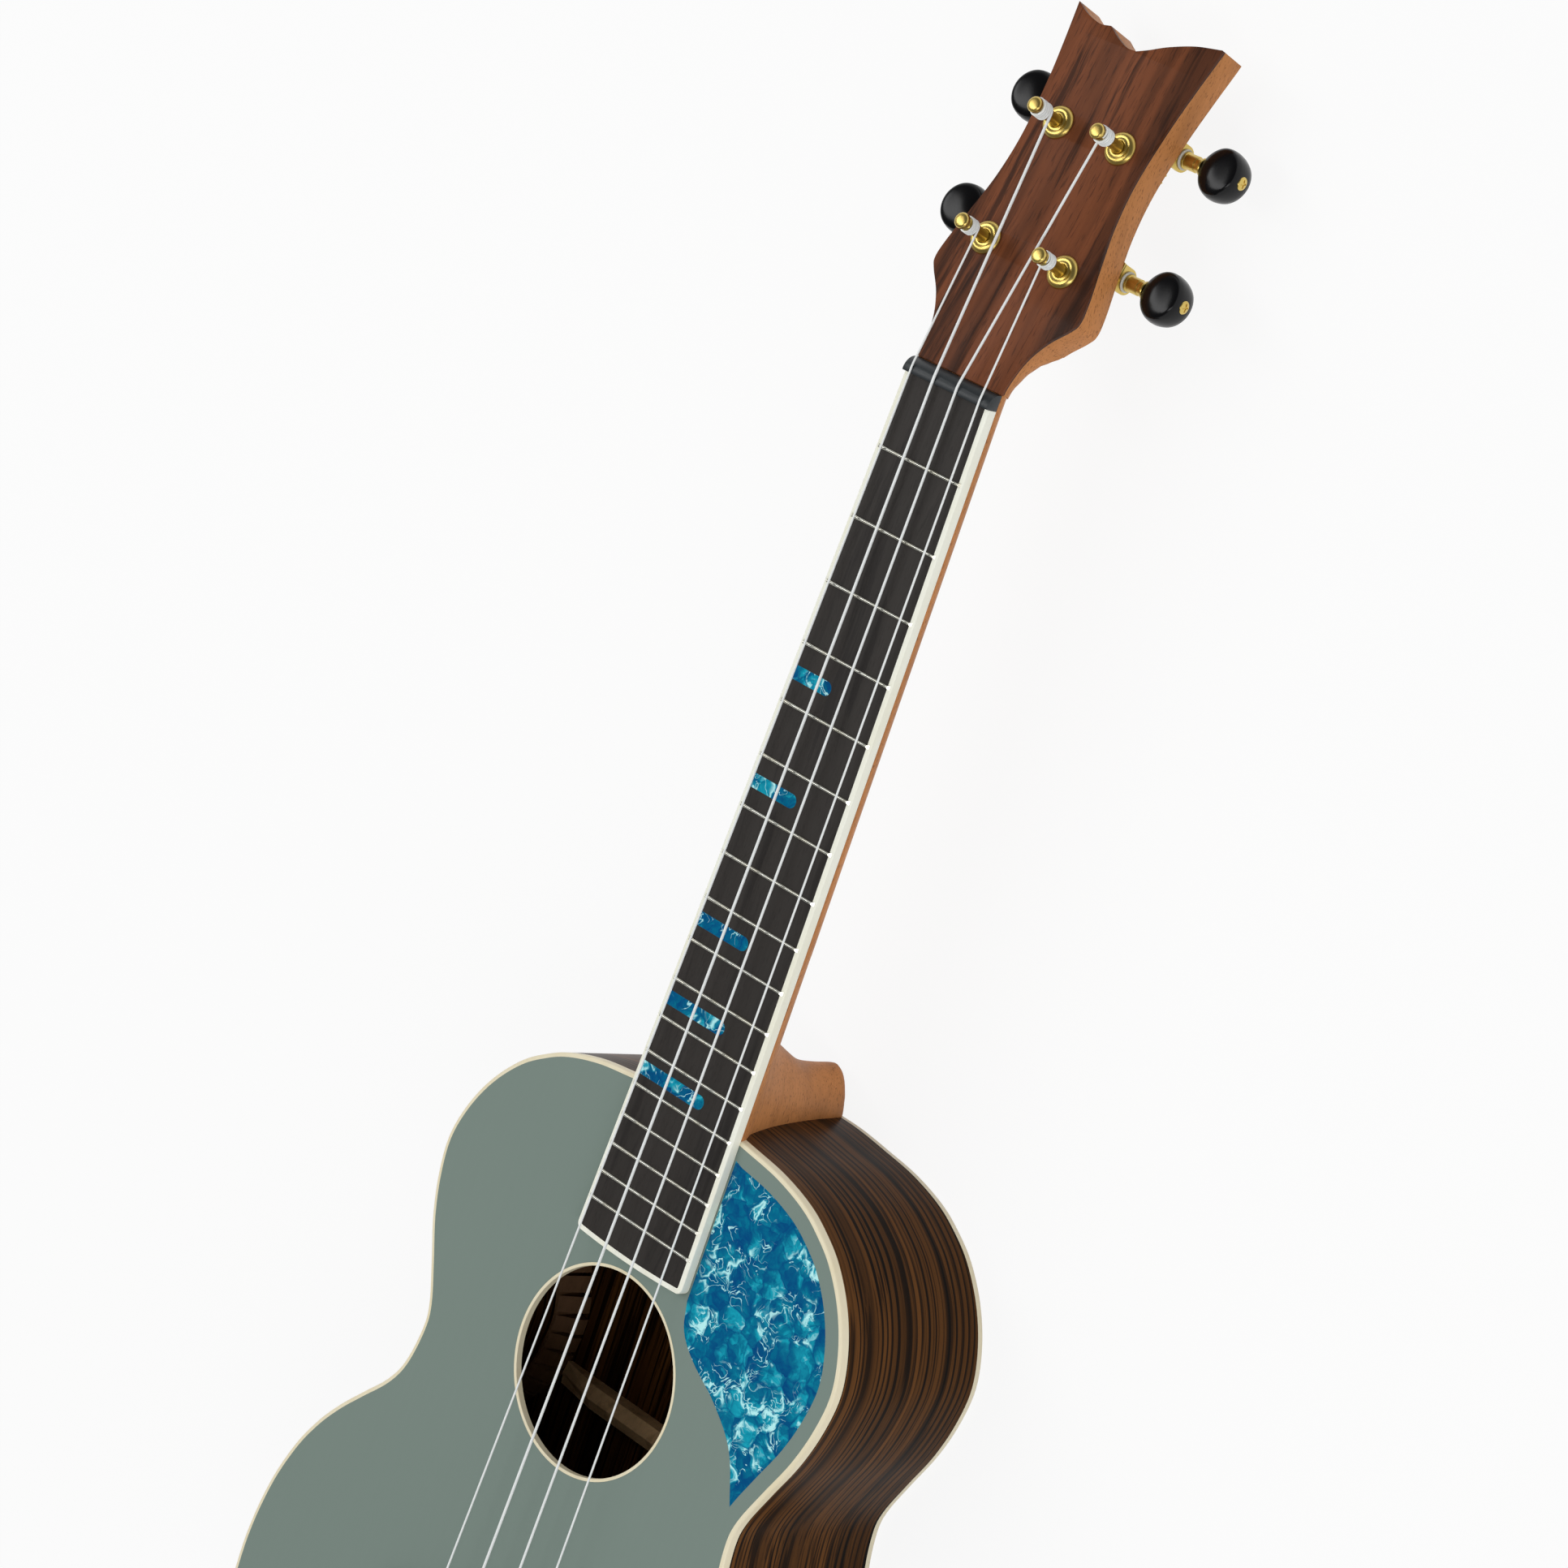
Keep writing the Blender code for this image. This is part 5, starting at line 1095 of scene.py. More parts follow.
def striped_wood(name, source, turn=0.0):
    """Brown wood with near-black stripes that flow along its length."""
    finish = Finish(name)
    brown, stripe = colours().side_brown, colours().side_stripe
    run = (0.055, 9.0, 1.0) if source == "UV" else (9.0, 0.055, 1.0)
    spot = finish.place((1, 1, 0), turn, source)

    def along(stretch):
        return finish.vector("MULTIPLY", spot, tuple(v * stretch for v in run))

    wander = finish.noise(spot, 7, 2, 0.45) - 0.5
    shift = finish.node("ShaderNodeCombineXYZ", None, {"X": wander * 0.08, "Y": wander * 0.08})
    drift = finish.vector("ADD", along(1.0), shift)
    broad = finish.noise(drift, 9, 3)
    across = finish.node("ShaderNodeSeparateXYZ", None, {0: spot}, 1 if source == "UV" else 0)
    phase = across * (2 * math.pi / STRIPE_PITCH) + finish.noise(drift, 10, 2, 0.55) * 22
    fade = finish.noise(drift, 16).between(0.32, 0.5)
    lines = finish.noise(drift, 27, 3, 0.6)
    hair = finish.noise(drift, 95, 3, 0.6)
    fibre = finish.noise(along(1.5), 260, 3, 0.6)
    pores = finish.noise(along(1.2), 700).between(0.6, 0.72)
    dull = blended(brown, stripe, 0.5)
    base = finish.mix(broad.between(0.36, 0.66), dull, scaled(brown, 1.35))
    base = finish.mix(hair.between(0.4, 0.7) * 0.4, base, brown)
    base = finish.mix(lines.between(0.53, 0.6) * 0.75, base, stripe)
    base = finish.mix(phase.sine().between(0.3, 0.85) * fade * 0.9, base, stripe)
    base = finish.mix(hair.between(0.54, 0.59) * 0.6, base, stripe)
    base = finish.mix(fibre.between(0.52, 0.72) * 0.35, base, stripe)
    base = finish.mix(pores * 0.5, base, stripe)
    normal = finish.bump(1 - pores * 0.6 + fibre * 0.4, 0.12, 0.04 * MM)
    return finish.shade(
        Base_Color=base, Roughness=0.28 + fibre * 0.12, Normal=normal, Specular_IOR_Level=0.03
    )


def grained_wood(name, wood, dark, turn=0.0, look=None):
    """Straight-grained wood: broad bands, fine fibres and short open pores along Y."""
    look = {
        "band": 0.5,
        "streak": 0.3,
        "pore": 0.5,
        "rough": 0.45,
        "bump": 0.15,
        "broad": 22.0,
        "fine": 300.0,
        "stretch": 0.055,
        "shine": 0.3,
        "shade": 0.0,
        **(look or {}),
    }
    finish = Finish(name)
    spot = finish.place((1, 1, 1), turn)
    wander = finish.noise(spot, 10)
    long_way = finish.vector("MULTIPLY", spot, (1, look["stretch"], 1))
    drift = finish.vector("ADD", long_way, finish.vector("MULTIPLY", wander, (0.02, 0, 0.01)))
    band = finish.noise(drift, look["broad"] * 4, 3, 0.55)
    streak = finish.noise(drift, look["broad"] * 9, 4, 0.65)
    fibre = finish.noise(long_way, look["fine"] * 3, 3, 0.6)
    dash = finish.vector("MULTIPLY", spot, (1, look["stretch"] * 2.2, 1))
    pore = finish.noise(dash, look["fine"] * 7).between(0.57, 0.68)
    mid = blended(wood, dark, 0.45)
    base = finish.mix(band.between(0.3, 0.7), scaled(wood, 1.22), wood)
    base = finish.mix(band.between(0.5, 0.72) * look["band"], base, mid)
    shade = finish.noise(drift, look["broad"] * 2.6)
    base = finish.mix(shade.between(0.5, 0.62) * look["shade"], base, dark)
    base = finish.mix(streak.between(0.54, 0.66) * look["streak"], base, dark)
    base = finish.mix(fibre.between(0.45, 0.75) * 0.28, base, mid)
    base = finish.mix(pore * look["pore"], base, dark)
    normal = finish.bump((1 - pore) * 0.7 + fibre * 0.3, look["bump"], 0.05 * MM)
    return finish.shade(
        Base_Color=base,
        Roughness=look["rough"] + fibre * 0.14,
        Normal=normal,
        Specular_IOR_Level=look["shine"],
    )


def plated(name, tone, rough, spread):
    """Metal plating with a faint cloud in its colour and fine wear in its shine."""
    finish = Finish(name)
    cloud = finish.noise(finish.place(), 260, 3, 0.55)
    wear = finish.noise(finish.place(), 1900)
    deep = (tone[0] * 0.86, tone[1] * 0.8, tone[2] * 0.66)
    base = finish.mix(cloud.between(0.35, 0.75) * 0.6, tone, deep)
    normal = finish.bump(wear, 0.04, 0.02 * MM)
    return finish.shade(
        Base_Color=base, Metallic=1.0, Roughness=rough + cloud * spread, Normal=normal
    )


def plain_plastic(name, tone, rough, bump=0.05, shine=0.4):
    """Moulded plastic: one colour with the slightest mottle and moulding texture."""
    finish = Finish(name)
    cloud = finish.noise(finish.place(), 130)
    fine = finish.noise(finish.place(), 1400)
    base = finish.mix(cloud * 0.6, tone, scaled(tone, 1.2, 0.002))
    normal = finish.bump(fine, bump, 0.03 * MM)
    return finish.shade(
        Base_Color=base,
        Roughness=rough + cloud * 0.08,
        Normal=normal,
        Specular_IOR_Level=shine,
    )


def clear_nylon(name):
    """Clear nylon string that reads as bluish white, with a soft shine along it."""
    finish = Finish(name)
    tone = colours().string_white
    cloud = finish.noise(finish.place((1, 0.2, 1)), 300)
    base = finish.mix(cloud * 0.5, tone, scaled(tone, 0.86))
    normal = finish.bump(finish.noise(finish.place(), 2400), 0.03, 0.02 * MM)
    return finish.shade(
        Base_Color=base, Roughness=0.2 + cloud * 0.08, Normal=normal, Specular_IOR_Level=0.6
    )


BOARD_LOOK = {"band": 0.45, "streak": 0.6, "pore": 0.35, "rough": 0.46, "fine": 380.0}
FACE_LOOK = {
    "band": 0.9,
    "streak": 0.8,
    "shade": 0.6,
    "rough": 0.34,
    "broad": 26.0,
    "shine": 0.1,
    "stretch": 0.035,
}
NECK_LOOK = {
    "band": 0.3,
    "streak": 0.16,
    "pore": 0.62,
    "rough": 0.42,
    "stretch": 0.12,
    "shine": 0.2,
}
INNER_LOOK = {"band": 0.4, "streak": 0.35, "pore": 0.2, "rough": 0.6}

# Each finish has a slot name that nothing here reads, its maker, and what the maker takes,
# where the name of a colour in the panel stands for that colour.
FINISHES = {
    "sage_paint": ("sage_paint", painted_top),
    "blue_pearl": ("blue_pearl", crushed_pearl),
    "clear_nylon": ("nylon", clear_nylon),
    "side_wood": ("rosewood", striped_wood, "UV"),
    "back_wood": ("rosewood", striped_wood, "Object", BOARD_TILT),
    "cream_binding": ("cream_binding", cream_plastic, "cream"),
    "ivory_binding": ("cream_binding", cream_plastic, "ivory"),
    "neck_wood": ("mahogany", grained_wood, "neck_wood", "neck_pore", BOARD_TILT, NECK_LOOK),
    "face_veneer": (
        "headstock_rosewood", grained_wood, "face_wood", "face_streak", FACE_TILT, FACE_LOOK,
    ),
    "board_wood": (
        "dark_fretboard", grained_wood, "board_wood", "board_grain", BOARD_TILT, BOARD_LOOK,
    ),
    "brace_wood": ("spruce", grained_wood, "brace_wood", "brace_grain", BOARD_TILT, INNER_LOOK),
    # The linings' finish is darker than the brace wood of the same spruce: painted shade of the
    # body's inside.
    "lining_wood": ("spruce", grained_wood, "lining_wood", "lining_grain", BOARD_TILT, INNER_LOOK),
    "glue_line": ("headstock_rosewood", plain_plastic, "glue", 0.5),
    "saddle_white": ("saddle_bone", plain_plastic, "bone", 0.34),
    "satin_black": ("nut_black", plain_plastic, "nut_black", 0.36, 0.1),
    "gloss_black": ("button_black", plain_plastic, "button_black", 0.16, 0.05, 0.22),
    "washer_grey": ("gold_plate", plain_plastic, "washer_grey", 0.35),
    "gold_plating": ("gold_plate", plated, "gold", 0.26, 0.1),
    "nickel_silver": ("gold_plate", plated, "fret_metal", 0.16, 0.14),
}


def finish_of(name):
    """The material of that name, made the first time that a piece asks for it."""
    made = bpy.data.materials.get(f"{name}_finish")
    if made:
        return made
    _, maker, *inputs = FINISHES[name]
    for i, item in enumerate(inputs):
        if isinstance(item, str) and item in UkuleleColours.__annotations__:
            inputs[i] = getattr(colours(), item)
    return maker(name, *inputs)


def crown_line(shares, half, tip, steps):
    """A stretch of the crown from shares of a half width and of its rise above the notch."""
    rise = tip - HEADSTOCK_NOTCH
    points = [Vector((half * across, HEADSTOCK_NOTCH + rise * up)) for across, up in shares]
    return smooth_line(points, steps)[:-1]


def headstock_outline():
    """The crowned headstock in its own plane: one wave on the treble side, two scallops beyond."""
    half = half_nut()
    side = [Vector((half, THROAT_START)), Vector((half * 0.99, THROAT_NARROW))]
    for across, up in HEADSTOCK_SIDE:
        side.append(Vector((HEADSTOCK_HALF_WIDTH * across, HEADSTOCK_TIP_BASS * up)))
    edge = smooth_line(side, 6)
    wave = crown_line(TREBLE_WAVE, HEADSTOCK_TIP_REACH, HEADSTOCK_TIP, 7)
    inner = crown_line(INNER_SCALLOP, HEADSTOCK_HALF_WIDTH, HEADSTOCK_TIP_BASS, 7)
    outer = crown_line(OUTER_SCALLOP, HEADSTOCK_HALF_WIDTH, HEADSTOCK_TIP_BASS, 7)
    return [*edge, *wave, *inner, *outer, *mirrored(edge)[::-1]]


def headstock_half_width(along):
    edge = headstock_outline()
    for first, second in zip(edge, edge[1:]):
        if first.y <= along < second.y:
            return first.x + (second.x - first.x) * (along - first.y) / (second.y - first.y)
    return half_nut()


def headstock_loop(start):
    half = headstock_half_width(start)
    beyond = [point for point in headstock_outline() if point.y > start + 0.1 * MM]
    return [Vector((half, start)), *beyond, Vector((-half, start))]


def post_holes():
    return [circle(BUSHING_RADIUS + RUNNING_GAP, place, 32) for place in POST_PLACES.values()]


def rounded_section(half, top, shoulder, bottom, power, steps=40):
    """A section flat above and rounded below, as (across, height) pairs."""
    section = []
    for step in range(steps + 1):
        angle = math.pi * step / steps
        across = math.copysign(abs(math.cos(angle)) ** (2 / power), math.cos(angle))
        down = max(math.sin(angle), 0) ** (2 / power)
        section.append((half * across, shoulder + (bottom - shoulder) * down))
    return [*section, (-half, top), (half, top)]


def between_pairs(pairs, place):
    """The value at a place between the (place, value) pairs."""
    for (first, low), (second, high) in zip(pairs, pairs[1:]):
        if place <= second:
            return low + (high - low) * (place - first) / (second - first)
    return pairs[-1][1]


def shaft_ring(y, spare=0.0):
    """The neck's section at a place along it: flat where the board is glued, round behind."""
    share = min(max(y / JOINT_Y, 0), 1)
    depth = NECK_DEPTH_NUT + (NECK_DEPTH_HEEL - NECK_DEPTH_NUT) * share
    shoulder = TOP_FACE - NECK_SHOULDER
    half = board_half_width(min(y, 0))
    section = rounded_section(half, TOP_FACE + spare, shoulder, shoulder - depth, NECK_POWER)
    return [(x, y, z) for x, z in section]


def throat_ring(share):
    """The round back of the neck turning into the flat headstock, at a share of the throat."""
    nut_bottom = TOP_FACE - NECK_SHOULDER - NECK_DEPTH_NUT
    along = THROAT_END * share
    rise = nut_bottom + HEADSTOCK_DROP + along * math.sin(HEADSTOCK_ANGLE)
    bottom = min(rise / math.cos(HEADSTOCK_ANGLE), -HEADSTOCK_THICKNESS)
    half, power = headstock_half_width(along), between_pairs(THROAT_POWERS, share)
    section = rounded_section(half, CORE_TOP, CORE_TOP - NECK_SHOULDER, bottom, power)
    return [HEADSTOCK @ Vector((x, along, height)) for x, height in section]


def neck_loft():
    """The slim part of the neck and its throat, in one smooth skin."""
    places = [MELT_END * (1 - step / 16) for step in range(16)]
    rings = [shaft_ring(y) for y in (*places, 0.0, NUT_LENGTH * 0.6, NUT_LENGTH)]
    for step in range(15):
        rings.append(throat_ring(THROAT_OPENING + (1.0 - THROAT_OPENING) * step / 14))
    return swept("shaft", rings)


def heel_loft():
    """The heel: narrow at the back plate, and swept forward into the neck."""
    top = TOP_FACE - HEEL_OVERLAP
    rings = []
    for share, reach, width in smooth_line(HEEL_SECTIONS, 4):
        ring = []
        for step in range(41):
            angle = math.pi * step / 40
            across = math.copysign(abs(math.cos(angle)) ** 0.8, math.cos(angle))
            forward = HEEL_REACH * reach * max(math.sin(angle), 0) ** 0.95
            y = JOINT_Y + forward
            height = top + (back_plane(y, HEEL_TILT * forward) - top) * share
            ring.append((HEEL_WIDTH_TOP / 2 * width * across, y, height))
        half = ring[0][0]
        rear = JOINT_Y - BODY_ROOM
        ring += [(-half, rear, ring[-1][2]), (half, rear, ring[0][2])]
        rings.append(ring)
    return swept("heel", rings)


def heel_wood_shape():
    """Shaft and heel melted into one another, cut flat for the board and hollow for the body."""
    low, far = JOINT_Y - BODY_ROOM, MELT_END + MELT_OVERLAP
    places = [low + (far - low) * step / 12 for step in range(13)]
    shaft = swept("shaft", [shaft_ring(y, MELT_SPARE) for y in places])
    blank = boolean("heel_blank", [shaft, heel_loft()])
    mesh = modified(blank, ("REMESH", {"mode": "VOXEL", "voxel_size": MELT_GRAIN}))
    axes = {f"use_axis_{axis}": True for axis in "xyz"}
    with editing(mesh) as shape:
        near = []
        for vertex in shape.verts:
            if vertex.co.y < JOINT_Y + MELT_REACH and vertex.co.z < TOP_FACE - MELT_TOP:
                near.append(vertex)
        for _ in range(MELT_ROUNDS):
            bmesh.ops.smooth_vert(shape, verts=near, factor=0.5, **axes)
    room = flat_shape("body_room", [whole_outline()], -200 * MM, 20 * MM)
    reach = (60 * MM, 10 * MM, 40 * MM)
    deck = box_shape("deck", (-60 * MM, JOINT_Y - 20 * MM, TOP_FACE), reach)
    end = box_shape("end", (-60 * MM, MELT_END, -90 * MM), reach)
    return boolean("heel_wood", [mesh, room, deck, end], "DIFFERENCE")


def fret_blank():
    """One fret with a domed crown and bevelled ends, for the node group to stretch."""
    width, height = sizes().fret_width / 2, sizes().fret_height
    section = [(width, -FRET_SINK)]
    for step in range(1, 10):
        angle = math.pi * step / 10
        section.append((width * math.cos(angle), height * math.sin(angle)))
    section.append((-width, -FRET_SINK))
    rings = []
    for end in (-1, 1):
        ring = [(end * (FRET_BLANK_REACH - FRET_BEVEL * max(z, 0)), y, z) for y, z in section]
        rings.append(ring)
    return swept("fret_blank", rings)


def fret_tree():
    """Grows the frets: each sits at its place on the scale and reaches over the binding."""
    graph, group = node_group("frets", Count="Int", Scale="Float", Reach="Float", Widening="Float")
    count, scale, reach = (group.other(name) for name in ("Count", "Scale", "Reach"))
    line = graph.node("GeometryNodeMeshLine", None, {"Count": count, "Offset": (0, 0, 0)})
    number = graph.node("GeometryNodeInputIndex") + 1.0
    down = scale * (1.0 - 2.0 ** (number / -12.0))
    place = graph.node("ShaderNodeCombineXYZ", None, {"Y": 0.0 - down})
    row = graph.node("GeometryNodeSetPosition", None, {"Geometry": line, "Position": place})
    length = (reach + down * group.other("Widening")) / FRET_BLANK_REACH
    stretch = graph.node("ShaderNodeCombineXYZ", None, {"X": length, "Y": 1.0, "Z": 1.0})
    return close_group(graph, group, row, Scale=stretch)


def lining_tree():
    """Sets kerfed blocks along a line, each turned to the line."""
    graph, group = node_group("kerfed_lining", Pitch="Float")
    inputs = {"Curve": group.other("Geometry"), "Length": group.other("Pitch")}
    points = graph.node("GeometryNodeCurveToPoints", {"mode": "LENGTH"}, inputs)
    settings = {"axis": "X", "pivot_axis": "Z"}
    inputs = {"Vector": points.other("Tangent")}
    turn = graph.node("FunctionNodeAlignRotationToVector", settings, inputs)
    return close_group(graph, group, points, Rotation=turn)


def screw_tree():
    """Sets a copy of one small part on every point of a mesh."""
    graph, group = node_group("screw_set")
    return close_group(graph, group, group)


def side_shape():
    """The treble side, with a UV map of length along the side and height."""
    outer, inner = body_outline(), body_outline(SIDE_THICKNESS)
    run = [0.0]
    for first, second in zip(outer, outer[1:]):
        run.append(run[-1] + (second - first).length)
    top = TOP_FACE - TOP_BINDING_HEIGHT
    rings = []
    places = {}
    for out, inn, length_along in zip(outer, inner, run):
        ring = []
        for point, low in ((out, True), (out, False), (inn, False), (inn, True)):
            height = back_plane(point.y, BACK_BINDING_HEIGHT) if low else top
            ring.append((point.x, point.y, height))
            places[round(point.x * 1e7), round(point.y * 1e7)] = length_along
        rings.append(ring)
    mesh = swept("side", rings)
    layer = mesh.uv_layers.new(name="grain")
    for loop in mesh.loops:
        spot = mesh.vertices[loop.vertex_index].co
        along = places.get((round(spot.x * 1e7), round(spot.y * 1e7)), 0.0)
        layer.data[loop.index].uv = (along, spot.z)
    return mesh


def block_edge(y):
    middle = JOINT_Y - BODY_LENGTH / 2
    return (NECK_BLOCK_WIDTH if y > middle else TAIL_BLOCK_WIDTH) / 2 + RUNNING_GAP


def lining_line(inset):
    outline = body_outline(SIDE_THICKNESS + inset)
    return [point for point in outline if point.x > block_edge(point.y)]


def lining_shape(level):
    """A kerfed lining for the treble side: a thin strip that carries the sawn blocks."""
    top = level == "top"
    height = -LINING_HEIGHT if top else LINING_HEIGHT

    def base(y):
        if top:
            return TOP_INNER - RUNNING_GAP
        return back_plane(y, BACK_THICKNESS + RUNNING_GAP)

    strip = []
    for near, far in zip(lining_line(RUNNING_GAP), lining_line(RUNNING_GAP + LINING_STRIP)):
        near_z, far_z = base(near.y), base(far.y)
        strip.append(
            [
                (near.x, near.y, near_z),
                (near.x, near.y, near_z + height),
                (far.x, far.y, far_z + height),
                (far.x, far.y, far_z),
            ]
        )
    half = (sizes().kerf_pitch - KERF) / 2
    deep = LINING_WIDTH - LINING_STRIP + RUNNING_GAP
    ring = [(-deep * inwards, height * down) for inwards, down in KERF_BLOCK]
    block = swept("block", [[(x, y, z) for y, z in ring] for x in (-half, half)])
    line = [(point.x, point.y, base(point.y)) for point in lining_line(LINING_STRIP - RUNNING_GAP)]
    name = f"{level}_blocks"
    curve = poly_curve(name, [line], dimensions="3D")
    blocks = grown(name, lining_tree(), curve, block, "lining_wood", Pitch=sizes().kerf_pitch)
    return gathered(f"kerfed_{level}_lining", [swept("strip", strip), blocks])


def marker_loop(number, tip):
    """A position marker: from the bass binding's inner edge to a round end on the treble side."""
    centre = -(fret_place(number - 1) + fret_place(number)) / 2
    half = sizes().marker_width / 2
    start = -board_half_width(centre) + sizes().board_binding
    loop = [Vector((start, centre - half))]
    for step in range(13):
        angle = math.radians(-90 + 15 * step)
        loop.append(Vector((tip - half + half * math.cos(angle), centre + half * math.sin(angle))))
    loop.append(Vector((start, centre + half)))
    return loop


def nut_shape():
    """Upright on the board's side, rounded down to the headstock, with four string notches."""
    base = TOP_FACE + SKIN_GAP
    lowest = base + NUT_BACK
    profile = [Vector((0, base)), Vector((NUT_LENGTH, base))]
    for step in range(13):
        angle = math.radians(7.5 * step)
        y = NUT_LAND + (NUT_LENGTH - NUT_LAND) * math.cos(angle)
        profile.append(Vector((y, lowest + (NUT_TOP - lowest) * math.sin(angle))))
    profile.append(Vector((0.1 * MM, NUT_TOP - 0.06 * MM)))
    profile.append(Vector((0, NUT_TOP - 0.3 * MM)))
    mesh = flat_shape("nut_blank", [profile], -half_nut(), half_nut())
    mesh.transform(UPRIGHT)
    mesh = softened(mesh, NUT_ROUND, 2, 40)
    tools = []
    for name in POST_PLACES:
        radius = string_radius(name) + NOTCH_ROOM
        start = Vector((string_x(name, NUT_SPACING), -1 * MM, NUT_TOP + radius * 0.15))
        end = start + Vector((0, NUT_LENGTH + 3 * MM, -NOTCH_DROP))
        tools.append(tube("notch", [start, start + Vector((0, 3.2 * MM, 0)), end], radius, 4))
    return boolean("black_nut", [mesh, *tools], "DIFFERENCE")


def string_x(name, spacing):
    return (list(POST_PLACES).index(name) - 1.5) * spacing


def string_radius(name):
    return getattr(sizes(), f"string_{name}") / 2


def knot_line(x, radius):
    """The loop behind the bridge and the way forward through its hole."""
    top = TOP_FACE + BRIDGE_HEIGHT + radius + SKIN_GAP
    front = CHANNEL_Y - TIE_CHANNEL / 2
    knot = [
        (x + 1.7 * MM, BRIDGE_REAR_Y + 6.2 * MM, top + 1.9 * radius),
        (x + 1.5 * MM, BRIDGE_REAR_Y + 3.4 * MM, top + 0.6 * radius),
        (x + 0.9 * MM, BRIDGE_REAR_Y + 1.1 * MM, top),
        (x + 0.2 * MM, BRIDGE_REAR_Y - 1.0 * MM, HOLE_LEVEL + 0.6 * MM),
        (x, BRIDGE_REAR_Y + 0.2 * MM, HOLE_LEVEL),
        (x, front - 0.5 * MM, HOLE_LEVEL),
    ]
    return [*smooth_line(knot, 5), Vector((x, front + 0.8 * MM, HOLE_LEVEL + 0.2 * MM))]


def bent_over(point, steps):
    """A string's way over a point, from (step along, rise) pairs in millimetres."""
    return [point + Vector((0, along * MM, rise * MM)) for along, rise in steps]


def winding(name, start, level):
    """The turns round a post, climbing, with the last stretch tucked into the post's hole."""
    radius, turns = string_radius(name), sizes().winding_turns
    post_x, post_along = POST_PLACES[name]
    side = math.copysign(1, post_x)
    line = []
    for step in range(1, int(turns * WINDING_STEPS) + 1):
        share = step / WINDING_STEPS
        angle = start - side * 2 * math.pi * share
        tuck = max(share - turns + WINDING_TUCK, 0) / WINDING_TUCK
        out = POST_RADIUS + radius + WINDING_GAP - tuck * (radius + STRING_TUCK)
        height = level + WINDING_PITCH * radius * min(share, turns - 0.2)
        spot = (post_x + out * math.cos(angle), post_along + out * math.sin(angle), height)
        line.append(HEADSTOCK @ Vector(spot))
    return line


def string_line(name):
    """A string's whole way: its knot at the bridge, over saddle and nut, and round the post."""
    radius = string_radius(name)
    x_nut, x_bridge = string_x(name, NUT_SPACING), string_x(name, BRIDGE_SPACING)
    saddle = Vector((x_bridge, SADDLE_Y, SADDLE_LEVEL + radius - SADDLE_BED))
    nut = Vector((x_nut, NUT_LENGTH * 0.45, NUT_TOP + radius - NUT_BED))
    post_x, post_along = POST_PLACES[name]
    local = HEADSTOCK.inverted() @ nut
    across = Vector((post_x - local.x, post_along - local.y))
    wrap = POST_RADIUS + radius + WINDING_GAP
    swing = math.copysign(math.asin(wrap / across.length), post_x)
    heading = math.atan2(across.y, across.x) + swing
    reach = math.sqrt(across.length**2 - wrap**2)
    level = WINDING_START + radius
    touch = Vector(
        (local.x + reach * math.cos(heading), local.y + reach * math.sin(heading), level)
    )
    return [
        *knot_line(x_bridge, radius),
        *bent_over(saddle, ((-0.9, -0.35), (-0.3, -0.03), (0.5, 0))),
        *bent_over(nut, ((-1.2, 0), (0, 0), (1.2, -0.16))),
        HEADSTOCK @ touch,
        *winding(name, math.atan2(touch.y - post_along, touch.x - post_x), level),
    ]


def plate_shape():
    """A tuner's base plate with two bent ears that hold the worm."""
    tongue = PLATE_TONGUE_WIDTH / 2
    low, high = WORM_OFFSET - EAR_RADIUS, WORM_OFFSET + EAR_RADIUS
    head = [(tongue, low - PLATE_SHOULDER), (EAR_END, low), (EAR_END, high)]
    head = [Vector(point) for point in (*head, (tongue, PLATE_HEAD_END))]
    level = -PLATE_TONGUE_END + tongue
    start = Vector((tongue, level))
    tail = []
    for step in range(1, 12):
        angle = math.radians(-15 * step)
        tail.append(Vector((tongue * math.cos(angle), level + tongue * math.sin(angle))))
    loop = [start, *head, *mirrored(head)[::-1], *mirrored([start]), *tail[::-1]]
    holes = [circle(POST_RADIUS + RUNNING_GAP, (0, 0), 32)]
    holes += [circle(PLATE_SCREW_HOLE, (0, y), 20) for y in PLATE_SCREW_PLACES]
    base = flat_shape("base", [loop, *holes], PLATE_BOTTOM, PLATE_TOP)
    foot = PLATE_BOTTOM + EAR_ROOT
    ear_loop = [Vector((-EAR_RADIUS, foot)), Vector((EAR_RADIUS, foot))]
    for step in range(19):
        angle = math.radians(-10 * step)
        height = -GEAR_LEVEL + EAR_RADIUS * math.sin(angle)
        ear_loop.append(Vector((EAR_RADIUS * math.cos(angle), height)))
    bore = circle(SHAFT_RADIUS + RUNNING_GAP, (0, -GEAR_LEVEL), 28)
    pieces = [softened(base, PLATE_ROUND)]
    for side in (-1, 1):
        inner, face = sorted((side * EAR_PLACE, side * EAR_END))
        ear = flat_shape("ear", [ear_loop, bore], inner, face)
        ear.transform(Matrix.Translation((0, WORM_OFFSET, 0)) @ UPRIGHT)
        pieces.append(softened(ear, EAR_ROUND, 3, 40))
    return gathered("base_plate", pieces)


def in_shares(pairs, radius, start=0.0):
    """A profile from (share of a radius, height in millimetres) pairs."""
    return [(radius * share, start + up * MM) for share, up in pairs]


def bushing_shape():
    """The rounded flange round the post, with a raised ring at its bore."""
    bore = POST_RADIUS + RUNNING_GAP
    profile = [(bore + out * MM, up * MM) for out, up in FLANGE_RING]
    profile += in_shares(FLANGE_DOME, FLANGE_RADIUS)
    profile += [(BUSHING_RADIUS, SKIN_GAP), (BUSHING_RADIUS, -BUSHING_DEPTH)]
    profile += [(bore, -BUSHING_DEPTH)]
    return turned("bushing", profile, 56)


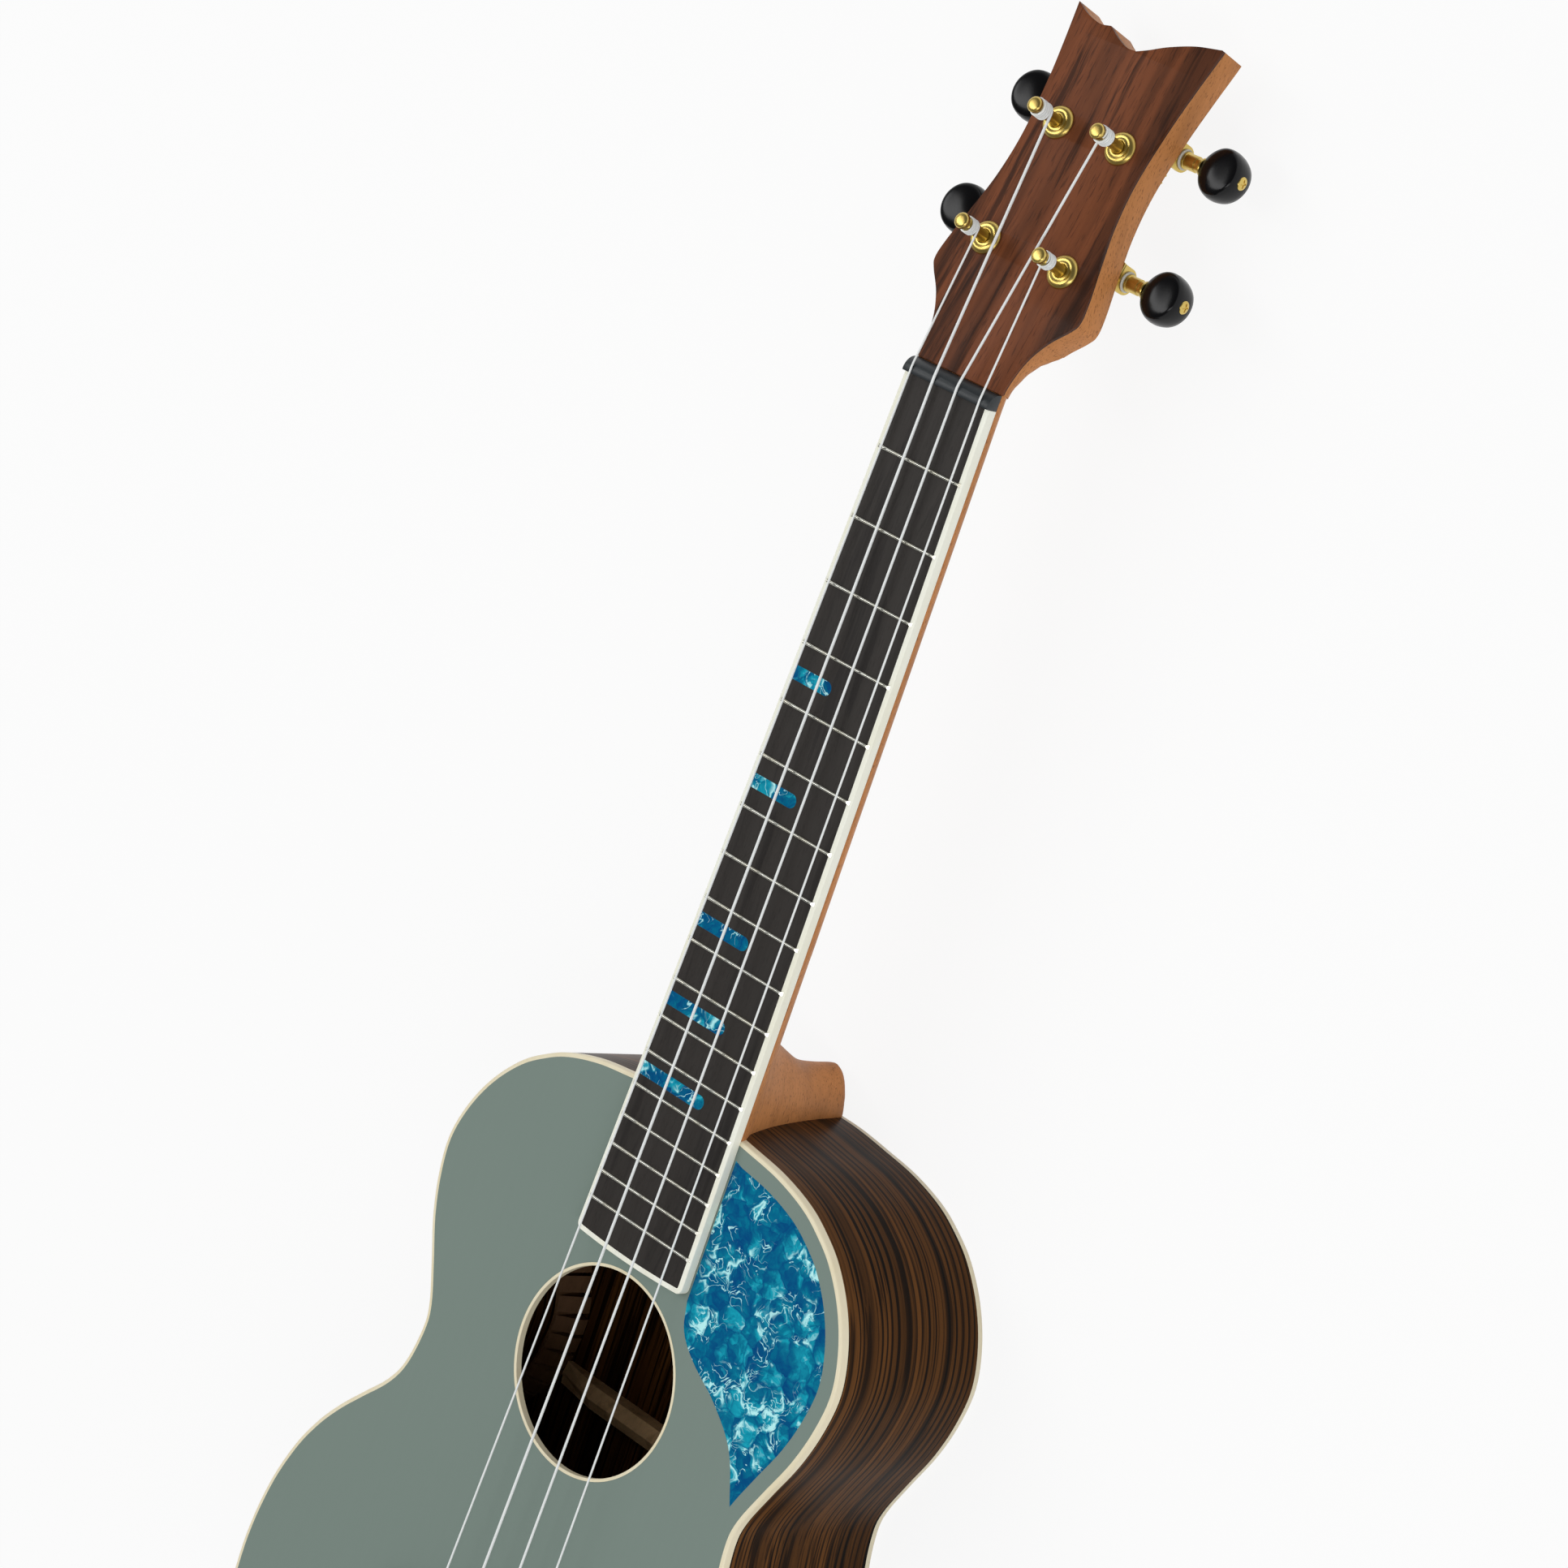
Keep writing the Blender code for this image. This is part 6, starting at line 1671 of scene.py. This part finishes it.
def post_shape():
    """The string post: a domed cap over a groove, a plain barrel, and a spigot for the gear."""
    gear_top = -GEAR_LEVEL + GEAR_THICKNESS / 2 + RUNNING_GAP
    gear_end = -GEAR_LEVEL - GEAR_THICKNESS / 2
    profile = in_shares(CAP_DOME, POST_CAP_RADIUS, POST_HEIGHT)
    profile += in_shares(POST_GROOVE, POST_RADIUS, POST_HEIGHT)
    profile += in_shares(POST_WAIST, POST_RADIUS)
    profile += in_shares(((1, -0.1), (1.4, -0.1)), POST_RADIUS, PLATE_BOTTOM)
    profile += [(POST_RADIUS * 1.4, gear_top), (SPIGOT_RADIUS, gear_top)]
    profile += [(SPIGOT_RADIUS, gear_end + RUNNING_GAP), (SPIGOT_HEAD, gear_end - RUNNING_GAP)]
    profile += [(0, gear_end - RUNNING_GAP)]
    return turned("post", profile, 48)


def tooth_flank(pitch_radius):
    """A tooth's four corners as (radius, share of the pitch) pairs."""
    root, tip = pitch_radius - TOOTH_DEDENDUM, pitch_radius + TOOTH_ADDENDUM
    foot, crest = TOOTH_SHARES
    return ((root, -foot), (tip, -crest), (tip, crest), (root, foot))


def gear_shape():
    """The wheel on the post's lower end. Its teeth slant to follow the worm."""
    pitch_angle = 2 * math.pi / GEAR_TEETH
    thin = TOOTH_CLEARANCE / GEAR_PITCH_RADIUS
    loop = []
    for tooth in range(GEAR_TEETH):
        middle = tooth * pitch_angle + math.pi / 2
        for radius, share in tooth_flank(GEAR_PITCH_RADIUS):
            angle = middle + share * pitch_angle - math.copysign(thin, share)
            loop.append(Vector((radius * math.cos(angle), radius * math.sin(angle))))
    half = GEAR_THICKNESS / 2
    bore = circle(SPIGOT_RADIUS + RUNNING_GAP, (0, 0), 32)
    mesh = flat_shape("gear", [loop, bore], -half, half)
    slant = half * math.tan(WORM_LEAD) / GEAR_PITCH_RADIUS
    for vertex in mesh.vertices:
        turn = Matrix.Rotation(-math.copysign(slant, vertex.co.z), 3, "Z")
        vertex.co = turn @ vertex.co
    return softened(mesh, TOOTH_ROUND, 1, 40)


def thread_shape():
    """The worm's thread: one tooth's section carried round and along, and left-handed."""
    root = WORM_PITCH_RADIUS - TOOTH_DEDENDUM
    length = WORM_TURNS * WORM_PITCH
    thin = TOOTH_CLEARANCE / WORM_PITCH
    points = [(root, 0, -length / 2)]
    for turn in range(WORM_TURNS - 1):
        middle = (turn + 0.5) * WORM_PITCH - length / 2
        for radius, share in tooth_flank(WORM_PITCH_RADIUS):
            height = middle + (share - math.copysign(thin, share)) * WORM_PITCH
            points.append((radius, 0, height))
    points.append((root, 0, length / 2 - WORM_PITCH))
    mesh = bpy.data.meshes.new("thread")
    mesh.from_pydata(points, [(i, i + 1) for i in range(len(points) - 1)], [])
    screw = {"axis": "Z", "steps": 36, "render_steps": 36, "screw_offset": WORM_PITCH}
    thread = modified(mesh, ("SCREW", screw))
    with editing(thread) as shape:
        bmesh.ops.remove_doubles(shape, verts=shape.verts, dist=THREAD_MERGE)
        bmesh.ops.holes_fill(shape, edges=[edge for edge in shape.edges if edge.is_boundary])
        bmesh.ops.scale(shape, vec=(1, -1, 1), verts=shape.verts)
        bmesh.ops.recalc_face_normals(shape, faces=shape.faces)
    return thread


def worm_shape():
    """The worm and its journals, with a ringed sleeve up to the button."""
    core = WORM_PITCH_RADIUS - TOOTH_DEDENDUM + THREAD_BITE
    half = WORM_TURNS * WORM_PITCH / 2
    journal, end = half - JOURNAL_END, half - CORE_END
    sleeve = in_shares(SLEEVE_SEAT, SLEEVE_RADIUS, BUTTON_SEAT)
    sleeve += in_shares(SLEEVE_FOOT, SLEEVE_RADIUS, COLLAR_START)
    sleeve += [(SHAFT_RADIUS, COLLAR_START), (SHAFT_RADIUS, journal)]
    sleeve += [(core, end), (core, -end), (SHAFT_RADIUS, -journal)]
    sleeve += in_shares(((1, -0.35), (0.8, -0.5), (0, -0.5)), SHAFT_RADIUS, -EAR_END)
    return gathered("worm", [turned("sleeve", sleeve, 40), thread_shape()])


def button_shape():
    """An oval button: two domed faces, a crisp crease round each, and a wide rim between them."""
    radius, dome, rim = BUTTON_WIDTH / 2, BUTTON_THICKNESS / 2, BUTTON_RIM / 2
    profile = [(0.0, dome)]
    for step in range(1, 11):
        share = step / 10
        rise = (dome - rim) * (1 - share**2.2)
        profile.append((radius * BUTTON_CREASE * math.sin(share * math.pi / 2), rim + rise))
    profile += [(radius * 0.953, rim - 0.22 * MM), (radius * 0.982, rim * 0.6), (radius, 0.0)]
    profile += [(r, -z) for r, z in profile[-2::-1]]
    mesh = turned("button", profile, 72)
    for vertex in mesh.vertices:
        outward = vertex.co.x / radius
        reach = vertex.co.xy.length / radius
        vertex.co.z *= 1 + BUTTON_SWELL * outward * reach**2
        vertex.co.x *= BUTTON_LENGTH / BUTTON_WIDTH
        vertex.co.y *= 1 - BUTTON_PINCH * max(-outward, 0) ** 2
    mesh.transform(Matrix.Rotation(math.radians(-90), 4, "Y"))
    mesh.transform(Matrix.Translation((0, 0, BUTTON_END - BUTTON_LENGTH / 2)))
    return mesh


def screw_head(radius, height):
    """A domed screw head with a cross slot, its face towards Z."""
    profile = [(0, height), (radius * 0.4, height * 0.94), (radius * 0.72, height * 0.74)]
    profile += [(radius * 0.93, height * 0.4), (radius, 0), (radius * 0.5, -height), (0, -height)]
    head = turned("head", profile, 24)
    slots = []
    for turn in (0, 90):
        low = (-radius * 0.62, -radius * 0.13, height * 0.25)
        slot = box_shape("slot", low, (radius * 0.62, radius * 0.13, height * 2))
        slots.append(moved(slot, Matrix.Rotation(math.radians(turn + 20), 4, "Z")))
    return boolean("screw_head", [head, *slots], "DIFFERENCE")


def bridge_shape():
    """A tie bridge: low rounded wings, a raised block, a saddle slot and four string holes."""
    base = TOP_FACE + SKIN_GAP
    half, corner = BRIDGE_WIDTH / 2, BRIDGE_CORNER
    wing = []
    for x_sign, y_sign, start in ((1, -1, -90), (1, 1, 0), (-1, 1, 90), (-1, -1, 180)):
        y = (BRIDGE_FRONT_Y if y_sign > 0 else BRIDGE_REAR_Y) - y_sign * corner
        for step in range(10):
            angle = math.radians(start + 10 * step)
            x = x_sign * (half - corner) + corner * math.cos(angle)
            wing.append(Vector((x, y + corner * math.sin(angle))))
    body = flat_shape("wings", [wing], base, base + BRIDGE_WING_HEIGHT)

    def box(name, half_width, low_y, high_y, low, high):
        return box_shape(name, (-half_width, low_y, base + low), (half_width, high_y, base + high))

    across = BRIDGE_BLOCK_WIDTH / 2
    rear, front = BRIDGE_REAR_Y + BRIDGE_EDGE, BRIDGE_FRONT_Y - BRIDGE_EDGE
    block = box("block", across, rear, front, 0, BRIDGE_HEIGHT)
    rear, front = CHANNEL_Y - TIE_CHANNEL / 2, CHANNEL_Y + TIE_CHANNEL / 2
    channel = box("channel", 2 * across, rear, front, BRIDGE_WING_HEIGHT, 2 * BRIDGE_HEIGHT)
    rear, front = SADDLE_Y - SADDLE_THICKNESS / 2, SADDLE_Y + SADDLE_THICKNESS / 2
    bottom = BRIDGE_HEIGHT - SADDLE_DEPTH
    slot = box("slot", SADDLE_LENGTH / 2, rear, front, bottom, 2 * BRIDGE_HEIGHT)
    body = boolean("bridge_body", [boolean("body", [body, block]), channel], "DIFFERENCE")
    body = softened(body, BRIDGE_ROUND, 3, 40)
    holes = []
    for name in POST_PLACES:
        x = string_x(name, BRIDGE_SPACING)
        ends = [(x, BRIDGE_REAR_Y - 2 * MM, HOLE_LEVEL), (x, CHANNEL_Y, HOLE_LEVEL)]
        holes.append(tube("hole", ends, string_radius(name) + STRING_HOLE_ROOM, 4))
    return boolean("tie_bridge", [body, slot, *holes], "DIFFERENCE")


def saddle_shape():
    half = SADDLE_THICKNESS / 2 - SKIN_GAP
    bottom = TOP_FACE + BRIDGE_HEIGHT - SADDLE_DEPTH + SADDLE_FLOOR
    profile = [Vector((-half, bottom)), Vector((half, bottom))]
    for step in range(13):
        angle = math.radians(15 * step)
        height = SADDLE_LEVEL - half + half * math.sin(angle)
        profile.append(Vector((half * math.cos(angle), height)))
    reach = SADDLE_LENGTH / 2 - RUNNING_GAP
    mesh = flat_shape("saddle", [profile], -reach, reach)
    mesh.transform(Matrix.Translation((0, SADDLE_Y, 0)) @ UPRIGHT)
    return softened(mesh, SADDLE_ROUND, 2, 50)


def tuner_places(name):
    """Where a tuner's post, its gear, its worm and its plate's screws stand."""
    x, along = POST_PLACES[name]
    side = math.copysign(1, x)
    post = STRING_FRAME @ HEADSTOCK @ Matrix.Translation((x, along, 0))
    gear = post @ Matrix.Translation((0, 0, -GEAR_LEVEL))
    gear = gear @ Matrix.Rotation(-side * math.pi / (2 * GEAR_TEETH), 4, "Z")
    worm = post @ Matrix.Translation((0, WORM_OFFSET, -GEAR_LEVEL))
    worm = worm @ Matrix.Rotation(side * math.pi / 2, 4, "Y")
    under = post @ Matrix.Rotation(math.pi, 4, "Y")
    return {"post": post, "gear": gear, "worm": worm, "under": under}


def plate_screws():
    """The two screws that hold a base plate, their heads towards Z."""
    spots = bpy.data.meshes.new("spots")
    spots.from_pydata([(0, y, -PLATE_BOTTOM) for y in PLATE_SCREW_PLACES], [], [])
    head = screw_head(sizes().screw_radius, PLATE_SCREW_DOME)
    return grown("screws", screw_tree(), spots, head, "gold_plating")


class UKULELE_OT_soundboard(bpy.types.Operator):
    """The painted top with its soundhole, its cream ring and the pearl panel"""

    bl_idname = "ukulele.soundboard"
    bl_label = "Soundboard"
    bl_options = {"REGISTER", "UNDO"}

    def execute(self, context):
        hole = circle(SOUNDHOLE_RADIUS, (0, SOUNDHOLE_Y), 120)
        edge = whole_outline(BINDING_WIDTH)
        seam = TOP_FACE - PANEL_THICKNESS
        upper = flat_shape("upper", [edge, hole, panel_outline()], seam, TOP_FACE)
        lower = flat_shape("lower", [edge, hole], TOP_INNER, seam)
        top = gathered("painted_top", [upper, lower])
        add_piece("painted_top", top, "sage_paint", "soundboard")
        leaf = flat_shape("leaf", [panel_outline(PANEL_FIT)], seam + PANEL_FIT, TOP_FACE)
        add_piece("pearl_leaf", leaf, "blue_pearl", "pearl_panel")
        wall = [(SOUNDHOLE_RADIUS + out * MM, TOP_FACE + up * MM) for out, up in HOLE_EDGING]
        ring = turned("ring", wall, 120)
        ring.transform(Matrix.Translation((0, SOUNDHOLE_Y, 0)))
        add_piece("soundhole_edging", ring, "cream_binding", "soundhole_ring")
        return {"FINISHED"}


class UKULELE_OT_bindings(bpy.types.Operator):
    """The cream bindings round the top's edge and the back's edge"""

    bl_idname = "ukulele.bindings"
    bl_label = "Body bindings"
    bl_options = {"REGISTER", "UNDO"}

    def execute(self, context):
        low = TOP_FACE - TOP_BINDING_HEIGHT
        section = rounded_edge(BINDING_WIDTH, low, TOP_FACE, BINDING_ROUND)
        top = band("top_edge", whole_outline, section, True)
        section = rounded_edge(BINDING_WIDTH, -BACK_BINDING_HEIGHT, 0, BINDING_ROUND)
        section = [(inset, -height) for inset, height in section]
        back = band("back_edge", whole_outline, section, True, back=True)
        add_piece("top_edge_binding", top, "cream_binding", "top_binding")
        add_piece("back_edge_binding", back, "cream_binding", "back_binding")
        return {"FINISHED"}


class UKULELE_OT_sides(bpy.types.Operator):
    """The two bent sides and the back"""

    bl_idname = "ukulele.sides"
    bl_label = "Sides and back"
    bl_options = {"REGISTER", "UNDO"}

    def execute(self, context):
        treble = side_shape()
        bass = mirrored_mesh(treble)
        for loop in bass.uv_layers["grain"].data:
            loop.uv.y += 0.3
        add_piece("treble_side_wood", treble, "side_wood", "side_treble")
        add_piece("bass_side_wood", bass, "side_wood", "side_bass")
        edge = whole_outline(BINDING_WIDTH)
        back = flat_shape("back", [edge], back_at(0), back_at(BACK_THICKNESS))
        add_piece("back_plate", back, "back_wood", "back")
        return {"FINISHED"}


class UKULELE_OT_linings(bpy.types.Operator):
    """The kerfed linings inside, under the top and on the back"""

    bl_idname = "ukulele.linings"
    bl_label = "Kerfed linings"
    bl_options = {"REGISTER", "UNDO"}

    def execute(self, context):
        for level in ("top", "back"):
            treble = lining_shape(level)
            for side, mesh in (("treble", treble), ("bass", mirrored_mesh(treble))):
                name, node = f"kerfed_{level}_{side}", f"{level}_lining_{side}"
                add_piece(name, mesh, "lining_wood", node, crease=25)
        return {"FINISHED"}


class UKULELE_OT_inside(bpy.types.Operator):
    """Raw wood for the blocks and braces that the frame already holds"""

    bl_idname = "ukulele.inside"
    bl_label = "Blocks and braces"
    bl_options = {"REGISTER", "UNDO"}

    def execute(self, context):
        names = ["neck_block", "tail_block", "upper_transverse_brace", "lower_transverse_brace"]
        names += [f"fan_brace_{place}" for place in ("bass", "centre", "treble")]
        names += [f"back_brace_{place}" for place in ("upper", "waist", "lower")]
        for name in names:
            frame["nodes"][name].material_slots[0].material = finish_of("brace_wood")
        frame["nodes"]["bridge_plate"].material_slots[0].material = finish_of("back_wood")
        return {"FINISHED"}


class UKULELE_OT_neck(bpy.types.Operator):
    """Neck, heel and headstock, with the dark veneer on the headstock's face"""

    bl_idname = "ukulele.neck"
    bl_label = "Neck and headstock"
    bl_options = {"REGISTER", "UNDO"}

    def execute(self, context):
        loops = [headstock_loop(THROAT_END), *post_holes()]
        core = flat_shape("core", loops, -HEADSTOCK_THICKNESS, CORE_TOP)
        core = moved(softened(core, CORE_ROUND, 2, 50), HEADSTOCK)
        wood = gathered("neck_and_headstock", [heel_wood_shape(), neck_loft(), core])
        add_piece("neck_and_headstock", wood, "neck_wood", "neck")
        loops = [headstock_loop(VENEER_START), *post_holes()]
        place = STRING_FRAME @ HEADSTOCK
        line = flat_shape("glue", loops, CORE_TOP, -VENEER_THICKNESS)
        add_piece("veneer_glue_line", line, "glue_line", place=place)
        face = flat_shape("face", loops, -VENEER_THICKNESS, 0)
        face = softened(face, VENEER_ROUND, 2, 50)
        add_piece("headstock_face", face, "face_veneer", "headstock_veneer", place=place)
        return {"FINISHED"}


class UKULELE_OT_fretboard(bpy.types.Operator):
    """The dark fretboard with its cream binding, frets and pearl markers"""

    bl_idname = "ukulele.fretboard"
    bl_label = "Fretboard"
    bl_options = {"REGISTER", "UNDO"}

    def execute(self, context):
        inset = sizes().board_binding
        low = TOP_FACE + RUNNING_GAP
        board = flat_shape("board", [board_edge(inset)], low, 0)
        add_piece("fretboard_wood", board, "board_wood", "fretboard")
        edge = band("edge", board_edge, rounded_edge(inset, low, 0, BOARD_ROUND), False)
        add_piece("fretboard_edging", edge, "ivory_binding", "fretboard_binding")
        frets = grown(
            "frets",
            fret_tree(),
            bpy.data.meshes.new("start"),
            fret_blank(),
            "nickel_silver",
            Count=sizes().fret_count,
            Scale=sizes().scale_length,
            Reach=half_nut() - FRET_MARGIN,
            Widening=(BOARD_END_WIDTH / 2 - half_nut()) / -BOARD_END,
        )
        add_piece("fret_wires", frets, "nickel_silver")
        markers = []
        for number, tip in MARKER_TIPS.items():
            loop = marker_loop(number, tip * MM)
            markers.append(flat_shape("marker", [loop], -MARKER_DEPTH, MARKER_RISE))
        add_piece("position_markers", gathered("markers", markers), "blue_pearl")
        add_piece("black_nut", nut_shape(), "satin_black", "nut")
        return {"FINISHED"}


class UKULELE_OT_bridge(bpy.types.Operator):
    """The tie bridge and its saddle"""

    bl_idname = "ukulele.bridge"
    bl_label = "Bridge and saddle"
    bl_options = {"REGISTER", "UNDO"}

    def execute(self, context):
        add_piece("tie_bridge", bridge_shape(), "board_wood", "bridge")
        add_piece("saddle_bar", saddle_shape(), "saddle_white", "saddle")
        return {"FINISHED"}


class UKULELE_OT_strings(bpy.types.Operator):
    """Four strings, tied at the bridge and wound on their posts"""

    bl_idname = "ukulele.strings"
    bl_label = "Strings"
    bl_options = {"REGISTER", "UNDO"}

    def execute(self, context):
        for name in POST_PLACES:
            mesh = tube(f"nylon_{name}", string_line(name), string_radius(name), 2)
            add_piece(f"nylon_{name}", mesh, "clear_nylon", f"string_{name}")
        return {"FINISHED"}


class UKULELE_OT_tuners(bpy.types.Operator):
    """Four open-gear tuners: plate, bushing, post, gear, worm, washers, button and screws"""

    bl_idname = "ukulele.tuners"
    bl_label = "Tuners"
    bl_options = {"REGISTER", "UNDO"}

    def execute(self, context):
        washer = [(radius * MM, EAR_END + height * MM) for radius, height in WASHER]
        cap = screw_head(SCREW_RADIUS, SCREW_DOME)
        cap = moved(cap, Matrix.Translation((0, 0, BUTTON_END - RUNNING_GAP)))
        # Name, shape, finish, the node that it replaces, its body and its place.
        rows = (
            ("base_plate", plate_shape(), "gold_plating", "tuner_plate", None, "post"),
            ("flange", bushing_shape(), "gold_plating", "bushing", None, "post"),
            ("string_post", post_shape(), "gold_plating", "post", "post", "post"),
            ("gear_wheel", gear_shape(), "gold_plating", "gear", "post", "gear"),
            ("worm_shaft", worm_shape(), "gold_plating", "worm", "worm", "worm"),
            ("oval_button", button_shape(), "gloss_black", "button", "worm", "worm"),
            ("button_screw", cap, "gold_plating", None, "worm", "worm"),
            ("washer", turned("washer", washer, 40), "washer_grey", None, None, "worm"),
            ("plate_screws", plate_screws(), "gold_plating", None, None, "under"),
        )
        for tuner in POST_PLACES:
            places = tuner_places(tuner)
            for label, mesh, finish, node, body, place in rows:
                node = f"{node}_{tuner}" if node else None
                body = f"{body}_{tuner}_body" if body else "instrument"
                name = f"{label}_{tuner}"
                add_piece(name, mesh.copy(), finish, node, body, 30, places[place])
        return {"FINISHED"}


class UKULELE_OT_stage(bpy.types.Operator):
    """Floor, soft lights and the camera at the photograph's angle"""

    bl_idname = "ukulele.stage"
    bl_label = "Stage"
    bl_options = {"REGISTER", "UNDO"}

    def execute(self, context):
        stage = context.scene.ukulele_stage
        make_floor(stage)
        make_world(stage)
        for name, where in LAMPS.items():
            make_lamp(f"{name}_light", *where, getattr(stage, f"{name}_power"))
        lens = bpy.data.cameras.new("camera")
        for name, value in CAMERA_LENS.items():
            setattr(lens, name, value)
        camera = loose_object("camera", lens)
        camera.location = CAMERA_PLACE
        turn = [math.radians(angle) for angle in CAMERA_TURN]
        camera.rotation_euler = Euler(turn, "XYZ")
        context.scene.camera = camera
        context.scene.view_settings.view_transform = "Standard"
        return {"FINISHED"}


def make_lamp(name, spot, aim, size, power):
    """A soft strip of light, turned to what it lights."""
    lamp = bpy.data.lights.new(name, "AREA")
    lamp.shape = "RECTANGLE"
    lamp.size, lamp.size_y = size
    lamp.energy = power
    obj = loose_object(name, lamp)
    obj.location = spot
    obj.rotation_euler = (Vector(aim) - Vector(spot)).to_track_quat("-Z", "Y").to_euler()


def make_floor(stage):
    """A wide pale floor. The camera and mirrors see it near white, and it keeps the shadow."""
    mesh = bpy.data.meshes.new("floor")
    signs = ((-1, -1), (1, -1), (1, 1), (-1, 1))
    corners = [(x * FLOOR_REACH, y * FLOOR_REACH, 0) for x, y in signs]
    mesh.from_pydata(corners, [], [(0, 1, 2, 3)])
    finish = Finish("floor_paper")
    grain = finish.noise(finish.place(), 60)
    base = finish.mix(grain, stage.floor, scaled(stage.floor, 0.985))
    finish.shade(Base_Color=base, Roughness=0.9)
    path = finish.node("ShaderNodeLightPath")
    seen = (path + path.other("Is Glossy Ray") + path.other("Is Transmission Ray")).clamped()
    glow = finish.node("ShaderNodeEmission", None, {"Color": (1, 1, 1, 1), "Strength": 1.0})
    paper = Value(finish, finish.shader.outputs[0])
    both = finish.node("ShaderNodeMixShader", None, {0: seen * FLOOR_GLOW, 1: paper, 2: glow})
    finish.tree.links.new(both.socket, finish.tree.nodes["Material Output"].inputs[0])
    mesh.materials.append(finish.material)
    floor = loose_object("floor", mesh)


def make_world(stage):
    """White where the camera sees it, an even fill for the object, and a dim ceiling in mirrors."""
    world = bpy.data.worlds.new("studio")
    world.use_nodes = True
    bpy.context.scene.world = world
    graph = Graph(world.node_tree)
    background = world.node_tree.nodes["Background"]
    background.inputs["Color"].default_value = (1, 1, 1, 1)
    path = graph.node("ShaderNodeLightPath")
    spot = graph.node("ShaderNodeTexCoord")
    height = graph.node("ShaderNodeSeparateXYZ", None, {0: spot}, 2)
    ceiling = 1.0 - height.between(0.02, 0.5) * (1 - CEILING)
    glossy = path.other("Is Glossy Ray")
    plain = path * (1.0 - stage.fill) + stage.fill
    strength = plain * (1.0 - glossy) + ceiling * glossy
    world.node_tree.links.new(strength.socket, background.inputs["Strength"])


OPERATORS = (
    UKULELE_OT_soundboard,
    UKULELE_OT_bindings,
    UKULELE_OT_sides,
    UKULELE_OT_linings,
    UKULELE_OT_inside,
    UKULELE_OT_neck,
    UKULELE_OT_fretboard,
    UKULELE_OT_bridge,
    UKULELE_OT_strings,
    UKULELE_OT_tuners,
    UKULELE_OT_stage,
)


class UKULELE_PT_panel(bpy.types.Panel):
    """The ukulele's sizes, colours and pieces"""

    bl_idname = "UKULELE_PT_panel"
    bl_label = "Tenor ukulele"
    bl_space_type = "VIEW_3D"
    bl_region_type = "UI"
    bl_category = "Ukulele"

    def draw(self, context):
        layout = self.layout
        for operator in OPERATORS:
            layout.operator(operator.bl_idname)
        for settings in ("ukulele_sizes", "ukulele_colours", "ukulele_stage"):
            group = getattr(context.scene, settings)
            box = layout.box()
            for name in group.__annotations__:
                box.prop(group, name)


GROUPS = {
    "ukulele_sizes": UkuleleSizes,
    "ukulele_colours": UkuleleColours,
    "ukulele_stage": UkuleleStage,
}


def register():
    for cls in (*GROUPS.values(), *OPERATORS, UKULELE_PT_panel):
        bpy.utils.register_class(cls)
    for name, group in GROUPS.items():
        setattr(bpy.types.Scene, name, bpy.props.PointerProperty(type=group))


def unregister():
    for name in GROUPS:
        delattr(bpy.types.Scene, name)
    for cls in reversed((*GROUPS.values(), *OPERATORS, UKULELE_PT_panel)):
        bpy.utils.unregister_class(cls)


def main():
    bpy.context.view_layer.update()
    register()
    for operator in OPERATORS:
        name = operator.bl_idname.split(".")[1]
        getattr(bpy.ops.ukulele, name)()
    bpy.context.view_layer.update()


if __name__ == "__main__":
    main()
